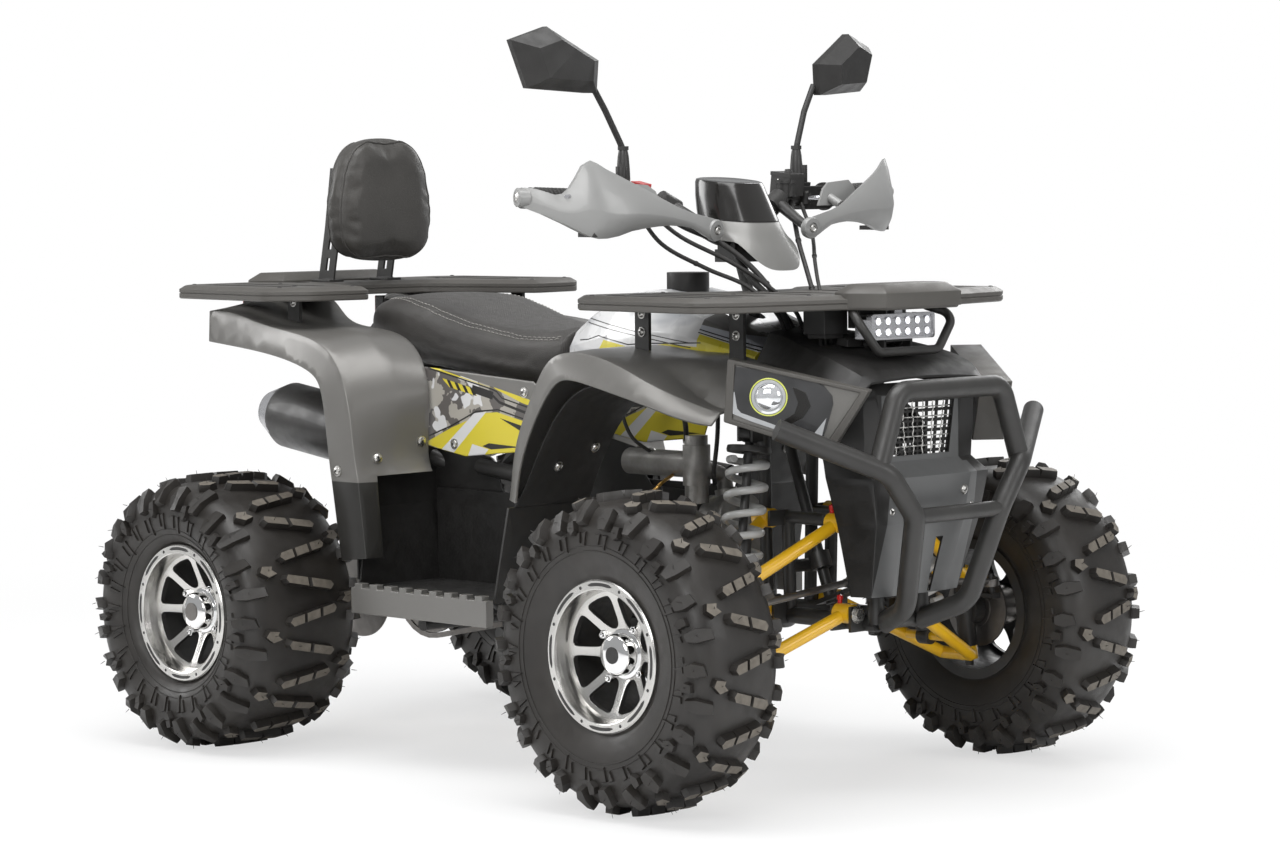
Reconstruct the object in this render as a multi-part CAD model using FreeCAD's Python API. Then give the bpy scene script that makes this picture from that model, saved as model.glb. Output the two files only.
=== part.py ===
import FreeCAD, Part
import os
from math import acos, asin, cos, degrees, pi, radians, sin, sqrt, tan

Vector = FreeCAD.Vector

# Driving sizes of the whole vehicle, in millimetres: X forward, Y to its left, Z up from the floor
wheelBase = 1015.0
layoutWidth = 1000.0
layoutHeight = 1000.0
wheelCentreSetback = 22.0

# Wheels
frontTrack = 829.0
rearTrack = 759.0
frontTyreRadius = 241.0
frontTyreWidth = 178.0
rearTyreRadius = 228.0
rearTyreWidth = 241.0
tyreWall = 10.0
beadRadius = 101.6
rimFlangeRadius = 114.0
rimFlangeThickness = 5.0
frontRimHalfWidth = 76.0
rearRimHalfWidth = 98.0
rimWall = 4.0
rimDishDepth = 34.0
rimDiscThickness = 9.0
rimDiscRise = 10.0
spokeCount = 8
spokeWindowInnerRadius = 42.0
spokeWindowOuterRadius = 88.0
spokeWidth = 13.0
hubRadius = 32.0
hubCapRadius = 26.0
hubCapLength = 24.0
brakeDiscRadius = 62.0
brakeDiscThickness = 4.0

# Fits and clearances
runningFit = 0.05
seatGap = 0.3
overrun = 40.0

# Axles, knuckles and steering
spindleRadius = 12.5
axleRadius = 15.0
upperBallRise = 59.0
lowerBallDrop = 69.0
upperBallInset = 96.5
lowerBallInset = 79.5
kingpinRadius = 7.0
eyeRadius = 15.0
eyeHeight = 22.0
uprightRadius = 15.0
steeringArmLength = 60.0
steeringArmDrop = 32.0
steeringArmThickness = 8.0
steeringArmHalfWidth = 10.0
tieRodRadius = 7.0
tieRodEyeRadius = 11.0
tieRodEyeHeight = 12.0
tieRodPinRadius = 5.0
tieRodPinReach = 36.0
tieRodPinShare = 0.62
tieRodOuterPlay = 2.0
tieRodSlack = 1.6
tieRodLift = 2.0
tieRodShankShare = 0.8
columnRake = 20.0
columnRadius = 9.0
columnClampShares = (0.315, 0.0, 0.821)
columnFootHeightShare = 0.286
pitmanSpread = 12.0
pitmanThickness = 7.0
pitmanMargin = 9.0
bearingRadius = 17.0
bearingLength = 26.0
clampHalfLength = 22.0
clampHalfWidth = 30.0
clampDepth = 14.0
jawWidth = 16.0
jawCap = 8.0

# Frame and suspension
frameTubeRadius = 13.0
smallTubeRadius = 10.0
armTubeRadius = 10.0
bushRadius = 15.0
bushLength = 32.0
bushPinRadius = 6.0
lugThickness = 5.0
lugGap = 0.5
armSpread = 30.0
springRadius = 27.0
springWire = 4.5
springTurns = 7
springSteps = 10
springSides = 5
damperBodyRadius = 15.0
damperRodRadius = 7.0
perchRadius = 31.0
perchThickness = 5.0
damperEyeRadius = 14.0
damperEyeLength = 22.0
damperPinRadius = 7.0

# Covers and racks
sheet = 4.0
rackThickness = 13.0
rackEdge = 4.0
bumperTubeRadius = 16.0
bumperBend = 45.0
handlebarRadius = 11.0
gripRadius = 16.0
gripLength = 120.0
mirrorStalkRadius = 5.0


def place(shares):
    x, y, z = shares
    return Vector(wheelBase * x - wheelCentreSetback, layoutWidth * y, layoutHeight * z)


def mirrored(shape):
    return shape.mirror(Vector(), Vector(0, 1, 0))


def pairOf(shape):
    return [shape, mirrored(shape)]


def fused(shapes):
    first = shapes[0]
    return first.fuse(shapes[1:]) if len(shapes) > 1 else first


def solidsOf(shapes):
    found = []
    for shape in shapes:
        found.extend(shape.Solids)
    return Part.makeCompound(found)


def save(name, shapes):
    made = solidsOf(shapes)
    made.exportStep("parts/" + name + ".step")
    print(name, len(made.Solids), "solids", round(made.Volume / 1e6, 3), "litres",
          "valid" if made.isValid() else "NOT VALID")


def block(low, high):
    size = high - low
    return Part.makeBox(size.x, size.y, size.z, low)


def cylinder(start, end, radius):
    run = end - start
    return Part.makeCylinder(radius, run.Length, start, run)


def cylinderAt(centre, axis, length, radius):
    along = Vector(axis).normalize()
    return Part.makeCylinder(radius, length, centre - along * (length / 2), along)


def bentPath(points, bend):
    edges = []
    start = points[0]
    for before, corner, after in zip(points, points[1:], points[2:]):
        toBefore = (before - corner).normalize()
        toAfter = (after - corner).normalize()
        half = toBefore.getAngle(toAfter) / 2
        shorter = min(before.distanceToPoint(corner), after.distanceToPoint(corner))
        radius = min(bend, shorter * tan(half) * 0.45)
        setback = radius / tan(half)
        entry = corner + toBefore * setback
        leave = corner + toAfter * setback
        middle = corner + (toBefore + toAfter).normalize() * (radius / sin(half) - radius)
        edges.append(Part.LineSegment(start, entry).toShape())
        edges.append(Part.Arc(entry, middle, leave).toShape())
        start = leave
    edges.append(Part.LineSegment(start, points[-1]).toShape())
    return Part.Wire(edges)


def rod(points, radius, bend=bumperBend):
    if len(points) == 2:
        return cylinder(points[0], points[1], radius)
    path = bentPath(points, bend)
    section = Part.Wire(Part.makeCircle(radius, points[0], points[1] - points[0]))
    return path.makePipeShell([section], True, False)


def rodThrough(shares, radius, bend=bumperBend):
    return rod([place(share) for share in shares], radius, bend)


def turnedAboutY(profile, centre):
    points = [Vector(0, y, r) for y, r in profile]
    face = Part.Face(Part.makePolygon(points + points[:1]))
    shape = face.revolve(Vector(), Vector(0, 1, 0), 360)
    return Part.Solid(shape.Shells[0]).translated(centre) if shape.Shells else shape.translated(centre)


def prism(points, run):
    return Part.Face(Part.makePolygon(points + points[:1])).extrude(run)


def lofted(sections, ruled=True):
    wires = [Part.makePolygon(points + points[:1]) for points in sections]
    return Part.makeLoft(wires, True, ruled)


def smoothSection(points):
    curve = Part.BSplineCurve()
    curve.interpolate(points, PeriodicFlag=True)
    return Part.Wire(curve.toShape())


def offsetLine(points, thickness):
    # Each corner of the open line moves along its mitre, to the left of the line's run
    moved = []
    for index, (a, b) in enumerate(points):
        runs = []
        if index > 0:
            runs.append((a - points[index - 1][0], b - points[index - 1][1]))
        if index < len(points) - 1:
            runs.append((points[index + 1][0] - a, points[index + 1][1] - b))
        normals = []
        for da, db in runs:
            length = sqrt(da * da + db * db)
            normals.append((-db / length, da / length))
        na = sum(normal[0] for normal in normals) / len(normals)
        nb = sum(normal[1] for normal in normals) / len(normals)
        scale = thickness / (na * na + nb * nb)
        moved.append((a + na * scale, b + nb * scale))
    return moved


def ribbon(points, thickness):
    return points + offsetLine(points, thickness)[::-1]


frontAxle = Vector(wheelBase / 2 - wheelCentreSetback, 0, frontTyreRadius)
rearAxle = Vector(-wheelBase / 2 - wheelCentreSetback, 0, rearTyreRadius)
acrossY = Vector(0, 1, 0)
alongX = Vector(1, 0, 0)
upZ = Vector(0, 0, 1)

columnAxis = Vector(-sin(radians(columnRake)), 0, cos(radians(columnRake)))
columnForward = Vector(cos(radians(columnRake)), 0, sin(radians(columnRake)))
columnClamp = place(columnClampShares)
columnFoot = columnClamp - columnAxis * (
    (columnClamp.z - layoutHeight * columnFootHeightShare) / columnAxis.z)


def columnPoint(heightShare):
    return columnClamp - columnAxis * ((columnClamp.z - layoutHeight * heightShare) / columnAxis.z)


upperBall = Vector(frontAxle.x, -frontTrack / 2 + upperBallInset, frontTyreRadius + upperBallRise)
lowerBall = Vector(frontAxle.x, -frontTrack / 2 + lowerBallInset, frontTyreRadius - lowerBallDrop)
kingpinAxis = (upperBall - lowerBall).normalize()


def kingpinPoint(height):
    return lowerBall + kingpinAxis * ((height - lowerBall.z) / kingpinAxis.z)


# Wheels: a lugged tyre on a dished alloy rim
tyreOutlineShares = [(0.72, 0.0), (0.84, 0.10), (0.95, 0.34), (0.97, 0.56), (0.94, 0.74),
                     (0.86, 0.85), (0.70, 0.89), (0.36, 0.903)]
treadPitches = 13
# A lug is a run of stations across the tread: share of the half width, low and high shares of the
# tyre's depth, and start and end as shares of a pitch
crownLugShares = [(-0.44, 0.80, 1.0, -0.10, 0.05), (0.44, 0.80, 1.0, 0.05, 0.20)]
shoulderLugShares = [(0.68, 0.60, 0.985, 0.34, 0.56), (0.93, 0.56, 0.90, 0.36, 0.60),
                     (1.0, 0.50, 0.70, 0.40, 0.58)]


def treadLug(stations, radius, width, turn, centre):
    depth = radius - beadRadius - seatGap
    step = 2 * pi / treadPitches
    sections = []
    for across, low, high, start, end in stations:
        corners = []
        for share, along in ((low, start), (low, end), (high, end), (high, start)):
            reach = beadRadius + seatGap + depth * share
            angle = turn + step * along
            corners.append(centre + Vector(reach * cos(angle), width / 2 * across, reach * sin(angle)))
        sections.append(corners)
    return lofted(sections)


def tread(radius, width, centre):
    lugs = []
    step = 2 * pi / treadPitches
    first = -pi / 2 - step * crownLugShares[0][3]
    farShoulder = [(-across, low, high, start + 0.5, end + 0.5)
                   for across, low, high, start, end in shoulderLugShares]
    for index in range(treadPitches):
        turn = first + step * index
        for stations in (crownLugShares, shoulderLugShares, farShoulder):
            lugs.append(treadLug(stations, radius, width, turn, centre))
    return lugs


def tyre(radius, width, rimHalfWidth, centre):
    seat = beadRadius + seatGap
    bead = rimHalfWidth - rimFlangeThickness - seatGap
    outer = []
    for widthShare, depthShare in tyreOutlineShares:
        outer.append((width / 2 * widthShare, seat + (radius - seat) * depthShare))
    outer[0] = (bead, seat)
    outer[1] = (bead, rimFlangeRadius + seatGap)
    inner = [(bead - tyreWall, seat)]
    for y, r in outer[2:]:
        inner.append((y - tyreWall, r - tyreWall))
    right = outer + [(-y, r) for y, r in outer[::-1]]
    back = [(-y, r) for y, r in inner] + [(y, r) for y, r in inner[::-1]]
    return turnedAboutY(right + back, centre).fuse(tread(radius, width, centre))


def rim(halfWidth, centre, outward, boreRadius, boreDepth):
    # outward is -1 on the vehicle's right and +1 on its left
    lip = halfWidth - rimFlangeThickness
    barrelInner = beadRadius - rimWall
    profile = [(-halfWidth, barrelInner), (-halfWidth, rimFlangeRadius), (-lip, rimFlangeRadius),
               (-lip, beadRadius), (lip, beadRadius), (lip, rimFlangeRadius),
               (halfWidth, rimFlangeRadius), (halfWidth, barrelInner)]
    barrel = turnedAboutY([(y * outward, r) for y, r in profile], centre)
    discFace = halfWidth - rimDishDepth
    discEdge = beadRadius - rimWall / 2
    discLine = [(discFace, 0), (discFace, hubRadius), (discFace + rimDiscRise, discEdge),
                (discFace + rimDiscRise - rimDiscThickness, discEdge),
                (discFace - rimDiscThickness, hubRadius), (discFace - rimDiscThickness, 0)]
    disc = turnedAboutY([(y * outward, r) for y, r in discLine], centre)
    windows = []
    step = 2 * pi / spokeCount
    for index in range(spokeCount):
        middle = step * (index + 0.5)
        innerHalf = step / 2 - spokeWidth / 2 / spokeWindowInnerRadius
        outerHalf = step / 2 - spokeWidth / 2 / spokeWindowOuterRadius
        corners = [(spokeWindowInnerRadius, -innerHalf), (spokeWindowOuterRadius, -outerHalf),
                   (spokeWindowOuterRadius, outerHalf), (spokeWindowInnerRadius, innerHalf)]
        points = []
        for radius, turn in corners:
            points.append(centre + Vector(radius * cos(middle + turn), -overrun * 3,
                                          radius * sin(middle + turn)))
        windows.append(prism(points, Vector(0, overrun * 6, 0)))
    disc = disc.cut(windows)
    hub = cylinder(centre + Vector(0, -outward * boreDepth, 0),
                   centre + Vector(0, outward * (discFace + hubCapLength / 2), 0), hubRadius)
    cap = cylinder(centre + Vector(0, outward * discFace, 0),
                   centre + Vector(0, outward * (discFace + hubCapLength), 0), hubCapRadius)
    whole = fused([barrel, disc, hub, cap])
    bore = cylinder(centre + Vector(0, -outward * (boreDepth + overrun), 0),
                    centre + Vector(0, outward * (discFace + hubCapLength / 2), 0), boreRadius)
    return whole.cut(bore)


spindleTip = frontRimHalfWidth - rimDishDepth + hubCapLength / 2 - seatGap
frontHubReach = 62.0
rearHubReach = 40.0


def frontWheel(side):
    centre = Vector(frontAxle.x, side * frontTrack / 2, frontAxle.z)
    wheel = rim(frontRimHalfWidth, centre, side, spindleRadius + runningFit, frontHubReach)
    discAt = centre + Vector(0, -side * (frontHubReach - brakeDiscThickness), 0)
    brake = cylinderAt(discAt, acrossY, brakeDiscThickness, brakeDiscRadius)
    brake = brake.cut(cylinderAt(discAt, acrossY, overrun, spindleRadius + runningFit))
    return wheel.fuse(brake), tyre(frontTyreRadius, frontTyreWidth, frontRimHalfWidth, centre)


def rearWheels():
    rims = []
    tyres = []
    for side in (-1, 1):
        centre = Vector(rearAxle.x, side * rearTrack / 2, rearAxle.z)
        rims.append(rim(rearRimHalfWidth, centre, side, axleRadius + runningFit, rearHubReach))
        tyres.append(tyre(rearTyreRadius, rearTyreWidth, rearRimHalfWidth, centre))
    return rims, tyres


# The rear axle turns in the swing arm's carrier and carries the sprocket and the brake disc
carrierHalfWidth = 62.0
carrierRadius = 36.0
sprocketRadius = 82.0
sprocketThickness = 6.0
sprocketSide = 78.0
rearDiscRadius = 74.0
rearDiscSide = 84.0
clampWidth = 16.0
clampRadius = 30.0


def rearAxleShaft():
    reach = rearTrack / 2 + rearRimHalfWidth - rimDishDepth + hubCapLength / 2 - seatGap
    shaft = cylinder(rearAxle - acrossY * reach, rearAxle + acrossY * reach, axleRadius)
    sprocket = cylinderAt(rearAxle + acrossY * sprocketSide, acrossY, sprocketThickness, sprocketRadius)
    disc = cylinderAt(rearAxle - acrossY * rearDiscSide, acrossY, brakeDiscThickness, rearDiscRadius)
    clamps = [cylinderAt(rearAxle + acrossY * (sprocketSide + clampWidth / 2), acrossY,
                         clampWidth, clampRadius),
              cylinderAt(rearAxle - acrossY * (rearDiscSide + clampWidth / 2), acrossY,
                         clampWidth, clampRadius)]
    return fused([shaft, sprocket, disc] + clamps)


# Swing arm: two arms from the pivot to the carrier
swingPivotShares = (-0.135, 0.0, 0.252)
swingPivotHalfWidth = 84.0
swingArmHalfSpread = 50.0
pivotRadius = 17.0
pivotBoltRadius = 8.0


def swingArm():
    pivot = place(swingPivotShares)
    carrier = cylinderAt(rearAxle, acrossY, carrierHalfWidth * 2, carrierRadius)
    barrel = cylinderAt(pivot, acrossY, swingPivotHalfWidth * 2, pivotRadius)
    arms = []
    for side in (-1, 1):
        arms.append(cylinder(pivot + acrossY * (side * (swingArmHalfSpread + armTubeRadius)),
                             rearAxle + acrossY * (side * swingArmHalfSpread), armTubeRadius + sheet))
    shockFoot = shockFootPoint()
    brace = cylinderAt(shockFoot, acrossY, swingArmHalfSpread * 2, damperPinRadius)
    whole = fused([carrier, barrel, brace] + arms)
    whole = whole.cut(cylinderAt(rearAxle, acrossY, overrun * 6, axleRadius + runningFit))
    whole = whole.cut(cylinderAt(pivot, acrossY, overrun * 6, pivotBoltRadius + runningFit))
    return whole


shockFootRunShare = 0.562


def shockFootPoint():
    pivot = place(swingPivotShares)
    return pivot + (rearAxle - pivot) * shockFootRunShare


shockHeadShares = (-0.285, 0.0, 0.522)


# Front suspension arms: two tubes from bushes on the frame to an eye on the kingpin
upperArmFrontShares = (0.595, -0.080, 0.415)
upperArmRearShares = (0.445, -0.080, 0.415)
lowerArmFrontShares = (0.603, -0.072, 0.277)
lowerArmRearShares = (0.445, -0.072, 0.277)
damperFootSideShare = -0.222
damperHeadShares = (0.495, -0.165, 0.552)
armNeck = 30.0
armNeckRadius = 8.0


def wishbone(frontBush, rearBush, ball):
    pieces = [cylinderAt(ball, kingpinAxis, eyeHeight, eyeRadius)]
    inward = acrossY * armNeck
    ends = []
    for bush, side in ((frontBush, 1), (rearBush, -1)):
        pieces.append(cylinderAt(bush, alongX, bushLength, bushRadius))
        end = ball + inward + Vector(side * armSpread, 0, 0)
        ends.append(end)
        pieces.append(cylinder(end, bush, armTubeRadius))
    pieces.append(rod([ends[0], ends[1]], armTubeRadius))
    pieces.append(rod([ball, ball + inward], armNeckRadius))
    whole = fused(pieces)
    whole = whole.cut(cylinderAt(ball, kingpinAxis, overrun * 3, kingpinRadius + runningFit))
    for bush in (frontBush, rearBush):
        whole = whole.cut(cylinderAt(bush, alongX, overrun * 2, bushPinRadius + runningFit))
    return whole


def alongArm(ball, bush, spread, y):
    inward = Vector(spread, armNeck, 0)
    end = ball + inward
    return end + (bush - end) * ((y - end.y) / (bush.y - end.y))


def damperFoot():
    y = layoutWidth * damperFootSideShare
    front = alongArm(lowerBall, place(lowerArmFrontShares), armSpread, y)
    rear = alongArm(lowerBall, place(lowerArmRearShares), -armSpread, y)
    return front, rear, (front + rear) * 0.5


def suspensionArms():
    upper = wishbone(place(upperArmFrontShares), place(upperArmRearShares), upperBall)
    lower = wishbone(place(lowerArmFrontShares), place(lowerArmRearShares), lowerBall)
    front, rear, middle = damperFoot()
    lower = lower.fuse(cylinder(front, rear, damperPinRadius))
    return pairOf(upper) + pairOf(lower)


# Dampers and their springs: two in front and one on the swing arm
perchFootRise = 34.0
perchHeadDrop = 26.0


def damper(foot, head, pinAxis):
    along = (head - foot).normalize()
    length = foot.distanceToPoint(head)
    lowPerch = foot + along * perchFootRise
    topPerch = head - along * perchHeadDrop
    pieces = [cylinderAt(foot, pinAxis, damperEyeLength, damperEyeRadius),
              cylinderAt(head, pinAxis, damperEyeLength, damperEyeRadius),
              cylinder(foot + along * (damperPinRadius + sheet), foot + along * (length * 0.55),
                       damperBodyRadius),
              cylinder(foot + along * (length * 0.5), head - along * (damperPinRadius + sheet),
                       damperRodRadius),
              cylinder(lowPerch - along * perchThickness, lowPerch, perchRadius),
              cylinder(topPerch, topPerch + along * perchThickness, perchRadius)]
    whole = fused(pieces)
    for centre in (foot, head):
        whole = whole.cut(cylinderAt(centre, pinAxis, overrun * 2, damperPinRadius + runningFit))
    return whole


def spring(foot, head):
    # A coil of short straight steps, each with a five-sided section
    along = (head - foot).normalize()
    low = foot + along * (perchFootRise + springWire + seatGap)
    high = head - along * (perchHeadDrop + springWire + seatGap)
    rise = low.distanceToPoint(high)
    spin = FreeCAD.Rotation(upZ, along)
    sections = []
    for step in range(springTurns * springSteps + 1):
        turn = 2 * pi * step / springSteps
        outward = Vector(cos(turn), sin(turn), 0)
        centre = outward * springRadius + upZ * (rise * step / (springTurns * springSteps))
        section = []
        for side in range(springSides):
            angle = 2 * pi * side / springSides
            section.append(centre + outward * (springWire * cos(angle)) + upZ * (springWire * sin(angle)))
        sections.append([low + spin.multVec(point) for point in section])
    return lofted(sections)


def dampersAndSprings():
    front, rear, foot = damperFoot()
    head = place(damperHeadShares)
    rearFoot = shockFootPoint()
    rearHead = place(shockHeadShares)
    dampers = pairOf(damper(foot, head, alongX)) + [damper(rearFoot, rearHead, acrossY)]
    springs = pairOf(spring(foot, head)) + [spring(rearFoot, rearHead)]
    return dampers, springs


# Steering knuckle, right-hand one
def knuckle():
    topGap = eyeHeight / 2 + seatGap
    upright = cylinder(lowerBall + kingpinAxis * topGap, upperBall - kingpinAxis * topGap, uprightRadius)
    pin = cylinder(lowerBall - kingpinAxis * eyeHeight, upperBall + kingpinAxis * eyeHeight, kingpinRadius)
    centre = Vector(frontAxle.x, -frontTrack / 2, frontAxle.z)
    hubFace = -frontTrack / 2 + frontHubReach + brakeDiscThickness
    boss = cylinder(kingpinPoint(frontAxle.z), Vector(frontAxle.x, hubFace, frontAxle.z),
                    spindleRadius * 2)
    spindle = cylinder(kingpinPoint(frontAxle.z), centre - acrossY * spindleTip, spindleRadius)
    armRoot = upperBall - kingpinAxis * steeringArmDrop
    armTip = armRoot + alongX * steeringArmLength
    arm = block(armRoot + Vector(0, -steeringArmHalfWidth, -steeringArmThickness / 2),
                armTip + Vector(steeringArmHalfWidth, steeringArmHalfWidth, steeringArmThickness / 2))
    tip = cylinder(armTip, armTip + kingpinAxis * tieRodPinReach, tieRodPinRadius)
    return fused([upright, pin, boss, spindle, arm, tip])


def tieRodEnds():
    armTip = upperBall - kingpinAxis * steeringArmDrop + alongX * steeringArmLength
    outer = armTip + kingpinAxis * (tieRodPinReach * tieRodPinShare) - acrossY * tieRodSlack
    inner = columnFoot + columnForward * steeringArmLength - acrossY * pitmanSpread
    inner = inner + columnAxis * (pitmanThickness / 2 + tieRodEyeHeight / 2 + tieRodLift)
    return inner, outer


def tieRod():
    inner, outer = tieRodEnds()
    outerEyeRadius = tieRodEyeRadius + tieRodOuterPlay
    innerEye = cylinderAt(inner, columnAxis, tieRodEyeHeight, tieRodEyeRadius)
    outerEye = cylinderAt(outer, kingpinAxis, tieRodEyeHeight, outerEyeRadius)
    whole = fused([innerEye, outerEye, cylinder(inner, outer, tieRodRadius * tieRodShankShare)])
    whole = whole.cut(cylinderAt(inner, columnAxis, overrun * 2, tieRodPinRadius + runningFit))
    return whole.cut(cylinderAt(outer, kingpinAxis, overrun * 2, tieRodPinRadius + tieRodOuterPlay))


# Steering column with the pitman plate at its foot and the bar clamp at its head
def steeringColumn():
    shaft = cylinder(columnFoot - columnAxis * pitmanThickness, columnClamp, columnRadius)
    tip = columnFoot + columnForward * steeringArmLength
    half = pitmanThickness / 2
    back = columnFoot - columnForward * (columnRadius + pitmanMargin)
    front = tip + columnForward * pitmanMargin
    narrow = acrossY * (columnRadius + pitmanMargin)
    wide = acrossY * (pitmanSpread + pitmanMargin)
    corners = [point - columnAxis * half for point in (back + narrow, back - narrow, front - wide, front + wide)]
    plate = prism(corners, columnAxis * pitmanThickness)
    pins = []
    for side in (-1, 1):
        base = tip + acrossY * (side * pitmanSpread)
        pins.append(cylinder(base, base + columnAxis * (half + tieRodEyeHeight + sheet), tieRodPinRadius))
    barCentre = place(barShares[0])
    reach = Vector(clampHalfLength, clampHalfWidth, 0)
    clampTop = Vector(columnClamp.x, 0, barCentre.z - handlebarRadius - jawCap / 2)
    clamp = block(Vector(columnClamp.x, 0, columnClamp.z - clampDepth) - reach, clampTop + reach)
    jaws = []
    for side in (-1, 1):
        jawHalf = Vector(handlebarRadius + jawCap, jawWidth / 2, handlebarRadius + jawCap)
        at = barCentre + acrossY * (side * (clampHalfWidth - jawWidth / 2))
        jaws.append(block(at - jawHalf, at + jawHalf))
    stem = block(Vector(barCentre.x - jawCap, -jawCap, barCentre.z + handlebarRadius + seatGap),
                 Vector(barCentre.x + jawCap, jawCap, layoutHeight * cowlFootShare - seatGap))
    cap = block(Vector(barCentre.x - handlebarRadius, -clampHalfWidth + jawWidth / 2,
                       barCentre.z + handlebarRadius + seatGap),
                Vector(barCentre.x + handlebarRadius, clampHalfWidth - jawWidth / 2,
                       barCentre.z + handlebarRadius + jawCap))
    whole = fused([shaft, plate, clamp, stem, cap] + pins + jaws)
    return whole.cut(cylinderAt(barCentre, acrossY, overrun * 4, handlebarRadius + seatGap))


# Frame of bent tubes in three welded parts: nose, cradle and tail
bellyHeightShare = 0.228
bellySideShare = 0.110
noseHeightShare = 0.262
noseSideShare = 0.045
middleHeightShare = 0.415
middleSideShare = 0.050
bearingHeightShares = (0.345, 0.622)
frontPlaneShare = 0.33
rearPlaneShare = -0.325
lowerRailShares = [(0.645, noseSideShare, noseHeightShare), (0.39, noseSideShare, noseHeightShare),
                   (0.315, bellySideShare, bellyHeightShare), (-0.10, bellySideShare, bellyHeightShare),
                   (-0.165, 0.106, 0.262), (-0.30, 0.096, 0.610)]
middleRailShares = [(0.642, middleSideShare, middleHeightShare), (0.42, middleSideShare, middleHeightShare)]
topRailShares = [(0.645, middleSideShare, noseHeightShare), (0.640, 0.055, 0.560), (0.54, 0.060, 0.620),
                 (0.32, 0.060, 0.632), (0.08, 0.075, 0.580), (-0.12, 0.088, 0.565), (-0.42, 0.096, 0.615),
                 (-0.66, 0.096, 0.675)]
frontUprightShares = [(0.42, 0.048, noseHeightShare), (0.42, 0.058, 0.630)]
crossShares = [(0.645, noseSideShare, noseHeightShare), (0.640, 0.055, 0.545), (0.28, bellySideShare, bellyHeightShare),
               (0.10, bellySideShare, bellyHeightShare), (-0.285, 0.096, 0.592), (-0.64, 0.096, 0.670),
               (0.08, 0.075, 0.580)]
footBarXShares = (0.10, -0.08)
footBarReachShare = 0.320
frontStayShares = (0.396, 0.215, 0.627)
rearStayShares = (-0.42, 0.235, 0.615)
towerShare = 0.620
lugRise = 12.0
towerTop = 48.0
towerBridge = 26.0
pivotPlateHalfLength = 24.0
pivotPlateRise = 26.0
shockLugHalf = 14.0


def bushMount(bush, railY, railZ):
    pieces = [cylinderAt(bush, alongX, bushLength + 2 * (lugGap + lugThickness), bushPinRadius)]
    for side in (-1, 1):
        near = bush.x + side * (bushLength / 2 + lugGap)
        far = near + side * lugThickness
        low = Vector(min(near, far), bush.y - bushPinRadius * 2, min(bush.z, railZ) - lugRise)
        high = Vector(max(near, far), railY, max(bush.z, railZ) + lugRise)
        pieces.append(block(low, high))
    return pieces


def damperTower():
    head = place(damperHeadShares)
    head.y = -head.y
    width = damperEyeLength + 2 * (lugGap + lugThickness)
    pieces = [cylinder(Vector(head.x, place(topRailShares[2]).y, layoutHeight * towerShare),
                       head + upZ * (towerTop - smallTubeRadius), smallTubeRadius)]
    for side in (-1, 1):
        near = head.x + side * (damperEyeLength / 2 + lugGap)
        far = near + side * lugThickness
        pieces.append(block(Vector(min(near, far), head.y - lugRise, head.z - lugRise),
                            Vector(max(near, far), head.y + lugRise, head.z + towerTop)))
    pieces.append(block(Vector(head.x - width / 2, head.y - lugRise, head.z + towerBridge),
                        Vector(head.x + width / 2, head.y + lugRise, head.z + towerTop)))
    pieces.append(cylinderAt(head, alongX, width, damperPinRadius))
    return pieces


def clearOf(post, root, surface, shift):
    # The post ends at the surface, which is moved towards its root by the seat's gap
    left = post.cut(surface.translated(shift)).Solids
    return min(left, key=lambda solid: solid.distToShape(Part.Vertex(root))[0])


def postUp(share, height, radius, surface):
    foot = place(share)
    return clearOf(cylinder(foot, foot + upZ * height, radius), foot, surface, upZ * -seatGap)


bearingBackShare = 0.6


def bearingMounts():
    pieces = []
    lowBack = None
    for heightShare, railShares in zip(bearingHeightShares, (noseSideShare, 0.060)):
        centre = columnPoint(heightShare)
        pieces.append(cylinderAt(centre, columnAxis, bearingLength, bearingRadius))
        back = centre - columnForward * (bearingRadius + smallTubeRadius * bearingBackShare)
        pieces.append(cylinderAt(back, acrossY, layoutWidth * railShares * 2, smallTubeRadius))
        lowBack = lowBack or back
    for side in (-1, 1):
        foot = Vector(lowBack.x, side * layoutWidth * noseSideShare, layoutHeight * noseHeightShare)
        head = Vector(lowBack.x, side * layoutWidth * middleSideShare, layoutHeight * middleHeightShare)
        pieces.append(cylinder(foot, head, smallTubeRadius))
    return pieces


def pivotMount():
    pivot = place(swingPivotShares)
    pieces = [cylinderAt(pivot, acrossY, (layoutWidth * bellySideShare - sheet) * 2, pivotBoltRadius)]
    for side in (-1, 1):
        inner = side * (swingPivotHalfWidth + lugGap)
        outer = side * layoutWidth * bellySideShare
        pieces.append(block(Vector(pivot.x - pivotPlateHalfLength, min(inner, outer), pivot.z - pivotPlateRise),
                            Vector(pivot.x + pivotPlateHalfLength, max(inner, outer), pivot.z + pivotPlateRise)))
    return pieces


def shockMount():
    head = place(shockHeadShares)
    pieces = [cylinderAt(head, acrossY, damperEyeLength + 2 * (lugGap + lugThickness), damperPinRadius)]
    for side in (-1, 1):
        inner = side * (damperEyeLength / 2 + lugGap)
        outer = inner + side * lugThickness
        pieces.append(block(Vector(head.x - shockLugHalf, min(inner, outer), head.z - shockLugHalf),
                            Vector(head.x + shockLugHalf, max(inner, outer), place(crossShares[4]).z)))
    return pieces


engineMountShares = [(0.10, 0.050), (0.10, -0.050)]
mountHalf = 14.0
headMountShares = (0.28, 0.045)
tankPostShares = [(0.22, 0.066, 0.610), (0.12, 0.072, 0.590)]
seatPostShares = [(-0.02, 0.082, 0.570), (-0.36, 0.094, 0.605)]
fenderPostRadius = 7.0
fenderPostHeight = 90.0
panelStayShares = (-0.04, 0.080, 0.566)
nosePostShares = (0.642, 0.052, 0.450)
linerClipShare = 0.7


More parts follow.
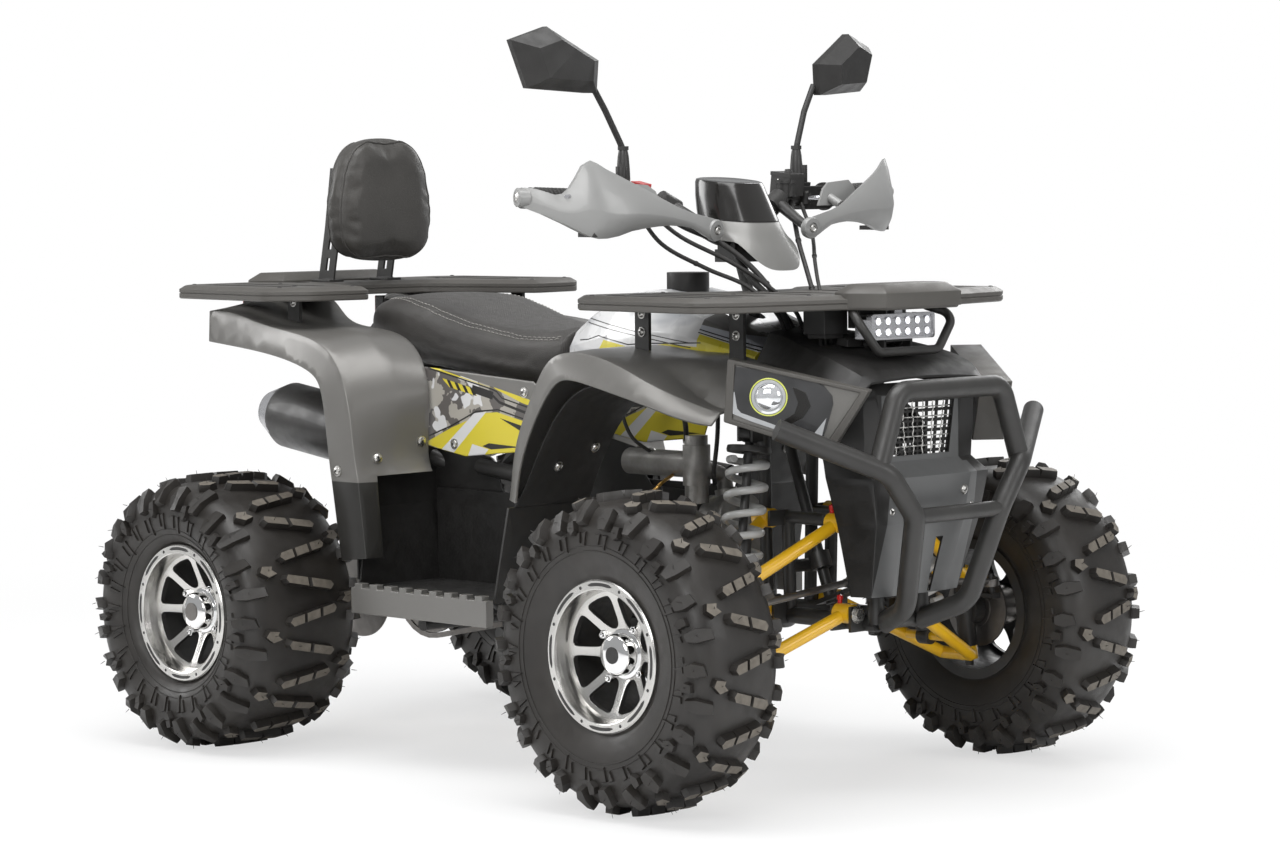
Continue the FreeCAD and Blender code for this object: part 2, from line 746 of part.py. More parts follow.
def frameBraces(frontCover, rearCover, tank, saddle, panel, nose):
    pieces = []
    for x, y in engineMountShares:
        low = place((x, y, bellyHeightShare))
        pieces.append(block(low - Vector(mountHalf, mountHalf, 0),
                            Vector(low.x + mountHalf, low.y + mountHalf,
                                   place(crankShares).z - crankHeight / 2 - seatGap)))
    for stay, cover in ((frontStayShares, frontCover), (rearStayShares, rearCover)):
        x, y, z = stay
        pieces.append(rodThrough([(x, -y, z), (x, y, z)], smallTubeRadius))
        for shell in cover:
            side = 1 if shell.BoundBox.Center.y > 0 else -1
            at = (x, side * (y - fenderPostRadius / layoutWidth), z)
            pieces.append(postUp(at, fenderPostHeight, fenderPostRadius, shell))
    for side in (-1, 1):
        for (x, y, z), cover in ((tankPostShares[0], tank), (tankPostShares[1], tank),
                                 (seatPostShares[0], saddle), (seatPostShares[1], saddle)):
            pieces.append(postUp((x, side * y, z), fenderPostHeight, fenderPostRadius, cover))
        x, y, z = panelStayShares
        root = place((x, side * y, z))
        stay = cylinder(root, root + acrossY * (side * layoutWidth / 4), fenderPostRadius)
        pieces.append(clearOf(stay, root, panel[0 if side < 0 else 1], acrossY * (-side * seatGap)))
        x, y, z = nosePostShares
        root = place((x, side * y, z))
        stay = cylinder(root, root + alongX * (layoutWidth / 4), fenderPostRadius)
        pieces.append(clearOf(stay, root, nose, alongX * -seatGap))
    return pieces


def wholeFrame(braces):
    half = [rodThrough(lowerRailShares, frameTubeRadius), rodThrough(middleRailShares, smallTubeRadius),
            rodThrough(topRailShares, frameTubeRadius), rodThrough(frontUprightShares, smallTubeRadius)]
    half.extend(damperTower())
    pieces = half + [mirrored(piece) for piece in half]
    for shares in (upperArmFrontShares, upperArmRearShares):
        mount = bushMount(place(shares), -layoutWidth * middleSideShare, layoutHeight * middleHeightShare)
        pieces.extend(mount + [mirrored(piece) for piece in mount])
    for shares in (lowerArmFrontShares, lowerArmRearShares):
        mount = bushMount(place(shares), -layoutWidth * noseSideShare, layoutHeight * noseHeightShare)
        pieces.extend(mount + [mirrored(piece) for piece in mount])
    for x, y, z in crossShares:
        pieces.append(rodThrough([(x, -y, z), (x, y, z)], smallTubeRadius))
    for x in footBarXShares:
        for side in (-1, 1):
            pieces.append(rodThrough([(x, side * bellySideShare, bellyHeightShare),
                                      (x, side * footBarReachShare, bellyHeightShare)], smallTubeRadius))
    pieces += bearingMounts() + pivotMount() + shockMount() + braces
    whole = fused(pieces)
    return whole.cut(cylinder(columnFoot, columnClamp, columnRadius + runningFit))


def frameParts(whole):
    # The three parts butt together at two planes
    front = place((frontPlaneShare, 0, 0)).x
    rear = place((rearPlaneShare, 0, 0)).x
    low = Vector(-wheelBase, -layoutWidth, 0)
    high = Vector(wheelBase, layoutWidth, layoutHeight)
    nose = whole.common(block(Vector(front, low.y, low.z), high))
    tail = whole.common(block(low, Vector(rear, high.y, high.z)))
    cradle = whole.common(block(Vector(rear, low.y, low.z), Vector(front, high.y, high.z)))
    return nose, cradle, tail


# Engine: crankcase, finned cylinder, head, side covers, exhaust port and inlet
crankShares = (0.075, 0.0, 0.325)
crankLength = 250.0
crankHeight = 150.0
crankHalfWidth = 66.0
crankCorner = 28.0
cylinderTilt = 14.0
barrelLength = 78.0
barrelRadius = 44.0
finCount = 7
finRadius = 56.0
finThickness = 3.5
headLength = 56.0
coverRadius = 58.0
coverDepth = 14.0
coverShares = [(-1, -0.24, 1.0), (-1, 0.20, 0.86), (1, 0.22, 0.90)]
portBossRadius = 20.0
portBossRise = 8.0
inletBossRise = 4.0
inletBossRadius = 18.0
outputShares = (-0.026, 0.0, 0.268)
outputShaftRadius = 12.0
outputSprocketRadius = 30.0


def cylinderDirection():
    return Vector(cos(radians(cylinderTilt)), 0, sin(radians(cylinderTilt)))


def cylinderUp():
    return Vector(-sin(radians(cylinderTilt)), 0, cos(radians(cylinderTilt)))


def barrelStart():
    return place(crankShares) + Vector(crankLength / 2 - crankCorner, 0, crankHeight / 5)


def engineTop():
    return barrelStart() + cylinderDirection() * (barrelLength + crankCorner + headLength / 2)


def engine():
    centre = place(crankShares)
    half = Vector(crankLength / 2, crankHalfWidth, crankHeight / 2)
    case = block(centre - half, centre + half)
    case = case.makeFillet(crankCorner, [edge for edge in case.Edges
                                         if abs(edge.tangentAt(edge.FirstParameter).y) > 0.9])
    along = cylinderDirection()
    start = barrelStart()
    pieces = [case, cylinder(start, start + along * (barrelLength + crankCorner), barrelRadius)]
    for index in range(finCount):
        at = start + along * (crankCorner + barrelLength * (index + 0.5) / finCount)
        pieces.append(cylinderAt(at, along, finThickness, finRadius))
    top = start + along * (barrelLength + crankCorner)
    pieces.append(cylinder(top, top + along * headLength, finRadius - finThickness))
    for side, shift, radiusShare in coverShares:
        at = centre + Vector(crankLength * shift, side * (crankHalfWidth + coverDepth / 2), 0)
        pieces.append(cylinderAt(at, acrossY, coverDepth, coverRadius * radiusShare))
    head = engineTop()
    pieces.append(cylinder(head, head + cylinderUp() * (finRadius + inletBossRise), inletBossRadius))
    pieces.append(cylinder(head, head - acrossY * (finRadius + portBossRise), portBossRadius))
    shaft = place(outputShares)
    chainSide = sprocketSide + sprocketThickness / 2
    pieces.append(cylinder(shaft, shaft + acrossY * chainSide, outputShaftRadius))
    pieces.append(cylinderAt(shaft + acrossY * sprocketSide, acrossY, sprocketThickness, outputSprocketRadius))
    return fused(pieces)


# Drive chain round the two sprockets: a closed band of links
chainThickness = 9.0
chainWidth = 10.0
chainGap = 0.5
chainArcSteps = 14


def chainLoop(extra):
    front = place(outputShares) + acrossY * sprocketSide
    rear = rearAxle + acrossY * sprocketSide
    # The band's corners stand out so that its flats stay clear of the sprockets
    flat = cos(pi / chainArcSteps / 2)
    small = (outputSprocketRadius + chainGap) / flat + extra
    large = (sprocketRadius + chainGap) / flat + extra
    run = front - rear
    slope = degrees(asin(run.z / run.Length))
    lean = degrees(asin((large - small) / run.Length))
    points = []
    for centre, radius, first, last in ((front, small, slope - 90 - lean, slope + 90 + lean),
                                        (rear, large, slope + 90 + lean, slope + 270 - lean)):
        # The contact angles lean towards the smaller sprocket
        start = first + 2 * lean if radius == small else first - 2 * lean
        end = last - 2 * lean if radius == small else last + 2 * lean
        for step in range(chainArcSteps + 1):
            angle = radians(start + (end - start) * step / chainArcSteps)
            points.append(centre + Vector(radius * cos(angle), 0, radius * sin(angle)))
    return points


def driveChain():
    shift = acrossY * (-chainWidth / 2)
    outer = prism([point + shift for point in chainLoop(chainThickness)], acrossY * chainWidth)
    inner = prism([point - acrossY * chainWidth for point in chainLoop(0)], acrossY * (chainWidth * 2))
    return outer.cut(inner)


carburettorSideShare = -0.055
intakeBendRadius = 20.0
intakeRadius = 13.0
intakeRise = 22.0
bodyRise = 42.0
chamberRadius = 22.0
chamberHalf = 32.0
chamberCapRadius = 18.0
chamberCapHeight = 15.0
bowlRadius = 19.0
bowlDepth = 28.0
airHoseRadius = 21.0
airHoseLength = 150.0


def carburettor():
    up = cylinderUp()
    foot = engineTop() + up * (finRadius + inletBossRise)
    body = foot + up * bodyRise + Vector(0, layoutWidth * carburettorSideShare, 0)
    pieces = [rod([foot, foot + up * intakeRise, body], intakeRadius, intakeBendRadius),
              cylinder(body - upZ * chamberHalf, body + upZ * chamberHalf, chamberRadius),
              cylinder(body, body + upZ * (chamberHalf + chamberCapHeight), chamberCapRadius),
              cylinder(body - upZ * (chamberHalf + bowlDepth), body, bowlRadius),
              cylinder(body, body - alongX * airHoseLength, airHoseRadius)]
    return fused(pieces)


# Exhaust: header from the head's right side, low pipe, upswept silencer and its hanger
headerShares = [(0.262, -0.128, 0.385), (0.245, -0.140, 0.300), (0.16, -0.146, 0.292),
                (-0.12, -0.146, 0.320), (-0.19, -0.148, 0.470)]
pipeRadius = 14.0
pipeBend = 40.0
mufflerFrontShares = (-0.290, -0.186, 0.502)
mufflerRearShares = (-0.545, -0.195, 0.540)
mufflerRadius = 56.0
mufflerConeLength = 50.0
mufflerMouthRadius = 20.0
mufflerConeRadius = 33.0
mouthShares = (0.7, 1.2)
hangerShares = (-0.44, 0.105)
hangerHalfLength = 18.0


def exhaust():
    front = place(mufflerFrontShares)
    rear = place(mufflerRearShares)
    along = (rear - front).normalize()
    can = cylinder(front, rear, mufflerRadius)
    cone = Part.makeCone(mufflerRadius, mufflerConeRadius, mufflerConeLength, rear, along)
    inlet = Part.makeCone(mufflerRadius, pipeRadius, mufflerConeLength, front, along * -1)
    outlet = cylinder(rear + along * (mufflerConeLength * mouthShares[0]),
                      rear + along * (mufflerConeLength * mouthShares[1]), mufflerMouthRadius)
    port = engineTop() - acrossY * (finRadius + portBossRise)
    path = [port] + [place(share) for share in headerShares]
    path[1] = Vector(port.x, path[1].y, port.z)
    path.append(front - along * (mufflerConeLength - sheet))
    pipe = rod(path, pipeRadius, pipeBend)
    flange = cylinder(port, port - acrossY * sheet, portBossRadius)
    x, railSide = hangerShares
    at = place((x, 0, 0)).x
    middle = front + (rear - front) * ((at - front.x) / (rear.x - front.x))
    railEdge = -(railHalf(at) + frameTubeRadius + seatGap)
    hanger = block(Vector(at - hangerHalfLength, middle.y, middle.z + mufflerRadius - sheet * 2),
                   Vector(at + hangerHalfLength, railEdge, middle.z + mufflerRadius + sheet))
    whole = fused([can, cone, inlet, outlet, pipe, flange, hanger])
    return whole.cut(cylinder(rear + along * sheet, rear + along * (mufflerConeLength * 2),
                              mufflerMouthRadius - sheet))


def railHalf(x):
    # Half the distance between the top rails where they pass x
    points = [place(share) for share in topRailShares]
    for fore, aft in zip(points, points[1:]):
        if aft.x <= x <= fore.x:
            return fore.y + (aft.y - fore.y) * (x - fore.x) / (aft.x - fore.x)
    return points[-1].y


# Skid plate under the cradle
skidShares = [(-0.075, 0.112), (0.28, 0.112)]
skidThickness = 4.0
skidSlotCount = 6
skidSlotHalfWidth = 55.0
skidSlotLength = 14.0


def skidPlate():
    top = layoutHeight * bellyHeightShare - frameTubeRadius - seatGap
    half = [place((x, y, 0)) for x, y in skidShares]
    points = [Vector(p.x, p.y, top - skidThickness) for p in half]
    points += [Vector(p.x, -p.y, top - skidThickness) for p in half[::-1]]
    plate = prism(points, upZ * skidThickness)
    start, end = points[0].x, points[1].x
    slots = []
    for index in range(skidSlotCount):
        x = start + (end - start) * (index + 1) / (skidSlotCount + 1)
        slots.append(block(Vector(x, -skidSlotHalfWidth, top - overrun),
                           Vector(x + skidSlotLength, skidSlotHalfWidth, top + overrun)))
    return plate.cut(slots)


# Front bumper of bent tubes
bumperSideShares = [(0.669, 0.293, 0.572), (0.760, 0.150, 0.503), (0.764, 0.097, 0.436),
                    (0.722, 0.071, 0.293), (0.650, 0.040, 0.262)]
bumperHoopShares = [(0.749, 0.160, 0.512), (0.749, 0.118, 0.622), (0.749, -0.118, 0.622),
                    (0.749, -0.160, 0.512)]
bumperCrossShares = [(0.764, 0.097, 0.436), (0.764, -0.097, 0.436)]
hoopBend = 30.0


def frontBumper():
    side = rodThrough(bumperSideShares, bumperTubeRadius)
    pieces = pairOf(side)
    pieces.append(rodThrough(bumperHoopShares, bumperTubeRadius, hoopBend))
    pieces.append(rodThrough(bumperCrossShares, bumperTubeRadius - sheet))
    front = place(lowerRailShares[0]).x + frameTubeRadius + seatGap
    behind = block(Vector(front - overrun * 2, -layoutWidth / 5, 0), Vector(front, layoutWidth / 5, layoutHeight / 2))
    return fused(pieces).cut(behind)


# Nose: a shell with the grille's window, a ledge below it and a tapered chin
noseLevels = [(0.308, (0.686, 0.060), (0.678, 0.098), (0.645, 0.108)),
              (0.420, (0.716, 0.070), (0.706, 0.118), (0.640, 0.132)),
              (0.490, (0.722, 0.080), (0.712, 0.132), (0.634, 0.150)),
              (0.512, (0.692, 0.076), (0.688, 0.120), (0.632, 0.152)),
              (0.614, (0.690, 0.098), (0.688, 0.128), (0.622, 0.172)),
              (0.630, (0.680, 0.098), (0.678, 0.130), (0.622, 0.174))]
grilleTopShares = (0.691, 0.080, 0.606)
grilleFootShares = (0.691, 0.064, 0.520)
chinSlotShares = [(0.310, 0.018), (0.310, 0.026), (0.395, 0.030), (0.395, 0.014)]


def nosePanel():
    sections = []
    for height, front, corner, back in noseLevels:
        right = [(back[0], -back[1]), (corner[0], -corner[1]), (front[0], -front[1])]
        line = right + [(x, -y) for x, y in right[::-1]]
        outer = [(place((x, y, height)).x, layoutWidth * y) for x, y in line]
        closed = ribbon(outer, sheet)
        sections.append([Vector(x, y, layoutHeight * height) for x, y in closed])
    shell = lofted(sections)
    top = place(grilleTopShares)
    foot = place(grilleFootShares)
    window = prism([Vector(top.x - overrun, -foot.y, foot.z), Vector(top.x - overrun, foot.y, foot.z),
                    Vector(top.x - overrun, top.y, top.z), Vector(top.x - overrun, -top.y, top.z)],
                   Vector(overrun * 2, 0, 0))
    cuts = [window]
    for side in (-1, 1):
        corners = [place((grilleTopShares[0], side * y, z)) - alongX * overrun for z, y in chinSlotShares]
        cuts.append(prism(corners, alongX * (overrun * 3)))
    return shell.cut(cuts)


grilleBarRadius = 2.5
grilleColumns = 7
grilleRows = 6
grilleMargin = 3.0


def grille():
    # Bars of the mesh cross behind the window, inside a border that lies against the nose
    top = place(grilleTopShares)
    foot = place(grilleFootShares)
    top = top + Vector(0, grilleMargin, grilleMargin)
    foot = foot + Vector(0, grilleMargin, -grilleMargin)
    depth = top.x - wheelBase * noseSlackShare - sheet - grilleBarRadius - seatGap
    bars = []
    for index in range(grilleColumns):
        share = (index + 0.5) / grilleColumns * 2 - 1
        bars.append(cylinder(Vector(depth, foot.y * share, foot.z), Vector(depth, top.y * share, top.z),
                             grilleBarRadius))
    for index in range(grilleRows):
        share = (index + 0.5) / grilleRows
        half = foot.y + (top.y - foot.y) * share
        z = foot.z + (top.z - foot.z) * share
        bars.append(cylinder(Vector(depth, -half, z), Vector(depth, half, z), grilleBarRadius))
    edge = []
    for y, z in ((-foot.y, foot.z), (foot.y, foot.z), (top.y, top.z), (-top.y, top.z)):
        edge.append(Vector(depth, y, z))
    for start, end in zip(edge, edge[1:] + edge[:1]):
        bars.append(cylinder(start, end, grilleBarRadius))
    return fused(bars)


noseSlackShare = 0.001


# Arched fenders: sections stand square to the arch and are joined smoothly along it.
# Each station is (x, z, tilt of the section in degrees, points of the section), and each point is
# (distance to the side, rise along the section)
def stationPoints(station, thickness):
    x, z, tilt, line = station
    base = place((x, 0, z))
    rise = Vector(cos(radians(tilt)), 0, sin(radians(tilt)))
    closed = ribbon([(layoutWidth * y, layoutWidth * s) for y, s in line], thickness)
    return [base + acrossY * y + rise * s for y, s in closed]


def archedPanel(stations, thickness):
    return [stationPoints(station, thickness) for station in stations]


rearFenderShares = [
    (-0.640, 0.719, 95, [(-0.300, -0.052), (-0.294, 0.0), (-0.200, 0.010), (-0.100, 0.012)]),
    (-0.500, 0.707, 88, [(-0.326, -0.048), (-0.314, 0.0), (-0.215, 0.010), (-0.120, 0.012)]),
    (-0.370, 0.690, 80, [(-0.345, -0.046), (-0.334, 0.0), (-0.240, 0.006), (-0.168, 0.004)]),
    (-0.277, 0.662, 52, [(-0.350, -0.050), (-0.342, 0.0), (-0.262, 0.022), (-0.182, 0.020)]),
    (-0.238, 0.620, 25, [(-0.353, -0.052), (-0.347, 0.0), (-0.268, 0.030), (-0.204, 0.044)]),
    (-0.212, 0.540, 12, [(-0.354, -0.060), (-0.351, 0.0), (-0.275, 0.024), (-0.214, 0.038)]),
    (-0.195, 0.460, 8, [(-0.356, -0.062), (-0.353, 0.0), (-0.285, 0.020), (-0.216, 0.030)])]
rearLegShares = [
    (-0.195, 0.460, 8, [(-0.356, -0.062), (-0.353, 0.0), (-0.319, 0.010)]),
    (-0.174, 0.330, 6, [(-0.357, -0.060), (-0.355, 0.0), (-0.324, 0.008)])]

frontFenderShares = [
    (0.141, 0.442, 170, [(-0.342, -0.022), (-0.334, 0.0), (-0.316, 0.001), (-0.300, 0.002), (-0.280, 0.002)]),
    (0.150, 0.490, 166, [(-0.342, -0.022), (-0.335, 0.0), (-0.310, 0.001), (-0.290, 0.002), (-0.262, 0.002)]),
    (0.177, 0.567, 158, [(-0.344, -0.028), (-0.338, 0.0), (-0.300, 0.004), (-0.270, 0.006), (-0.225, 0.006)]),
    (0.208, 0.622, 150, [(-0.347, -0.034), (-0.340, 0.0), (-0.290, 0.006), (-0.250, 0.008), (-0.190, 0.008)]),
    (0.250, 0.668, 122, [(-0.349, -0.042), (-0.341, 0.0), (-0.280, 0.006), (-0.220, 0.008), (-0.155, 0.008)]),
    (0.319, 0.673, 92, [(-0.349, -0.042), (-0.330, 0.0), (-0.270, 0.002), (-0.210, 0.004), (-0.140, 0.004)]),
    (0.400, 0.648, 84, [(-0.346, -0.034), (-0.324, 0.0), (-0.262, 0.006), (-0.225, 0.020), (-0.136, 0.024)]),
    (0.475, 0.617, 80, [(-0.335, -0.024), (-0.312, 0.0), (-0.268, 0.004), (-0.236, 0.032), (-0.136, 0.046)]),
    (0.552, 0.592, 78, [(-0.306, -0.018), (-0.290, 0.0), (-0.262, 0.006), (-0.236, 0.040), (-0.136, 0.060)])]


def fenderShell(stations):
    return lofted(archedPanel(stations, -sheet), False)


def rearFender():
    return fused([fenderShell(rearFenderShares), lofted(archedPanel(rearLegShares, -sheet))])


def frontFender():
    outer, facing = lensPoints(surroundMargin + seatGap)
    room = prism([point - facing * (lampDepth + sheet * 2) for point in outer], facing * overrun * 4)
    return fenderShell(frontFenderShares).cut(room)


# Headlamps: a deep lens in a surround at the front of each fender
lensCornerShares = [(0.574, -0.280, 0.664), (0.569, -0.280, 0.582), (0.677, -0.200, 0.541),
                    (0.722, -0.170, 0.622)]
lampDepth = 42.0
surroundMargin = 14.0


def lensPoints(margin):
    corners = [place(share) for share in lensCornerShares]
    centre = (corners[0] + corners[1] + corners[2] + corners[3]) * 0.25
    across = (corners[3] - corners[0]).normalize()
    facing = across.cross(upZ).normalize()
    if facing.x < 0:
        facing = facing * -1
    flat = []
    for corner in corners:
        outward = (corner - centre).normalize() * margin
        point = corner + outward
        flat.append(point - facing * (point - centre).dot(facing))
    return flat, facing


def headlamp():
    points, facing = lensPoints(0)
    back = [point - facing * lampDepth for point in points]
    return prism(back, facing * lampDepth)


def lampSurround():
    outer, facing = lensPoints(surroundMargin)
    inner, facing = lensPoints(seatGap)
    back = [point - facing * (lampDepth + sheet) for point in outer]
    body = prism(back, facing * (lampDepth + sheet * 2))
    hollow = prism([point - facing * (lampDepth + seatGap) for point in inner], facing * overrun * 3)
    return body.cut(hollow)


# Foot boards: a floor with an inner wall, and a sloping wall ahead of the foot
footFloorShares = [(-0.205, 0.283), (0.115, 0.283)]
footInnerShare = 0.168
footOuterShare = 0.345
footFloorThickness = 6.0
footWallRise = 150.0
frontWallShares = [(0.113, 0.279, 172, [(-0.345, 0.0), (-0.168, 0.0)]),
                   (0.143, 0.430, 166, [(-0.340, 0.0), (-0.168, 0.0)])]
rearWallShares = [(-0.205, 0.279, 8, [(-0.345, 0.0), (-0.168, 0.0)]),
                  (-0.214, 0.380, 4, [(-0.322, 0.0), (-0.168, 0.0)]),
                  (-0.222, 0.452, 4, [(-0.314, 0.0), (-0.190, 0.0)])]
stepRimHeight = 42.0
stepRimWidth = 16.0
stepToothCount = 9
stepToothHeight = 7.0
stepToothShare = 0.5


def footLevel(x, side):
    return place((x, side, footFloorShares[0][1]))


def footBoard():
    low = footLevel(footFloorShares[0][0], -footOuterShare)
    high = footLevel(footFloorShares[1][0], -footInnerShare)
    floor = block(Vector(low.x, low.y, low.z - footFloorThickness), high)
    pieces = [floor]
    for x in footBarXShares:
        at = place((x, -footBarReachShare, bellyHeightShare)) + acrossY * (smallTubeRadius * 2)
        pieces.append(cylinder(Vector(at.x, at.y, at.z + smallTubeRadius + seatGap),
                               Vector(at.x, at.y, low.z - footFloorThickness / 2), smallTubeRadius))
    pieces.append(block(Vector(low.x, high.y - sheet, high.z - sheet),
                        Vector(high.x, high.y, high.z + footWallRise)))
    pieces.append(lofted(archedPanel(frontWallShares, -sheet)))
    pieces.append(lofted(archedPanel(rearWallShares, sheet)))
    return fused(pieces)


def stepRim():
    low = footLevel(footFloorShares[0][0], -footOuterShare)
    high = footLevel(footFloorShares[1][0], -footOuterShare)
    bar = block(Vector(low.x, low.y - stepRimWidth - seatGap, low.z - stepRimHeight),
                Vector(high.x, low.y - seatGap, high.z))
    teeth = []
    pitch = (high.x - low.x) / stepToothCount
    for index in range(stepToothCount):
        at = low.x + pitch * (index + (1 - stepToothShare) / 2)
        teeth.append(block(Vector(at, low.y - stepRimWidth - seatGap, high.z - sheet),
                           Vector(at + pitch * stepToothShare, low.y - seatGap, high.z + stepToothHeight)))
    return fused([bar] + teeth)


# Arch liners: dark inner walls behind the front wheels, standing on the foot boards' front walls
linerShares = [
    (0.143, 0.430, 166, [(-0.326, 0.0), (-0.240, 0.0), (-0.168, 0.0)]),
    (0.190, 0.540, 156, [(-0.310, -0.004), (-0.240, -0.004), (-0.160, -0.004)]),
    (0.232, 0.604, 142, [(-0.306, -0.010), (-0.230, -0.012), (-0.150, -0.012)]),
    (0.290, 0.640, 112, [(-0.306, -0.016), (-0.230, -0.016), (-0.140, -0.016)])]


def archLiner():
    tilt = linerShares[0][2]
    seatNormal = Vector(-cos(radians(tilt + 90)), 0, sin(radians(tilt - 90)))
    return lofted(archedPanel(linerShares, -sheet), False).translated(seatNormal * seatGap)


# Tank cover and fuel cap
tankShares = [(0.020, 0.086, 0.640, 0.700), (0.075, 0.104, 0.632, 0.735), (0.135, 0.114, 0.640, 0.756),
              (0.200, 0.120, 0.650, 0.763), (0.290, 0.124, 0.656, 0.748), (0.400, 0.118, 0.652, 0.706),
              (0.452, 0.110, 0.650, 0.684)]
tankFlareShares = [(1.0, 0.0), (0.98, 0.45), (0.80, 0.86), (0.50, 1.0)]
columnClearance = 6.0
fuelCapShares = (0.205, 0.0, 0.763)
fuelCapRadius = 34.0
fuelCapHeight = 26.0


def tankCover():
    sections = []
    for x, half, low, high in tankShares:
        right = [(-half * wide, low + (high - low) * tall) for wide, tall in tankFlareShares]
        line = right + [(-y, z) for y, z in right[::-1]]
        at = place((x, 0, 0)).x
        sections.append([Vector(at, layoutWidth * y, layoutHeight * z) for y, z in line])
    hole = cylinder(columnFoot, columnClamp, columnRadius + columnClearance)
    return lofted(sections, True).cut(hole)


def fuelCap(tank):
    foot = place(fuelCapShares) - upZ * fuelCapHeight
    post = cylinder(foot + upZ * (fuelCapHeight * 2), foot, fuelCapRadius)
    cap = clearOf(post, foot + upZ * (fuelCapHeight * 2), tank, upZ * seatGap)
    return cap


# Seat: a soft saddle
seatShares = [(-0.425, 0.110, 0.672, 0.722), (-0.395, 0.146, 0.658, 0.738), (-0.300, 0.160, 0.642, 0.735),
              (-0.180, 0.152, 0.628, 0.705), (-0.080, 0.135, 0.612, 0.690), (-0.010, 0.104, 0.612, 0.692),
              (0.014, 0.080, 0.640, 0.704)]
saddleOutlineShares = [(-1.0, 0.0, 0.0), (-0.94, 0.65, 1.0), (-0.6, 1.0, 1.0), (0.0, 1.06, 1.0)]


def seat():
    wires = []
    for x, half, low, high in seatShares:
        at = place((x, 0, 0)).x
        middle = (low + high) / 2
        right = [(half * wide, middle + (high - middle) * tall) for wide, tall, top in saddleOutlineShares]
        points = right + [(-y, z) for y, z in right[-2::-1]]
        points += [(half * 0.9, low), (0, low), (-half * 0.9, low)]
        wires.append(smoothSection([Vector(at, layoutWidth * y, layoutHeight * z) for y, z in points]))
    return Part.makeLoft(wires, True, False)


# Side panels below the seat
sidePanelShares = [(-0.198, 0.634), (0.060, 0.618), (0.080, 0.604), (0.040, 0.505), (-0.100, 0.491),
                   (-0.195, 0.505)]
sidePanelInnerShare = 0.206


def sidePanel():
    points = [place((x, -sidePanelInnerShare, z)) for x, z in sidePanelShares]
    return prism(points, acrossY * sheet)


# Racks: plates with turned-down rims and long slots; the front one carries a raised block
frontRackShares = [(0.355, 0.0), (0.350, 0.070), (0.285, 0.150), (0.262, 0.300), (0.300, 0.335),
                   (0.560, 0.352), (0.600, 0.300), (0.640, 0.110), (0.700, 0.084), (0.700, 0.0)]
rearRackShares = [(-0.560, 0.0), (-0.545, 0.105), (-0.470, 0.140), (-0.345, 0.190), (-0.360, 0.300),
                  (-0.420, 0.358), (-0.680, 0.330), (-0.715, 0.280), (-0.715, 0.0)]
rackLevelShare = 0.750
frontRackSlotShares = [(0.330, 0.560, 0.200), (0.330, 0.560, 0.250), (0.420, 0.575, 0.050),
                       (0.420, 0.575, 0.110), (0.330, 0.545, 0.300)]
rearRackSlotShares = [(-0.660, -0.430, 0.220), (-0.660, -0.430, 0.280), (-0.690, -0.600, 0.040),
                      (-0.690, -0.600, 0.110)]
rackSlotWidth = 12.0
rackHoleRadius = 4.25
rackHoleSpacing = 100.0
frontRackHoleShares = (0.450, 0.155)
rearRackHoleShares = (-0.590, 0.165)
raisedFootShares = [(0.600, 0.098), (0.632, 0.106), (0.698, 0.084)]
raisedTopShares = [(0.612, 0.086), (0.634, 0.090), (0.682, 0.072)]
raisedHeight = 16.0
rearRaisedFootShares = [(-0.640, 0.118), (-0.712, 0.150)]
rearRaisedTopShares = [(-0.654, 0.104), (-0.704, 0.134)]
rackLipDepth = 9.0
rackLipWidth = 5.0


def bothSides(half, level):
    return [Vector(x, y, level) for x, y in half] + [Vector(x, -y, level) for x, y in half[::-1] if abs(y) > 0]


def rackLip(half, level):
    # A rim turned down along the plate's edge, its width set off inward from the outline
    inner = offsetLine(half, -rackLipWidth)
    turn = half[1][1] * (half[-1][0] - half[0][0])
    if turn > 0:
        inner = offsetLine(half, rackLipWidth)
    inner = [(inner[0][0], 0)] + inner[1:-1] + [(inner[-1][0], 0)]
    ring = prism(bothSides(half, level - rackLipDepth), upZ * (rackLipDepth + rackThickness / 2))
    return ring.cut(prism(bothSides(inner, level - rackLipDepth - overrun), upZ * (overrun * 2)))


def rackPlate(outlineShares, slotShares, holeShares):
    level = layoutHeight * rackLevelShare
    half = [(place((x, -y, 0)).x, place((x, -y, 0)).y) for x, y in outlineShares]
    plate = prism(bothSides(half, level), upZ * rackThickness).fuse(rackLip(half, level))
    cuts = []
    for start, end, side in slotShares:
        for sign in (-1, 1):
            low = place((start, sign * side, 0))
            high = place((end, sign * side, 0))
            cuts.append(block(Vector(low.x, low.y - rackSlotWidth / 2, level - overrun),
                              Vector(high.x, low.y + rackSlotWidth / 2, level + overrun)))
    middle, side = holeShares
    for sign in (-1, 1):
        for end in (-1, 1):
            at = place((middle, sign * side, rackLevelShare)) + alongX * (end * rackHoleSpacing / 2)
            cuts.append(cylinderAt(at, upZ, overrun * 2, rackHoleRadius))
    return plate.cut(cuts)


def raisedBlock(footShares, topShares):
    level = layoutHeight * rackLevelShare + rackThickness
    sections = []
    for shares, height in ((footShares, -sheet), (footShares, 0), (topShares, raisedHeight)):
        half = [place((x, -y, 0)) for x, y in shares]
        sections.append(bothSides([(p.x, p.y) for p in half], level + height))
    return lofted(sections)


def frontRack(guard):
    plate = rackPlate(frontRackShares, frontRackSlotShares, frontRackHoleShares).cut(guard)
    return plate.fuse(raisedBlock(raisedFootShares, raisedTopShares))


def rearRack():
    plate = rackPlate(rearRackShares, rearRackSlotShares, rearRackHoleShares)
    return plate.fuse(raisedBlock(rearRaisedFootShares, rearRaisedTopShares))


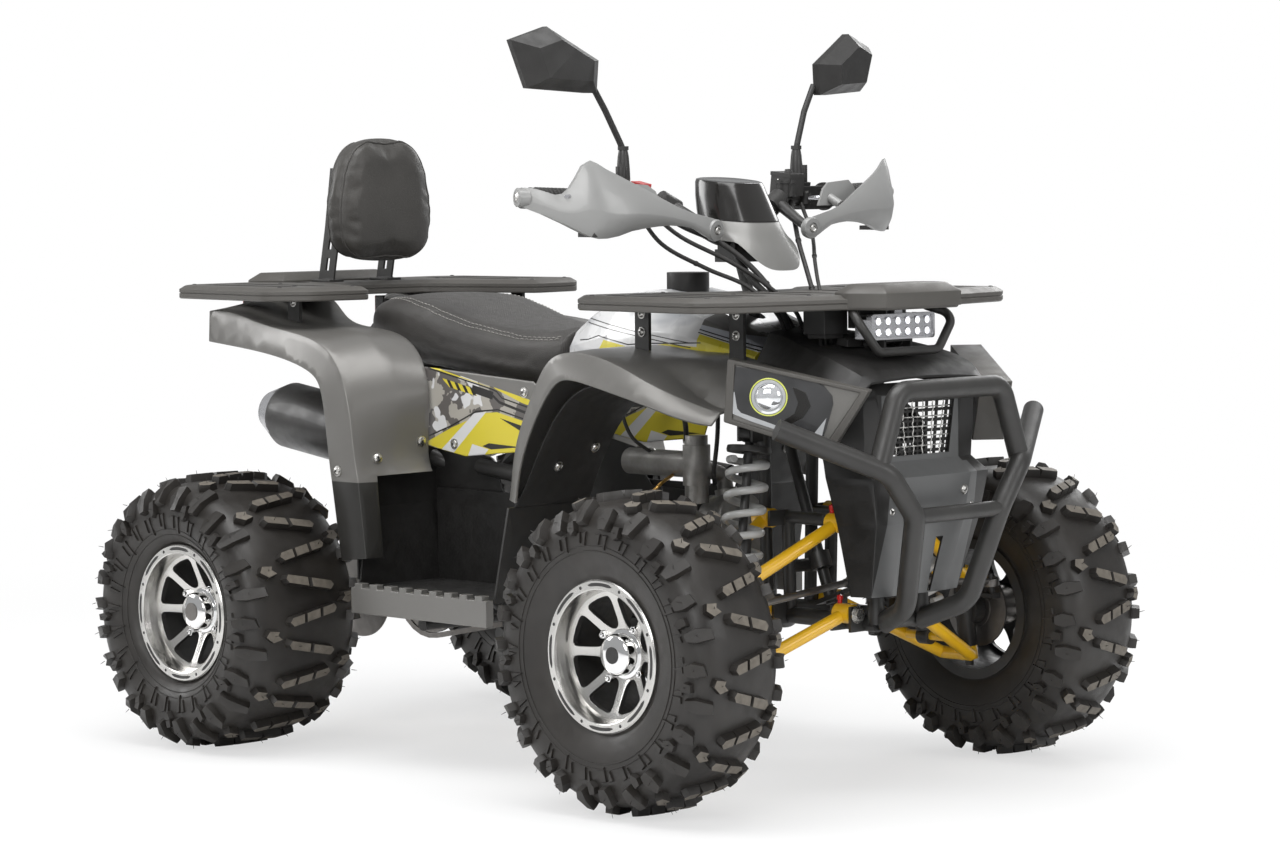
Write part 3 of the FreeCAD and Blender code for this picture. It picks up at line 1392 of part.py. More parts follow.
# Rack struts: flat brackets with a foot on the fenders, and the guard round the work lamp
frontStrutShares = [(0.318, -0.215), (0.470, -0.165)]
rearStrutShares = [(-0.462, -0.255)]
tailStrutShares = [(-0.600, -0.180)]
strutHalfWidth = 15.0
strutThickness = 6.0
strutFootLength = 26.0
guardAnchorShares = (0.628, 0.084, 0.742)
guardShares = [(0.663, -0.112, 0.728), (0.668, -0.068, 0.676), (0.668, 0.068, 0.676), (0.663, 0.112, 0.728)]
guardRadius = 7.0
guardBend = 20.0


def strut(shares, cover):
    x, y = shares
    top = place((x, y, rackLevelShare)) - upZ * seatGap
    foot = top - upZ * fenderPostHeight * 2
    plate = block(Vector(foot.x - strutHalfWidth, foot.y - strutThickness / 2, foot.z),
                  Vector(top.x + strutHalfWidth, top.y + strutThickness / 2, top.z))
    flange = block(Vector(top.x - strutHalfWidth, top.y, top.z - strutThickness),
                   Vector(top.x + strutHalfWidth, top.y + strutFootLength, top.z))
    return clearOf(plate.fuse(flange), top, cover, upZ * seatGap)


def lampGuard(radius, level):
    x, y, z = guardAnchorShares
    ends = [place((x, side * y, z)) for side in (-1, 1)]
    path = [place(share) for share in guardShares]
    path = [Vector(ends[0].x, ends[0].y, level), ends[0]] + path + [ends[1], Vector(ends[1].x, ends[1].y, level)]
    return rod(path, radius, guardBend)


def rackStruts(frontCovers, rearCovers):
    struts = []
    for shares in frontStrutShares:
        struts.extend(pairOf(strut(shares, frontCovers[0])))
    for shares in rearStrutShares + tailStrutShares:
        struts.extend(pairOf(strut(shares, rearCovers[0])))
    return struts + [lampGuard(guardRadius, layoutHeight * rackLevelShare - seatGap)]


# Work lamp: a bar of lights below the front rack
lampBarShares = (0.640, 0.0, 0.710)
lampBarHalfWidth = 72.0
lampBarHalfHeight = 16.0
lampBarDepth = 34.0
lampStemHalf = 9.0


def workLamp():
    centre = place(lampBarShares)
    half = Vector(lampBarDepth / 2, lampBarHalfWidth, lampBarHalfHeight)
    body = block(centre - half, centre + half)
    stem = block(centre + Vector(-lampStemHalf, -lampStemHalf, 0),
                 Vector(centre.x + lampStemHalf, centre.y + lampStemHalf,
                        layoutHeight * rackLevelShare - seatGap))
    return body.fuse(stem)


# Backrest pad on a slotted bracket
padShares = (-0.537, 0.0, 0.905)
padHalfWidth = 112.0
padHeight = 214.0
padDepth = 56.0
padCorner = 22.0
padOutlineShares = [(-0.72, 1.0), (0.72, 1.0), (1.0, -0.34), (0.80, -1.0), (-0.80, -1.0), (-1.0, -0.34)]
bracketSideShare = 0.066
bracketTallShares = (0.86, 0.96)
bracketFootDepth = 40.0
bracketWaist = 24.0
bracketSetback = 20.0
bracketFootHalf = 16.0
bracketSlotShares = [(0.20, 0.42), (0.58, 0.80)]
bracketSlotWidth = 8.0


def backrestPad():
    centre = place(padShares)
    back = centre - alongX * (padDepth / 2)
    outline = [back + acrossY * (padHalfWidth * y) + upZ * (padHeight / 2 * z) for y, z in padOutlineShares]
    body = prism(outline, alongX * padDepth)
    return body.makeFillet(padCorner, body.Edges)


def backrestBracket():
    pieces = []
    level = layoutHeight * rackLevelShare + rackThickness + seatGap
    back = place(padShares).x - padDepth / 2 - seatGap
    middle, top = [layoutHeight * share for share in bracketTallShares]
    rearEdge = back - bracketSetback - bracketFootDepth
    for side in (-1, 1):
        y = side * layoutWidth * bracketSideShare
        outline = [Vector(rearEdge, y, level), Vector(back - bracketSetback, y, level), Vector(back, y, middle),
                   Vector(back, y, top), Vector(back - bracketWaist, y, top),
                   Vector(back - bracketSetback * 2, y, middle)]
        foot = block(Vector(rearEdge, y - bracketFootHalf, level),
                     Vector(back - bracketSetback / 2, y + bracketFootHalf, level + sheet))
        plate = prism(outline, acrossY * sheet)
        foreEdge = Vector(back, y, middle) - Vector(back - bracketSetback, y, level)
        rearLine = Vector(back - bracketSetback * 2, y, middle) - Vector(rearEdge, y, level)
        slots = []
        for start, end in bracketSlotShares:
            corners = []
            for share in (start, end):
                fore = Vector(back - bracketSetback, y, level) + foreEdge * share
                rear = Vector(rearEdge, y, level) + rearLine * share
                middlePoint = (fore + rear) * 0.5
                corners.append(middlePoint)
            low, high = corners
            shift = alongX * (bracketSlotWidth / 2)
            slots.append(prism([low - shift - acrossY * sheet, low + shift - acrossY * sheet,
                                high + shift - acrossY * sheet, high - shift - acrossY * sheet],
                               acrossY * (sheet * 3)))
        pieces.append(plate.cut(slots).fuse(foot))
    return pieces


# Tail lamps hung under the rear rack
tailLampShares = (-0.665, -0.150, 0.718)
tailLampHalfLength = 12.0
tailLampHalfWidth = 42.0
tailLampHalfHeight = 15.0
tailLampStem = 8.0


def tailLamp():
    centre = place(tailLampShares)
    half = Vector(tailLampHalfLength, tailLampHalfWidth, tailLampHalfHeight)
    body = block(centre - half, centre + half)
    stem = block(centre - Vector(tailLampStem, tailLampStem, 0),
                 Vector(centre.x + tailLampStem, centre.y + tailLampStem, layoutHeight * rackLevelShare - seatGap))
    return body.fuse(stem)


# Handlebar, grips, guards, cowl, mirrors and controls, all on the steering column
barShares = [(0.318, 0.0, 0.842), (0.318, -0.045, 0.842), (0.272, -0.130, 0.902), (0.241, -0.395, 0.912)]
cowlFootShare = 0.8772


def barEnd(side):
    outer = place(barShares[-1])
    return Vector(outer.x, side * -outer.y, outer.z)


def handlebar():
    half = [place(share) for share in barShares]
    points = [Vector(p.x, -p.y, p.z) for p in half[:0:-1]] + half[1:]
    bar = rod(points, handlebarRadius)
    ends = []
    for side in (1, -1):
        inner = Vector(half[-2].x, side * half[-2].y, half[-2].z)
        outer = Vector(half[-1].x, side * half[-1].y, half[-1].z)
        along = (inner - outer).normalize()
        ends.append(cylinder(outer, outer + along * gripLength, gripRadius))
    return fused([bar] + ends)


# Hand guards: a curved shield with a folded lower edge, an arm to the bar and a plug at the bar's end
guardLineShares = [
    (-0.115, 0.372, 0.862, 0.884, 0.350),
    (-0.190, 0.366, 0.842, 0.908, 0.346),
    (-0.270, 0.352, 0.846, 0.946, 0.334),
    (-0.330, 0.332, 0.866, 0.965, 0.318),
    (-0.375, 0.302, 0.884, 0.948, 0.292),
    (-0.405, 0.268, 0.896, 0.930, 0.262)]
guardPlugRadius = 12.0
guardPlugLength = 12.0


def handGuard():
    # Each station is (side, x of the lower edge, lower height, upper height, x of the upper edge)
    sections = []
    for side, lowX, low, high, topX in guardLineShares:
        foot = place((lowX, side, low))
        top = place((topX, side, high))
        thick = Vector(sheet, 0, 0)
        sections.append([foot, top, top - thick, foot - thick])
    shield = lofted(sections)
    outer, along = gripRun()
    plug = cylinder(outer - along * seatGap, outer - along * (seatGap + guardPlugLength), guardPlugRadius)
    tip = place((guardLineShares[-1][1], guardLineShares[-1][0], guardLineShares[-1][2]))
    link = cylinder(outer - along * (seatGap + guardPlugLength / 2), tip + upZ * sheet, sheet)
    return fused([shield, plug, link])


# Cowl over the bar clamp: a raked instrument housing with an apron below it
cowlShares = [(0.236, 0.044, 0.893, 0.918), (0.300, 0.056, 0.880, 0.931), (0.356, 0.060, 0.874, 0.934),
              (0.376, 0.054, 0.866, 0.924)]
apronShares = [(0.352, 0.058, 0.874, 0.900), (0.380, 0.056, 0.842, 0.880), (0.404, 0.046, 0.815, 0.836),
               (0.414, 0.036, 0.800, 0.808)]
cowlShoulderShare = 0.8


def cowlSections(shares):
    sections = []
    for x, half, low, high in shares:
        at = place((x, 0, 0)).x
        shoulder = half * cowlShoulderShare
        line = [(-half, low), (-half, (low + high) / 2), (-shoulder, high), (shoulder, high),
                (half, (low + high) / 2), (half, low)]
        sections.append([Vector(at, layoutWidth * y, layoutHeight * z) for y, z in line])
    return sections


def barCowl():
    return lofted(cowlSections(cowlShares)).fuse(lofted(cowlSections(apronShares)))


mirrorStalkShares = [(0.259, -0.196, 0.985), (0.250, -0.225, 1.045), (0.246, -0.252, 1.088)]
mirrorSweep = 11.0
mirrorHubShares = (0.246, -0.262, 1.100)
mirrorOutline = [(-12.0, -28.0), (-16.0, 22.0), (36.0, 50.0), (78.0, 73.0), (143.0, 52.0), (114.0, -21.0), (6.0, -28.0)]
mirrorHeadDepth = 40.0
mirrorBackScale = 0.62
mirrorStalkBend = 30.0
mirrorCollarRadius = 9.0
mirrorCollarHeight = 34.0


def mirror():
    outer, along = gripRun()
    middleTop = (outer + along * controlOffset).z + controlHalfWidth + seatGap
    foot = outer + along * (controlOffset + controlHalfLength / 2)
    foot.z = middleTop
    collar = cylinder(foot, foot + upZ * mirrorCollarHeight, mirrorCollarRadius)
    root = foot + upZ * (mirrorCollarHeight / 2)
    stalk = rod([root] + [place(share) for share in mirrorStalkShares], mirrorStalkRadius, mirrorStalkBend)
    hub = place(mirrorHubShares)
    outward = Vector(-sin(radians(mirrorSweep)), -cos(radians(mirrorSweep)), 0)
    backward = Vector(-cos(radians(mirrorSweep)), sin(radians(mirrorSweep)), 0)
    middle = Vector()
    for along2, rise in mirrorOutline:
        middle = middle + (outward * along2 + upZ * rise) * (1 / len(mirrorOutline))
    sections = []
    for depth, scale in ((0, 1.0), (-mirrorHeadDepth * 0.3, 1.0), (-mirrorHeadDepth, mirrorBackScale)):
        section = []
        for along2, rise in mirrorOutline:
            flat = middle + (outward * along2 + upZ * rise - middle) * scale
            section.append(hub + flat + backward * depth)
        sections.append(section)
    head = lofted(sections)
    return fused([collar, stalk, head])


controlHalfLength = 34.0
controlHalfWidth = 19.0
controlOffset = 175.0


def gripRun():
    outer = place(barShares[-1])
    inner = place(barShares[-2])
    return outer, (inner - outer).normalize()


def barControl():
    outer, along = gripRun()
    centre = outer + along * controlOffset
    half = Vector(controlHalfWidth, controlHalfLength, controlHalfWidth)
    body = block(centre - half, centre + half)
    return body.cut(cylinderAt(centre, along, overrun * 4, handlebarRadius + seatGap))


os.makedirs("parts", exist_ok=True)

rightRim, rightTyre = frontWheel(-1)
leftRim, leftTyre = frontWheel(1)
save("front_rim_right", [rightRim])
save("front_tyre_right", [rightTyre])
save("front_rim_left", [leftRim])
save("front_tyre_left", [leftTyre])
rearRims, rearTyres = rearWheels()
save("rear_rims", rearRims)
save("rear_tyres", rearTyres)
save("rear_axle", [rearAxleShaft()])
save("swing_arm", [swingArm()])
save("suspension_arms", suspensionArms())
dampers, springs = dampersAndSprings()
save("dampers", dampers)
save("springs", springs)
save("knuckle_right", [knuckle()])
save("knuckle_left", [mirrored(knuckle())])
save("tie_rod_right", [tieRod()])
save("tie_rod_left", [mirrored(tieRod())])
save("steering_column", [steeringColumn()])

rearCovers = pairOf(rearFender())
frontCovers = pairOf(frontFender())
tank = tankCover()
saddle = seat()
panels = pairOf(sidePanel())
nose = nosePanel()
braces = frameBraces(frontCovers, rearCovers, tank, saddle, panels, nose)
frameNose, cradle, frameTail = frameParts(wholeFrame(braces))
save("main_frame", [cradle])
save("front_frame", [frameNose])
save("rear_frame", [frameTail])
save("engine", [engine()])
save("drive_chain", [driveChain()])
save("carburettor", [carburettor()])
save("exhaust", [exhaust()])
save("skid_plate", [skidPlate()])
save("front_bumper", [frontBumper()])
save("nose_panel", [nose])
save("grille", [grille()])
save("rear_fenders", rearCovers)
save("front_fenders", frontCovers)
save("headlamps", pairOf(headlamp()))
save("lamp_surrounds", pairOf(lampSurround()))
save("arch_liners", pairOf(archLiner()))
save("foot_boards", pairOf(footBoard()))
save("step_rims", pairOf(stepRim()))
save("tank_cover", [tank])
save("fuel_cap", [fuelCap(tank)])
save("seat", [saddle])
save("side_panels", panels)
save("front_rack", [frontRack(lampGuard(guardRadius + seatGap, layoutHeight * rackLevelShare))])
save("rear_rack", [rearRack()])
save("rack_struts", rackStruts(frontCovers, rearCovers))
save("work_lamp", [workLamp()])
save("backrest_pad", [backrestPad()])
save("backrest_bracket", backrestBracket())
save("tail_lamps", pairOf(tailLamp()))
save("handlebar", [handlebar()])
save("hand_guards", pairOf(handGuard()))
save("bar_cowl", [barCowl()])
save("mirrors", pairOf(mirror()))
save("bar_controls", pairOf(barControl()))
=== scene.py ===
import math
import random
import bpy
import bmesh
from mathutils import Matrix, Vector
from mathutils.bvhtree import BVHTree


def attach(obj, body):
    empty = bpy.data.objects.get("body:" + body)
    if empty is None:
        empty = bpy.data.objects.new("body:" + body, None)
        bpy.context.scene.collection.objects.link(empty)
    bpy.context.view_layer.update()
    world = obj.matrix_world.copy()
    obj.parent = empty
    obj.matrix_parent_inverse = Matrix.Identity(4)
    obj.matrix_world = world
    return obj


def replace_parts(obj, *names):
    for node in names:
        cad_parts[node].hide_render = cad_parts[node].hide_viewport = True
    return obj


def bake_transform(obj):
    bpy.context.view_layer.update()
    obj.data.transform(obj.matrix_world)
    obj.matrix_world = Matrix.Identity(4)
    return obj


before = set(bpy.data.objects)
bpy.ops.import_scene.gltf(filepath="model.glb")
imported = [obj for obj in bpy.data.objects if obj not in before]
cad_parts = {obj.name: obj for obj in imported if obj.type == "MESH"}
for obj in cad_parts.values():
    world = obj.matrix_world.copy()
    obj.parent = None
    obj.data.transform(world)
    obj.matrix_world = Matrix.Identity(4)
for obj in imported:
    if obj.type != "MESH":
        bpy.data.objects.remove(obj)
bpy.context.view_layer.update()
scene = bpy.context.scene
up = Vector((0, 0, 1))
across = Vector((0, 1, 0))
forward = Vector((1, 0, 0))
fullTurn = 2 * math.pi
print("frame loaded:", len(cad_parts), "nodes")


# Camera, floor and lights
stageSet = {
    "cameraPlace": (4.5942, -4.4451, 0.9608),
    "yaw": 2.36462, "pitch": -0.066771, "roll": -0.0087001,
    "lens": 110.0, "sensor": 36.0, "farthest": 200,
    "floorReach": 14.0, "floorDark": (0.84, 0.84, 0.84, 1), "floorColour": (0.86, 0.86, 0.86, 1),
    "floorGlow": 0.62,          # share of the floor that shows as plain white to the camera
    "glowFrom": 1.1, "glowTo": 3.4,
    "skyColour": (0.98, 0.99, 1.0, 1), "skyStrength": 0.42,
    "lamps": [                  # name, place, aim, size, watts
        ("overheadBox", (0.4, -0.6, 3.6), (0.0, 0.0, 0.5), (3.4, 2.6), 120),
        ("nearBox", (2.4, -4.2, 2.6), (0.1, 0.0, 0.5), (2.6, 1.8), 95),
        ("noseBox", (4.8, 0.6, 2.0), (0.5, 0.1, 0.5), (1.8, 1.8), 48),
        ("tailBox", (-3.8, -2.2, 2.2), (-0.4, 0.0, 0.5), (2.0, 1.6), 62),
        ("farBox", (-1.0, 3.8, 2.4), (0.0, 0.0, 0.5), (2.4, 1.6), 50),
    ],
}


def makeCamera():
    yaw, pitch, roll = stageSet["yaw"], stageSet["pitch"], stageSet["roll"]
    ahead = Vector((math.cos(yaw) * math.cos(pitch), math.sin(yaw) * math.cos(pitch), math.sin(pitch)))
    right = ahead.cross(up).normalized()
    top = right.cross(ahead)
    right, top = right * math.cos(roll) + top * math.sin(roll), top * math.cos(roll) - right * math.sin(roll)
    camera = bpy.data.objects.new("camera", bpy.data.cameras.new("camera"))
    turn = Matrix((right, top, -ahead)).transposed().to_4x4()
    camera.matrix_world = Matrix.Translation(stageSet["cameraPlace"]) @ turn
    camera.data.lens = stageSet["lens"]
    camera.data.sensor_width = stageSet["sensor"]
    camera.data.clip_end = stageSet["farthest"]
    scene.collection.objects.link(camera)
    scene.camera = camera


def makeLamps():
    for name, place, aim, size, watts in stageSet["lamps"]:
        lamp = bpy.data.lights.new(name, "AREA")
        lamp.shape = "RECTANGLE"
        lamp.size, lamp.size_y = size
        lamp.energy = watts
        holder = bpy.data.objects.new(name, lamp)
        holder.location = place
        holder.rotation_euler = (Vector(aim) - Vector(place)).to_track_quat("-Z", "Y").to_euler()
        scene.collection.objects.link(holder)


# Node maths: a socket that is added, multiplied and compared in plain expressions
class Wire:
    def __init__(self, finish, socket):
        self.finish = finish
        self.socket = socket

    def __add__(self, other): return self.finish.maths("ADD", self, other)
    def __sub__(self, other): return self.finish.maths("SUBTRACT", self, other)
    def __mul__(self, other): return self.finish.maths("MULTIPLY", self, other)
    def __pow__(self, other): return self.finish.maths("POWER", self, other)
    def __gt__(self, other): return self.finish.maths("GREATER_THAN", self, other)
    def __lt__(self, other): return self.finish.maths("LESS_THAN", self, other)
    def __abs__(self): return self.finish.maths("ABSOLUTE", self)
    def higher(self, other): return self.finish.maths("MAXIMUM", self, other)
    def sine(self): return self.finish.maths("SINE", self)
    def part(self): return self.finish.maths("FRACT", self)


class Finish:
    sockets = {"colour": "Base Color", "rough": "Roughness", "metal": "Metallic", "coat": "Coat Weight",
               "coatRough": "Coat Roughness", "glow": "Emission Color", "glowStrength": "Emission Strength",
               "normal": "Normal", "sheen": "Sheen Weight"}

    def __init__(self, name, **plain):
        self.material = bpy.data.materials.new(name)
        self.material.use_nodes = True
        self.tree = self.material.node_tree
        self.tree.nodes.clear()
        self.end = self.tree.nodes.new("ShaderNodeOutputMaterial")
        self.shader = self.tree.nodes.new("ShaderNodeBsdfPrincipled")
        self.tree.links.new(self.shader.outputs[0], self.end.inputs[0])
        self.coordinates = None
        self.tone = None
        for socket, value in plain.items():
            self.set(socket, value)

    def set(self, socket, value):
        self.feed(self.shader.inputs[self.sockets[socket]], value)

    def feed(self, socket, value):
        if isinstance(value, Wire):
            self.tree.links.new(value.socket, socket)
        elif hasattr(value, "__len__") and len(value) == 3 and socket.type == "RGBA":
            socket.default_value = (*value, 1)
        else:
            socket.default_value = value

    def node(self, kind, settings=None, sockets=None, output=0):
        made = self.tree.nodes.new("ShaderNode" + kind)
        for name, value in (settings or {}).items():
            if name == "stops":
                stops = made.color_ramp.elements
                for stop, (at, colour) in zip(stops, value):
                    stop.position = at
                    stop.color = (*colour, 1)
            else:
                setattr(made, name, value)
        for name, value in (sockets or {}).items():
            self.feed(made.inputs[name], value)
        return Wire(self, made.outputs[output])

    def maths(self, operation, first, second=None):
        values = {0: first} if second is None else {0: first, 1: second}
        return self.node("Math", {"operation": operation}, values)

    def mix(self, share, first, second):
        return self.node("Mix", {"data_type": "RGBA"}, {0: share, 6: first, 7: second}, 2)

    def place(self):
        if self.coordinates is None:
            self.coordinates = self.node("TexCoord", output="Object")
        return self.coordinates

    def axes(self):
        split = self.node("SeparateXYZ", None, {0: self.place()})
        outputs = split.socket.node.outputs
        return [Wire(self, outputs[index]) for index in range(3)]

    def stretched(self, scale):
        return self.node("Mapping", None, {"Vector": self.place(), "Scale": scale})

    def grain(self, scale, detail=2.0, at=None):
        return self.node("TexNoise", None, {"Vector": at or self.place(), "Scale": scale, "Detail": detail,
                                            "Roughness": 0.5}, "Fac")

    def cells(self, scale, feature="F1"):
        return self.node("TexVoronoi", {"feature": feature}, {"Vector": self.place(), "Scale": scale}, "Distance")

    def ramp(self, value, stops):
        return self.node("ValToRGB", {"stops": stops}, {0: value})

    def between(self, value, low, high, newLow=0.0, newHigh=1.0):
        return self.node("MapRange", {"interpolation_type": "SMOOTHSTEP"},
                         {0: value, 1: low, 2: high, 3: newLow, 4: newHigh})

    def bump(self, height, strength, depth, under=None):
        sockets = {"Height": height, "Strength": strength, "Distance": depth}
        if under is not None:
            sockets["Normal"] = under
        return self.node("Bump", None, sockets)

    def roughness(self, scale, detail, low, high):
        self.set("rough", self.between(self.grain(scale, detail), 0.3, 0.7, low, high))


# Flat shapes drawn on a surface by its own coordinates: each is a product of half planes
def insideShape(u, v, corners):
    area = sum(a[0] * b[1] - b[0] * a[1] for a, b in zip(corners, corners[1:] + corners[:1]))
    if area < 0:
        corners = corners[::-1]
    mask = None
    for (x0, y0), (x1, y1) in zip(corners, corners[1:] + corners[:1]):
        edge = (v - y0) * (x1 - x0) - (u - x0) * (y1 - y0)
        mask = (edge > 0.0) if mask is None else mask * (edge > 0.0)
    return mask


def insideBand(u, v, path, width):
    mask = None
    for (x0, y0), (x1, y1) in zip(path, path[1:]):
        run = math.hypot(x1 - x0, y1 - y0)
        side = ((y0 - y1) / run * width / 2, (x1 - x0) / run * width / 2)
        corners = [(x0 + side[0], y0 + side[1]), (x1 + side[0], y1 + side[1]),
                   (x1 - side[0], y1 - side[1]), (x0 - side[0], y0 - side[1])]
        one = insideShape(u, v, corners)
        mask = one if mask is None else mask.higher(one)
    return mask


# Even finishes: tone, its spread and scale, lowest and highest roughness, the fine grain's scale and strength
evenFinishes = {
    "springPaint": ((0.42, 0.42, 0.41), 0.08, 20, 0.30, 0.42, 900, 0.12, {"coat": 0.4}),
    "brightSteel": ((0.55, 0.54, 0.52), 0.10, 30, 0.22, 0.36, 1200, 0.10, {"metal": 1.0}),
    "darkSteel": ((0.20, 0.19, 0.18), 0.16, 22, 0.34, 0.50, 900, 0.25, {"metal": 0.9}),
    "chromePlate": ((0.80, 0.80, 0.80), 0.02, 8, 0.04, 0.09, 400, 0.01, {"metal": 1.0}),
    "engineBlack": ((0.030, 0.029, 0.028), 0.2, 18, 0.36, 0.52, 800, 0.4, {"metal": 0.1}),
    "brassFitting": ((0.45, 0.27, 0.08), 0.15, 40, 0.25, 0.40, 700, 0.1, {"metal": 1.0}),
    "threadFinish": ((0.30, 0.29, 0.27), 0.1, 60, 0.6, 0.75, 3000, 0.5, {}),
    "guardPlastic": ((0.275, 0.275, 0.270), 0.05, 6, 0.36, 0.46, 900, 0.15, {"metal": 0.15, "coat": 0.2}),
    "smokedShell": ((0.010, 0.009, 0.008), 0.1, 10, 0.16, 0.20, 300, 0.01, {"coat": 0.5, "coatRough": 0.12}),
    "cowlGrey": ((0.190, 0.188, 0.180), 0.05, 8, 0.34, 0.44, 800, 0.15, {"metal": 0.2, "coat": 0.2}),
    "paleLens": ((0.42, 0.43, 0.44), 0.05, 20, 0.06, 0.14, 700, 0.06, {"coat": 1.0}),
    "lampSilver": ((0.62, 0.62, 0.64), 0.05, 30, 0.12, 0.22, 600, 0.1, {"metal": 0.8}),
    "redPlastic": ((0.55, 0.015, 0.012), 0.1, 30, 0.22, 0.34, 700, 0.1, {"coat": 0.6}),
    "blackRubber": ((0.018, 0.017, 0.016), 0.15, 30, 0.50, 0.66, 900, 0.35, {}),
    "mirrorGlass": ((0.72, 0.74, 0.75), 0.01, 4, 0.02, 0.04, 200, 0.005, {"metal": 1.0}),
}


def evenFinish(name, colour, spread, scale, low, high, grainScale, grainStrength, plain):
    finish = Finish(name, **plain)
    dark = tuple(c * (1 - spread) for c in colour)
    pale = tuple(min(1, c * (1 + spread)) for c in colour)
    finish.set("colour", finish.ramp(finish.grain(scale, 3), [(0.25, dark), (0.75, pale)]))
    finish.roughness(scale * 6, 2, low, high)
    finish.set("normal", finish.bump(finish.grain(grainScale, 2), grainStrength, 0.0003))
    return finish


# Cloudy finishes: dark tone, pale tone, the cloud's scale and detail, the roughness's scale, detail, lowest and
# highest value, and the fine grain's scale, detail (none stands for cells), strength and depth
cloudyFinishes = {
    "blackPowderCoat": ((0.020, 0.019, 0.018), (0.030, 0.029, 0.027), (12, 3), (60, 2, 0.40, 0.50),
                        (1400, 2, 0.25, 0.0004), {"coat": 0.15, "coatRough": 0.35}),
    "gunmetalPlastic": ((0.140, 0.135, 0.126), (0.150, 0.145, 0.136), (4, 2), (30, 3, 0.36, 0.40),
                        (900, 2, 0.05, 0.0003), {"metal": 0.32, "coat": 0.35, "coatRough": 0.22}),
    "rearFenderPlastic": ((0.140, 0.135, 0.126), (0.150, 0.145, 0.136), (4, 2), (30, 3, 0.36, 0.41),
                          (900, 2, 0.05, 0.0003), {"metal": 0.30, "coat": 0.30, "coatRough": 0.24}),
    "tailLampPlastic": ((0.018, 0.017, 0.016), (0.018, 0.017, 0.016), (4, 2), (40, 2, 0.24, 0.34),
                        None, {"coat": 0.5, "coatRough": 0.1}),
    "nosePanelPlastic": ((0.118, 0.120, 0.120), (0.132, 0.134, 0.134), (6, 3), (40, 3, 0.36, 0.44),
                         (800, 2, 0.10, 0.0003), {"metal": 0.25, "coat": 0.25, "coatRough": 0.25}),
    "blackMouldedPlastic": ((0.010, 0.0095, 0.009), (0.016, 0.015, 0.014), (9, 4), (40, 3, 0.42, 0.58),
                            (900, None, 0.35, 0.0004), {}),
    "rackPlastic": ((0.062, 0.058, 0.052), (0.080, 0.075, 0.068), (5, 4), (36, 3, 0.40, 0.52),
                    (1300, None, 0.35, 0.0004), {}),
    "yellowPaint": ((0.78, 0.43, 0.008), (0.86, 0.50, 0.012), (7, 2), (50, 2, 0.30, 0.40),
                    (240, 2, 0.08, 0.0008), {"coat": 0.7, "coatRough": 0.12}),
    "castAlloy": ((0.20, 0.195, 0.185), (0.36, 0.35, 0.335), (26, 5), (70, 3, 0.38, 0.58),
                  (900, 4, 0.5, 0.0006), {"metal": 0.85}),
    "tyreRubber": ((0.014, 0.012, 0.0105), (0.024, 0.021, 0.018), (14, 4), (45, 3, 0.38, 0.52),
                   (1600, 3, 0.3, 0.0004), {}),
    "treadLand": ((0.100, 0.088, 0.072), (0.150, 0.132, 0.108), (90, 3), (120, 3, 0.50, 0.66),
                  (1500, 3, 0.3, 0.0003), {}),
    "blackVinyl": ((0.026, 0.024, 0.022), (0.040, 0.037, 0.034), (10, 4), (50, 3, 0.40, 0.54),
                   (620, None, 0.5, 0.0006), {"sheen": 0.05}),
    "plainVinyl": ((0.030, 0.028, 0.025), (0.046, 0.043, 0.039), (10, 4), (50, 3, 0.40, 0.52),
                   (620, None, 0.5, 0.0006), {"sheen": 0.05}),
    "lampLens": ((0.030, 0.030, 0.031), (0.055, 0.055, 0.057), (16, 2), (20, 2, 0.06, 0.12),
                 None, {"coat": 1.0, "coatRough": 0.02}),
    "projectorGlass": ((0.72, 0.74, 0.76), (0.92, 0.93, 0.95), (60, 2), (50, 2, 0.04, 0.10),
                       (300, 1, 0.05, 0.0004), {"coat": 1.0, "metal": 0.75}),
    "haloGlow": ((0.52, 0.55, 0.10), (0.62, 0.66, 0.16), (50, 2), (50, 2, 0.30, 0.40), None,
                 {"glowStrength": 0.18}),
    "ledGlow": ((0.80, 0.80, 0.84), (0.92, 0.92, 0.95), (120, 2), (50, 2, 0.08, 0.16), None,
                {"glowStrength": 1.1, "coat": 1.0}),
    "exhaustCan": ((0.016, 0.015, 0.014), (0.030, 0.028, 0.026), (14, 4), (40, 3, 0.38, 0.52),
                   (700, 3, 0.3, 0.0004), {"coat": 0.1}),
    "frontAlloy": ((0.56, 0.55, 0.53), (0.63, 0.62, 0.60), (14, 3), (40, 2, 0.20, 0.26), None, {"metal": 1.0}),
    "rearAlloy": ((0.56, 0.55, 0.53), (0.63, 0.62, 0.60), (14, 3), (40, 2, 0.20, 0.26), None, {"metal": 1.0}),
}


def cloudyFinish(name, dark, pale, cloud, rough, fine, plain):
    finish = Finish(name, **plain)
    low, high = (0.35, 0.65) if name == "projectorGlass" else (0.3, 0.7)
    finish.tone = finish.ramp(finish.grain(*cloud), [(low, dark), (high, pale)])
    finish.set("colour", finish.tone)
    finish.roughness(*rough)
    if fine:
        scale, detail, strength, depth = fine
        height = finish.cells(scale, "SMOOTH_F1") if detail is None else finish.grain(scale, detail)
        finish.tooth = finish.bump(height, strength, depth)
        finish.set("normal", finish.tooth)
    return finish


# The grey plastic has a fine metal flake
def addFlakes(finish):
    flaked = finish.mix(0.4, finish.tone, (0.23, 0.225, 0.213, 1))
    finish.set("colour", finish.mix(finish.between(finish.cells(2600), 0.25, 0.6), flaked, finish.tone))


# The rear fender's leg turns to black plastic below the foot well's rim
def blackenLeg(finish):
    x, y, z = finish.axes()
    leg = (z < 0.4520) * (x > -0.290)
    finish.set("colour", finish.mix(leg, finish.tone, (0.022, 0.021, 0.019, 1)))


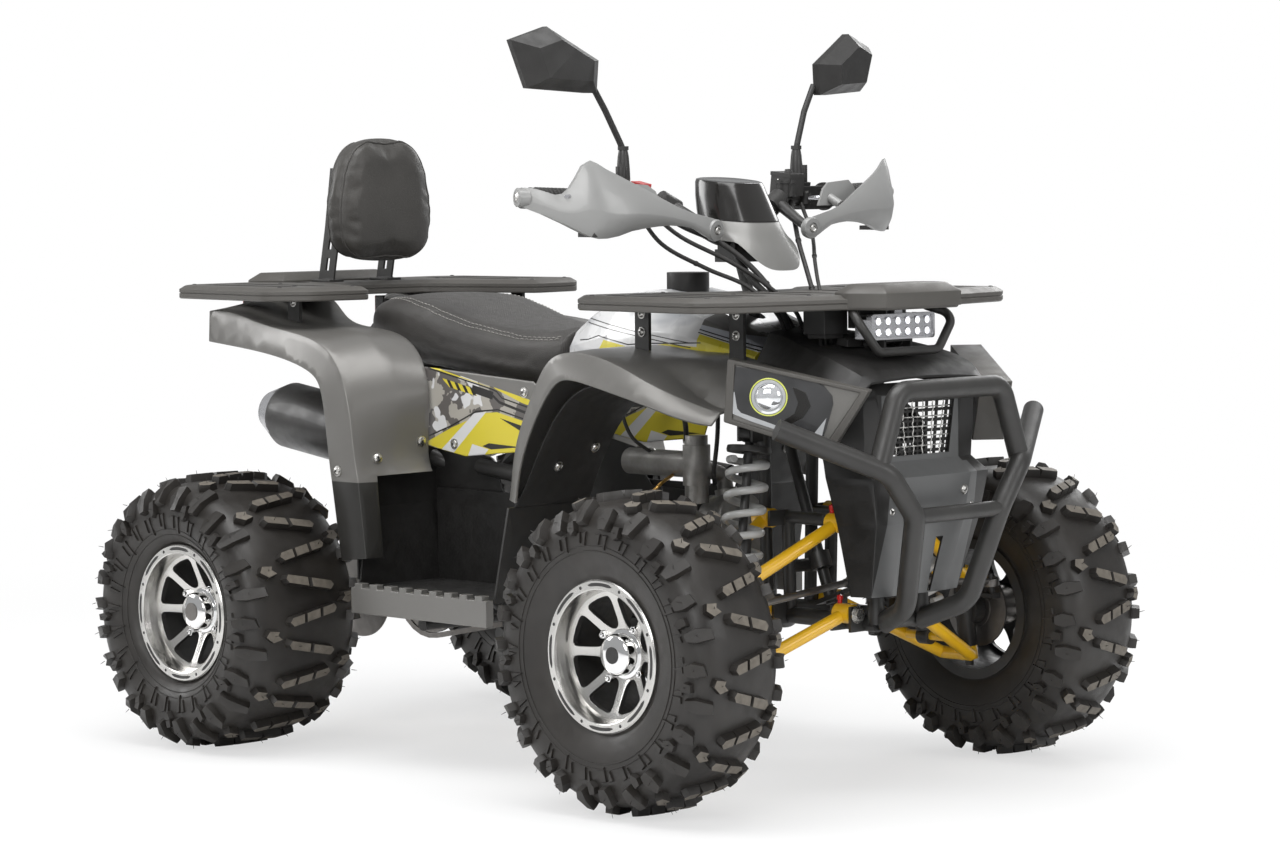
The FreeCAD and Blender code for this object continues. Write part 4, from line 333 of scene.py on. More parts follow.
# Tail lamps: a black housing with a red, ribbed face towards the back
def reddenFace(finish):
    x, y, z = finish.axes()
    finish.set("colour", finish.mix(x < -0.7070, finish.tone, (0.42, 0.012, 0.010, 1)))
    finish.set("normal", finish.bump((y * 1200.0).sine(), 0.15, 0.0003))


# Nose panel: a grey middle between dark cheeks beside the grille
def darkenCheeks(finish):
    x, y, z = finish.axes()
    cheeks = (abs(y) > 0.0980).higher((z > 0.5060) * (abs(y) > 0.0870)).higher(z > 0.6120)
    finish.set("colour", finish.mix(cheeks, finish.tone, (0.026, 0.025, 0.024, 1)))


def roughenRubber(finish):
    finish.set("normal", finish.bump(finish.grain(120, 2), 0.2, 0.0006, finish.tooth))


# The saddle's middle has woven ribs over the leather grain
def ribSaddle(finish):
    x, y, z = finish.axes()
    ribs = (x * 1450.0).sine() * (y * 1450.0).sine()
    middle = finish.between(abs(y), 0.085, 0.092, 1.0, 0.0)
    finish.set("normal", finish.bump(ribs * middle, 0.4, 0.0008, finish.tooth))


def ribLens(finish):
    x, y, z = finish.axes()
    finish.set("normal", finish.bump((z * 900.0).sine(), 0.05, 0.0003))


# Lights glow: dark and pale tone and the cloud's scale
glows = {"haloGlow": ((0.65, 0.72, 0.08), (0.80, 0.85, 0.16), 50),
         "ledGlow": ((0.85, 0.88, 0.95), (1.0, 1.0, 1.0), 90)}


def addGlow(finish):
    dark, pale, scale = glows[finish.material.name]
    finish.set("glow", finish.ramp(finish.grain(scale, 2), [(0.3, dark), (0.7, pale)]))


# Machined alloy: turned rings about each wheel's own axis, of the same pitch all over the face
axles = {"frontAlloy": (0.4855, 0.241), "rearAlloy": (-0.5295, 0.228)}


def turnRings(finish):
    x, y, z = finish.axes()
    axleX, axleZ = axles[finish.material.name]
    radius = ((x - axleX) ** 2.0 + (z - axleZ) ** 2.0) ** 0.5
    finish.set("normal", finish.bump((radius * 5200.0).sine(), 0.18, 0.00015))


extras = {"gunmetalPlastic": addFlakes, "rearFenderPlastic": blackenLeg, "tailLampPlastic": reddenFace,
          "nosePanelPlastic": darkenCheeks, "tyreRubber": roughenRubber, "blackVinyl": ribSaddle,
          "lampLens": ribLens, "haloGlow": addGlow, "ledGlow": addGlow, "frontAlloy": turnRings,
          "rearAlloy": turnRings}

# Printed covers, drawn in side view in this order. A field is filled, a line has a width, slots are slanting bars
white, yellow, black = (0.62, 0.62, 0.62), (0.62, 0.52, 0.035), (0.012, 0.011, 0.010)
hatch = [(-0.178, 0.617), (-0.104, 0.603), (-0.092, 0.590), (-0.158, 0.602)]
sideLayers = [
    ("field", yellow, [(-0.210, 0.518), (-0.154, 0.537), (-0.095, 0.562), (-0.043, 0.566), (-0.043, 0.500),
                       (-0.121, 0.488), (-0.215, 0.507)]),
    ("field", yellow, [(-0.045, 0.566), (0.045, 0.549), (0.045, 0.500), (-0.045, 0.497)]),
    ("field", white, [(-0.180, 0.500), (-0.150, 0.496), (-0.070, 0.566), (-0.100, 0.562)]),
    ("field", white, [(-0.118, 0.488), (-0.080, 0.492), (-0.066, 0.505), (-0.105, 0.512)]),
    ("field", black, [(0.045, 0.540), (0.045, 0.515), (-0.060, 0.505), (-0.115, 0.517), (-0.065, 0.515),
                      (0.009, 0.540)]),
    ("field", black, [(-0.039, 0.557), (0.045, 0.540), (0.020, 0.534)]),
    ("field", yellow, hatch), ("slots", black, hatch),
    (0.013, black, [(-0.104, 0.602), (-0.054, 0.592)]),
    (0.0045, black, [(-0.054, 0.592), (-0.039, 0.582), (0.043, 0.563)]),
    ("field", yellow, [(-0.214, 0.638), (-0.048, 0.603), (-0.213, 0.634)]),
    ("field", yellow, [(-0.070, 0.610), (0.050, 0.585), (0.043, 0.577), (-0.033, 0.593), (-0.048, 0.603)]),
    (0.0024, black, [(-0.213, 0.6325), (-0.058, 0.603), (-0.045, 0.599), (-0.033, 0.589), (0.045, 0.573)]),
    (0.0026, black, [(-0.210, 0.521), (-0.154, 0.540), (-0.095, 0.565), (-0.043, 0.570), (0.040, 0.553)]),
]
tankYellow = (0.62, 0.54, 0.045)
tankLayers = [
    ("field", tankYellow, [(0.070, 0.640), (0.104, 0.683), (0.167, 0.6735), (0.167, 0.640)]),
    ("field", tankYellow, [(0.180, 0.672), (0.256, 0.681), (0.330, 0.677), (0.330, 0.640), (0.180, 0.640)]),
    ("field", (0.48, 0.50, 0.54), [(0.318, 0.740), (0.470, 0.700), (0.470, 0.668), (0.318, 0.702)]),
    ("field", tankYellow, [(0.322, 0.6975), (0.470, 0.664), (0.470, 0.630), (0.322, 0.630)]),
    (0.0016, black, [(0.040, 0.716), (0.310, 0.683)]),
    (0.0016, black, [(0.040, 0.709), (0.200, 0.690), (0.310, 0.676)]),
    (0.0016, black, [(0.318, 0.7045), (0.470, 0.671)]),
    (0.0016, black, [(0.318, 0.7000), (0.470, 0.6665)]),
    (0.0020, black, [(0.030, 0.680), (0.060, 0.682), (0.089, 0.689), (0.167, 0.677), (0.205, 0.680),
                     (0.330, 0.684)]),
]


def drawLayers(finish, u, v, colour, layers):
    for kind, tone, points in layers:
        mask = insideShape(u, v, points) if isinstance(kind, str) else insideBand(u, v, points, kind)
        if kind == "slots":
            mask = ((u * 62.0 + v * 42.0).part() > 0.55) * mask
        colour = finish.mix(mask, colour, (*tone, 1))
    return colour


def printedSide():
    finish = Finish("printedSide", coat=0.6, coatRough=0.12)
    u, y, v = finish.axes()
    patches = finish.between(finish.grain(30, 3), 0.50, 0.515)
    colour = finish.mix(patches, (0.105, 0.095, 0.090, 1), (0.36, 0.34, 0.30, 1))
    bright = finish.between(finish.grain(22, 2), 0.60, 0.615)
    colour = drawLayers(finish, u, v, finish.mix(bright, colour, (*white, 1)), sideLayers)
    above = (v + u * 0.201) > 0.5955
    finish.set("colour", finish.mix(above, colour, (0.150, 0.145, 0.136, 1)))
    finish.roughness(30, 3, 0.28, 0.38)
    finish.set("normal", finish.bump(finish.grain(500, 2), 0.08, 0.0004))
    return finish


def printedTank():
    finish = Finish("printedTank", coat=0.6, coatRough=0.10)
    u, y, v = finish.axes()
    streak = finish.grain(9, 2, finish.stretched((1.0, 1.0, 3.0)))
    colour = finish.ramp(streak, [(0.30, (0.40, 0.41, 0.43)), (0.46, (0.66, 0.66, 0.66))])
    colour = drawLayers(finish, u, v, colour, tankLayers)
    top = (v + u * 0.19) > 0.772
    finish.set("colour", finish.mix(top * (u > 0.318), colour, (0.155, 0.150, 0.142, 1)))
    finish.roughness(30, 3, 0.26, 0.36)
    finish.set("normal", finish.bump(finish.grain(500, 2), 0.06, 0.0004))
    return finish


def floorFinish():
    finish = Finish("floorFinish", rough=0.7)
    finish.set("colour", finish.mix(finish.grain(3, 2), stageSet["floorDark"], stageSet["floorColour"]))
    glow = finish.node("Emission", None, {"Color": (1, 1, 1, 1), "Strength": 1.0})
    light = finish.node("LightPath")
    seen = Wire(finish, light.socket.node.outputs["Is Camera Ray"])
    x, y, z = finish.axes()
    away = finish.between((x * x + y * y) ** 0.5, stageSet["glowFrom"], stageSet["glowTo"],
                          stageSet["floorGlow"], 1.0)
    blend = finish.node("MixShader", None, {0: seen * away})
    finish.tree.links.new(finish.shader.outputs[0], blend.socket.node.inputs[1])
    finish.tree.links.new(glow.socket, blend.socket.node.inputs[2])
    finish.tree.links.new(blend.socket, finish.end.inputs[0])
    return finish.material


def makeStage():
    mesh = bpy.data.meshes.new("studioFloor")
    reach = stageSet["floorReach"]
    corners = [(-reach, -reach, 0), (reach, -reach, 0), (reach, reach, 0), (-reach, reach, 0)]
    mesh.from_pydata(corners, [], [(0, 1, 2, 3)])
    floor = bpy.data.objects.new("studioFloor", mesh)
    mesh.materials.append(floorFinish())
    scene.collection.objects.link(floor)
    world = bpy.data.worlds.new("studioSky")
    scene.world = world
    world.use_nodes = True
    tree = world.node_tree
    tree.nodes.clear()
    light, soft, white, blend, end, most = [tree.nodes.new("ShaderNode" + kind) for kind in (
        "LightPath", "Background", "Background", "MixShader", "OutputWorld", "Math")]
    soft.inputs[0].default_value = stageSet["skyColour"]
    soft.inputs[1].default_value = stageSet["skyStrength"]
    white.inputs[0].default_value = (1, 1, 1, 1)
    most.operation = "MAXIMUM"
    for source, socket in ((light.outputs["Is Camera Ray"], most.inputs[0]),
                           (light.outputs["Is Transmission Ray"], most.inputs[1]),
                           (most.outputs[0], blend.inputs[0]), (soft.outputs[0], blend.inputs[1]),
                           (white.outputs[0], blend.inputs[2]), (blend.outputs[0], end.inputs[0])):
        tree.links.new(source, socket)


makeCamera()
makeLamps()
makeStage()
scene.view_settings.view_transform = "Standard"
print("stage ready")

made = [evenFinish(name, *row) for name, row in evenFinishes.items()]
made += [cloudyFinish(name, *row) for name, row in cloudyFinishes.items()]
made += [printedSide(), printedTank()]
for finish in made:
    if finish.material.name in extras:
        extras[finish.material.name](finish)
finishes = {finish.material.name: finish.material for finish in made}
print("finishes ready:", len(finishes))


# CAD nodes: the width of the rounded edge in metres, by finish and node
nodeFinish = {
    "blackPowderCoat": {"main_frame": 0, "front_frame": 0, "rear_frame": 0, "skid_plate": 0.001, "front_bumper": 0,
                        "rack_struts": 0.0012, "backrest_bracket": 0.001, "steering_column": 0.0008,
                        "handlebar": 0},
    "darkSteel": {"drive_chain": 0, "rear_axle": 0.0008, "tie_rod_right": 0.0006, "tie_rod_left": 0.0006},
    "castAlloy": {"engine": 0.0012, "carburettor": 0.001},
    "exhaustCan": {"exhaust": 0.0015},
    "nosePanelPlastic": {"nose_panel": 0.003},
    "blackMouldedPlastic": {"grille": 0.0006, "arch_liners": 0.001, "foot_boards": 0.002, "fuel_cap": 0.002,
                            "mirrors": 0.002, "bar_controls": 0.002},
    "gunmetalPlastic": {"front_fenders": 0.003, "step_rims": 0.0015},
    "printedTank": {"tank_cover": 0.004},
    "printedSide": {"side_panels": 0.002},
    "rearFenderPlastic": {"rear_fenders": 0.003},
    "rackPlastic": {"front_rack": 0.003, "rear_rack": 0.003, "lamp_surrounds": 0.002},
    "lampLens": {"headlamps": 0.004},
    "lampSilver": {"work_lamp": 0.002},
    "yellowPaint": {"suspension_arms": 0, "swing_arm": 0.001},
    "engineBlack": {"dampers": 0.0006, "knuckle_right": 0.001, "knuckle_left": 0.001},
    "springPaint": {"springs": 0},
    "tailLampPlastic": {"tail_lamps": 0.002},
    "rearAlloy": {"rear_rims": 0.0008},
    "frontAlloy": {"front_rim_right": 0.0008, "front_rim_left": 0.0008},
    "tyreRubber": {"rear_tyres": 0, "front_tyre_right": 0, "front_tyre_left": 0},
    "cowlGrey": {"bar_cowl": 0.003},
    "guardPlastic": {"hand_guards": 0.002},
}


def bevelled(made, width, angle, harden=False):
    bevel = made.modifiers.new("round", "BEVEL")
    bevel.width = width
    bevel.segments = 2
    bevel.limit_method = "ANGLE"
    bevel.angle_limit = math.radians(angle)
    bevel.harden_normals = harden


def dressNodes():
    for finish, rows in nodeFinish.items():
        for name, edge in rows.items():
            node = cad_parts.get(name)
            if node is None:
                continue
            node.data.materials.clear()
            node.data.materials.append(finishes[finish])
            if edge:
                weld = node.modifiers.new("weld", "WELD")
                weld.merge_threshold = 0.00002
                bevelled(node, edge, 38, True)


dressNodes()
print("CAD nodes dressed")


# Points and faces of one piece, gathered before it becomes a mesh
class Shape:
    def __init__(self):
        self.points = []
        self.faces = []
        self.kinds = []

    def add(self, points, faces, kind=0):
        base = len(self.points)
        self.points += [Vector(point) for point in points]
        self.faces += [[base + index for index in face] for face in faces]
        self.kinds += [kind] * len(faces)

    def rings(self, rings, kind=0, capStart=True, capEnd=True):
        count = len(rings[0])
        faces = []
        for row in range(len(rings) - 1):
            for index in range(count):
                after = (index + 1) % count
                faces.append([row * count + index, row * count + after,
                              (row + 1) * count + after, (row + 1) * count + index])
        if capStart:
            faces.append(list(range(count))[::-1])
        if capEnd:
            faces.append([(len(rings) - 1) * count + index for index in range(count)])
        self.add([point for ring in rings for point in ring], faces, kind)

    def tube(self, path, radius, sides=12, kind=0, caps=True, flat=1.0):
        path = [Vector(point) for point in path]
        rings, side = [], None
        for index, point in enumerate(path):
            along = (path[min(index + 1, len(path) - 1)] - path[max(index - 1, 0)]).normalized()
            if side is None:
                side = along.cross(up if abs(along.z) < 0.9 else forward).normalized()
            side = (side - along * side.dot(along)).normalized()
            other = along.cross(side)
            wide = radius[index] if hasattr(radius, "__len__") else radius
            rings.append([point + side * (wide * math.cos(fullTurn * step / sides)) +
                          other * (wide * flat * math.sin(fullTurn * step / sides)) for step in range(sides)])
        self.rings(rings, kind, caps, caps)

    # The profile is (along the axis, radius) pairs, in order round the section
    def lathe(self, profile, centre, axis, steps=64, kind=0):
        axis = Vector(axis).normalized()
        side = axis.cross(up if abs(axis.z) < 0.9 else forward).normalized()
        other = axis.cross(side)
        points, faces = [], []
        for step in range(steps):
            turn = fullTurn * step / steps
            outward = side * math.cos(turn) + other * math.sin(turn)
            points += [Vector(centre) + axis * along + outward * radius for along, radius in profile]
        count = len(profile)
        for step in range(steps):
            after = (step + 1) % steps
            for index in range(count):
                nextOne = (index + 1) % count
                faces.append([step * count + index, step * count + nextOne,
                              after * count + nextOne, after * count + index])
        self.add(points, faces, kind)

    # A turned solid from its outer points: the section is closed along the axis
    def knob(self, outer, centre, axis, steps, kind=0):
        self.lathe([(outer[0][0], 0.0001)] + outer + [(outer[-1][0], 0.0001)], centre, axis, steps, kind)

    def prism(self, outline, depth, kind=0, taper=1.0):
        outline = [Vector(point) for point in outline]
        middle = sum(outline, Vector()) / len(outline)
        top = [middle + (point - middle) * taper + Vector(depth) for point in outline]
        count = len(outline)
        sides = [[index, (index + 1) % count, count + (index + 1) % count, count + index]
                 for index in range(count)]
        ends = [list(range(count))[::-1], [count + index for index in range(count)]]
        self.add(outline + top, ends + sides, kind)

    def box(self, centre, half, turn=None, kind=0):
        turn = turn or Matrix.Identity(3)
        corners = [Vector((x, y, z)) for x in (-1, 1) for y in (-1, 1) for z in (-1, 1)]
        points = [Vector(centre) + turn @ Vector((c.x * half[0], c.y * half[1], c.z * half[2])) for c in corners]
        faces = [[0, 1, 3, 2], [4, 6, 7, 5], [0, 4, 5, 1], [2, 3, 7, 6], [0, 2, 6, 4], [1, 5, 7, 3]]
        self.add(points, faces, kind)

    def mirroredCopy(self):
        base = len(self.points)
        self.points += [Vector((point.x, -point.y, point.z)) for point in self.points]
        self.faces += [[base + index for index in face][::-1] for face in self.faces]
        self.kinds += self.kinds

    def piece(self, name, finishNames, body, edge=0.0, sharp=35):
        mesh = bpy.data.meshes.new(name)
        mesh.from_pydata([tuple(point) for point in self.points], [], self.faces)
        for finish in finishNames:
            mesh.materials.append(finishes[finish])
        mesh.polygons.foreach_set("material_index", self.kinds)
        made = bpy.data.objects.new(name, mesh)
        scene.collection.objects.link(made)
        work = bmesh.new()
        work.from_mesh(mesh)
        bmesh.ops.recalc_face_normals(work, faces=work.faces)
        work.to_mesh(mesh)
        work.free()
        mesh.shade_smooth()
        mesh.set_sharp_from_angle(angle=math.radians(sharp))
        if edge:
            bevelled(made, edge, sharp, True)
        if body:
            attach(made, body)
        return made


# Smooth line through the points
def smoothLine(points, steps=6):
    points = [Vector(point) for point in points]
    line = []
    for index in range(len(points) - 1):
        b, c = points[index], points[index + 1]
        a = points[index - 1] if index else b * 2 - c
        d = points[index + 2] if index + 2 < len(points) else c * 2 - b
        for step in range(steps):
            t = step / steps
            line.append(0.5 * (2 * b + (c - a) * t + (2 * a - 5 * b + 4 * c - d) * t * t
                               + (3 * b - a - 3 * c + d) * t * t * t))
    return line + [points[-1]]


def turnedTo(axis, spin=0.0):
    return Vector(axis).to_track_quat("Z", "Y").to_matrix() @ Matrix.Rotation(spin, 3, "Z")


def evaluatedMesh(made):
    bpy.context.view_layer.update()
    return bpy.data.meshes.new_from_object(made.evaluated_get(bpy.context.evaluated_depsgraph_get()))


# The cutter's volume is taken out of the piece and the cutter goes
def cutBy(made, cutter):
    cut = made.modifiers.new("cut", "BOOLEAN")
    cut.object = cutter
    cut.solver = "EXACT"
    mesh = evaluatedMesh(made)
    made.modifiers.clear()
    made.data = mesh
    bpy.data.objects.remove(cutter)


# Tyres: a smooth casing and tread blocks laid out along it by arc length and by share of a pitch
frontTyreSet = {
    "halfLine": [(0.0, 0.2275), (0.022, 0.2272), (0.045, 0.2250), (0.066, 0.2185), (0.0800, 0.2060),
                 (0.0860, 0.188), (0.0868, 0.168), (0.0830, 0.146), (0.0765, 0.126), (0.0715, 0.1165),
                 (0.0707, 0.1145)],
    "bead": (0.0680, 0.1025), "pitches": 13, "height": 0.0135, "spread": 1.0,
}
rearTyreSet = {
    "halfLine": [(0.0, 0.2150), (0.034, 0.2148), (0.066, 0.2130), (0.092, 0.2080), (0.1085, 0.1975),
                 (0.1160, 0.181), (0.1172, 0.161), (0.1130, 0.142), (0.1030, 0.124), (0.0945, 0.1165),
                 (0.0927, 0.1145)],
    "bead": (0.0900, 0.1025), "pitches": 13, "height": 0.0130, "spread": 1.34,
}
tyreDress = {
    "steps": 120, "sipeHalf": 0.0013, "layers": [(1.10, None), (1.02, 0.55), (0.90, 1.0)], "sunk": 0.001,
    "hairShare": 0.85, "hairs": (0.004, 0.009), "hairLean": 0.002, "hairRadii": [0.0006, 0.0005, 0.0003],
    "lines": (0.083, 0.088), "lineStretch": 1.55, "lineRadius": 0.0009,
}
# Corners in millimetres from the crown's middle and shares of a pitch, then height share, pale top and parts
treadBlocks = [
    ([(-37, -0.03), (-31, -0.10), (33, 0.06), (37, 0.13), (33, 0.20), (-33, 0.04)], 1.0, 1, 3),
    ([(45, 0.22), (58, 0.17), (68, 0.27), (64, 0.37), (50, 0.35), (52, 0.29)], 0.9, 1, 1),
    ([(62, -0.10), (84, -0.13), (97, -0.10), (99, 0.03), (86, 0.08), (64, 0.05)], 1.0, 0, 1),
    ([(74, 0.42), (90, 0.37), (103, 0.40), (104, 0.55), (92, 0.60), (78, 0.56)], 0.95, 0, 1),
    ([(92, 0.15), (106, 0.12), (112, 0.20), (104, 0.29), (94, 0.27)], 0.7, 0, 1),
    ([(108, -0.08), (128, -0.02), (110, 0.02)], 0.24, 0, 1),
    ([(108, 0.06), (124, 0.09), (110, 0.14)], 0.24, 0, 1),
    ([(110, 0.42), (132, 0.47), (111, 0.52)], 0.24, 0, 1),
    ([(110, 0.58), (126, 0.62), (111, 0.68)], 0.24, 0, 1),
]


# The part of an outline on one side of a limit
def clipped(corners, limit, side):
    kept = []
    for (u0, v0), (u1, v1) in zip(corners, corners[1:] + corners[:1]):
        in0, in1 = (u0 - limit) * side >= 0, (u1 - limit) * side >= 0
        if in0:
            kept.append((u0, v0))
        if in0 != in1:
            share = (limit - u0) / (u1 - u0)
            kept.append((limit, v0 + (v1 - v0) * share))
    return kept


# A block's outline cut across into parts with a narrow gap between them
def sipedParts(places, parts):
    low, high = min(u for u, v in places), max(u for u, v in places)
    for part in range(parts):
        cut = places
        if parts > 1:
            gap = tyreDress["sipeHalf"]
            left = low + (high - low) * part / parts + (gap if part else 0)
            right = low + (high - low) * (part + 1) / parts - (gap if part < parts - 1 else 0)
            cut = clipped(clipped(places, left, 1), right, -1)
        if len(cut) > 2:
            yield cut


def tyrePiece(name, node, body, centre, tyreSet, seed):
    shape = Shape()
    centre = Vector(centre)
    half = [Vector((y, r, 0)) for y, r in tyreSet["halfLine"]]
    line = smoothLine([Vector((-p.x, p.y, 0)) for p in half[:0:-1]] + half, 4)
    profile = [(p.x, p.y) for p in line]
    bead = tyreSet["bead"]
    inner = [(bead[0], bead[1]), (-bead[0], bead[1])]
    shape.lathe(profile + inner, centre, across, tyreDress["steps"])
    lengths = [0.0]
    for a, b in zip(line, line[1:]):
        lengths.append(lengths[-1] + (b - a).length)
    middle = lengths[-1] / 2

    def casing(reach, turn, rise):
        at = min(max(reach + middle, 0.0), lengths[-1] - 1e-6)
        index = max(i for i in range(len(lengths) - 1) if lengths[i] <= at)
        share = (at - lengths[index]) / (lengths[index + 1] - lengths[index])
        spot = line[index].lerp(line[index + 1], share)
        before, after = line[max(index - 1, 0)], line[min(index + 2, len(line) - 1)]
        tangent = (after - before).normalized()
        normal = Vector((-tangent.y, tangent.x, 0))
        spot = spot + normal * rise
        return centre + Vector((math.cos(turn) * spot.y, spot.x, math.sin(turn) * spot.y))

    pitch = fullTurn / tyreSet["pitches"]
    dice = random.Random(seed)
    spread = tyreSet["spread"] / 1000
    for step in range(tyreSet["pitches"]):
        for mirror in (1, -1):
            shift = step + (0.5 if mirror < 0 else 0.0)
            for corners, heightShare, pale, sipes in treadBlocks:
                rise = tyreSet["height"] * heightShare
                places = [(u * spread, v) for u, v in corners]
                for cut in sipedParts(places, sipes if mirror > 0 else max(1, sipes - 1)):
                    mu = sum(u for u, v in cut) / len(cut)
                    mv = sum(v for u, v in cut) / len(cut)
                    rings = []
                    for grow, share in tyreDress["layers"]:
                        height = -tyreDress["sunk"] if share is None else rise * share
                        rings.append([casing(mirror * (mu + (u - mu) * grow),
                                             (shift + mv + (v - mv) * grow) * pitch, height) for u, v in cut])
                    shape.rings(rings, 0, False)
                    shape.kinds[-1] = pale
                if heightShare > 0.6 and dice.random() < tyreDress["hairShare"]:
                    hair = dice.uniform(*tyreDress["hairs"])
                    lean = tyreDress["hairLean"]
                    foot = casing(mirror * mu, (shift + mv) * pitch, rise - 0.0005)
                    reach = mirror * (mu + dice.uniform(-lean, lean))
                    tip = casing(reach, (shift + mv + 0.02) * pitch, rise + hair)
                    shape.tube([foot, foot.lerp(tip, 0.5), tip], tyreDress["hairRadii"], 4)
    for ringReach in tyreDress["lines"]:
        for mirror in (1, -1):
            place = ringReach * tyreSet["spread"] * tyreDress["lineStretch"]
            loop = [casing(mirror * place, fullTurn * step / 96, 0.0003) for step in range(97)]
            shape.tube(loop, tyreDress["lineRadius"], 5)
    made = shape.piece(name, ["tyreRubber", "treadLand"], body, 0.0, 28)
    if node:
        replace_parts(made, node)
    return made


# Each wheel: side, name, the front one's middle and the rear one's middle
wheelPlaces = [(side, name, (0.4855, side * 0.4145, 0.241), (-0.5295, side * 0.3795, 0.228))
               for side, name in ((-1, "right"), (1, "left"))]
for side, name, place, rearPlace in wheelPlaces:
    tyrePiece("front_tread_" + name, "front_tyre_" + name, "front_wheel_" + name, place, frontTyreSet, 11 + side)
for side, name, place, rearPlace in wheelPlaces:
    tyrePiece("rear_tread_" + name, "rear_tyres" if side < 0 else None, "rear_axle", rearPlace, rearTyreSet,
              21 + side)
print("tyres made")


# Alloy wheels: flange with slots and holes, deep barrel, sloped disc with eight windows, chrome hub cap
wheelSet = {
    "flangeRadius": 0.1140, "beadRadius": 0.1016, "barrelRadius": 0.0975, "flangeThickness": 0.005,
    "discOuterDepth": 0.026, "discInnerDepth": 0.050, "discThickness": 0.009, "windows": 8,
    "windowLine": [(0.0400, 0.0), (0.0425, 0.0070), (0.050, 0.0132), (0.062, 0.0186), (0.074, 0.0236),
                   (0.081, 0.0246), (0.0860, 0.0190), (0.0880, 0.0)],
    "hubRadius": 0.035, "capRadius": 0.031, "capDepth": 0.026, "nutCircle": 0.046,
    "hubReach": (0.062, 0.040), "slotInner": 0.1042, "slotOuter": 0.1092, "slotHalfTurn": 13.5,
    "holeRadius": 0.0026, "slotSteps": 14, "discBend": 0.084, "discRim": 0.0955, "nutRadius": 0.0062,
    "nutHeight": 0.008, "axleRadius": 0.0155, "drum": [(-0.060, 0.0615), (-0.0562, 0.0620), (-0.0560, 0.0155)],
    "profile": [                # level, step along, radius, step outward
        ("face", -0.0008, "barrelRadius", 0.0015), ("face", 0, "barrelRadius", 0.003),
        ("face", 0, "flangeRadius", -0.002), ("face", -0.002, "flangeRadius", 0), ("lip", 0, "flangeRadius", 0),
        ("lip", -0.003, "beadRadius", 0.004), ("lip", -0.006, "beadRadius", 0),
        ("backLip", 0.006, "beadRadius", 0), ("backLip", 0, "flangeRadius", 0), ("back", 0, "flangeRadius", 0),
        ("back", 0, "barrelRadius", 0), ("middle", -0.01, "barrelRadius", -0.004),
        ("disc", -0.010, "barrelRadius", -0.0035), ("disc", 0, "barrelRadius", -0.0030),
        ("front", -0.010, "barrelRadius", -0.0005)],
    "darkRings": (9, 10, 11, 12), "faceRise": 0.0006, "inlayRise": 0.0002,
    "slotEnds": (0.02, 0.98), "slotPinch": 3.0, "bendRound": 0.002, "cutFrom": 0.03, "cutDepth": 0.09,
    "faceSlant": 0.55, "faceShare": 0.4, "discBevel": 0.0014, "nutTurn": 0.18,
    "hubFoot": (-0.004, 0.003, 0.004), "hubFlange": 0.002,
    "cap": [(-0.004, 1.0, 0), (-0.001, 1.0, -0.002), (0.001, 0.84, 0), (0.0025, 0.40, 0)], "capTop": 0.003,
    "nutFoot": 0.002, "nutTip": [(0.007, 0.0001), (0.007, 0.0048), (0.011, 0.0036), (0.012, 0.0001)],
    "sleeve": (0.0300, 0.0320),
}


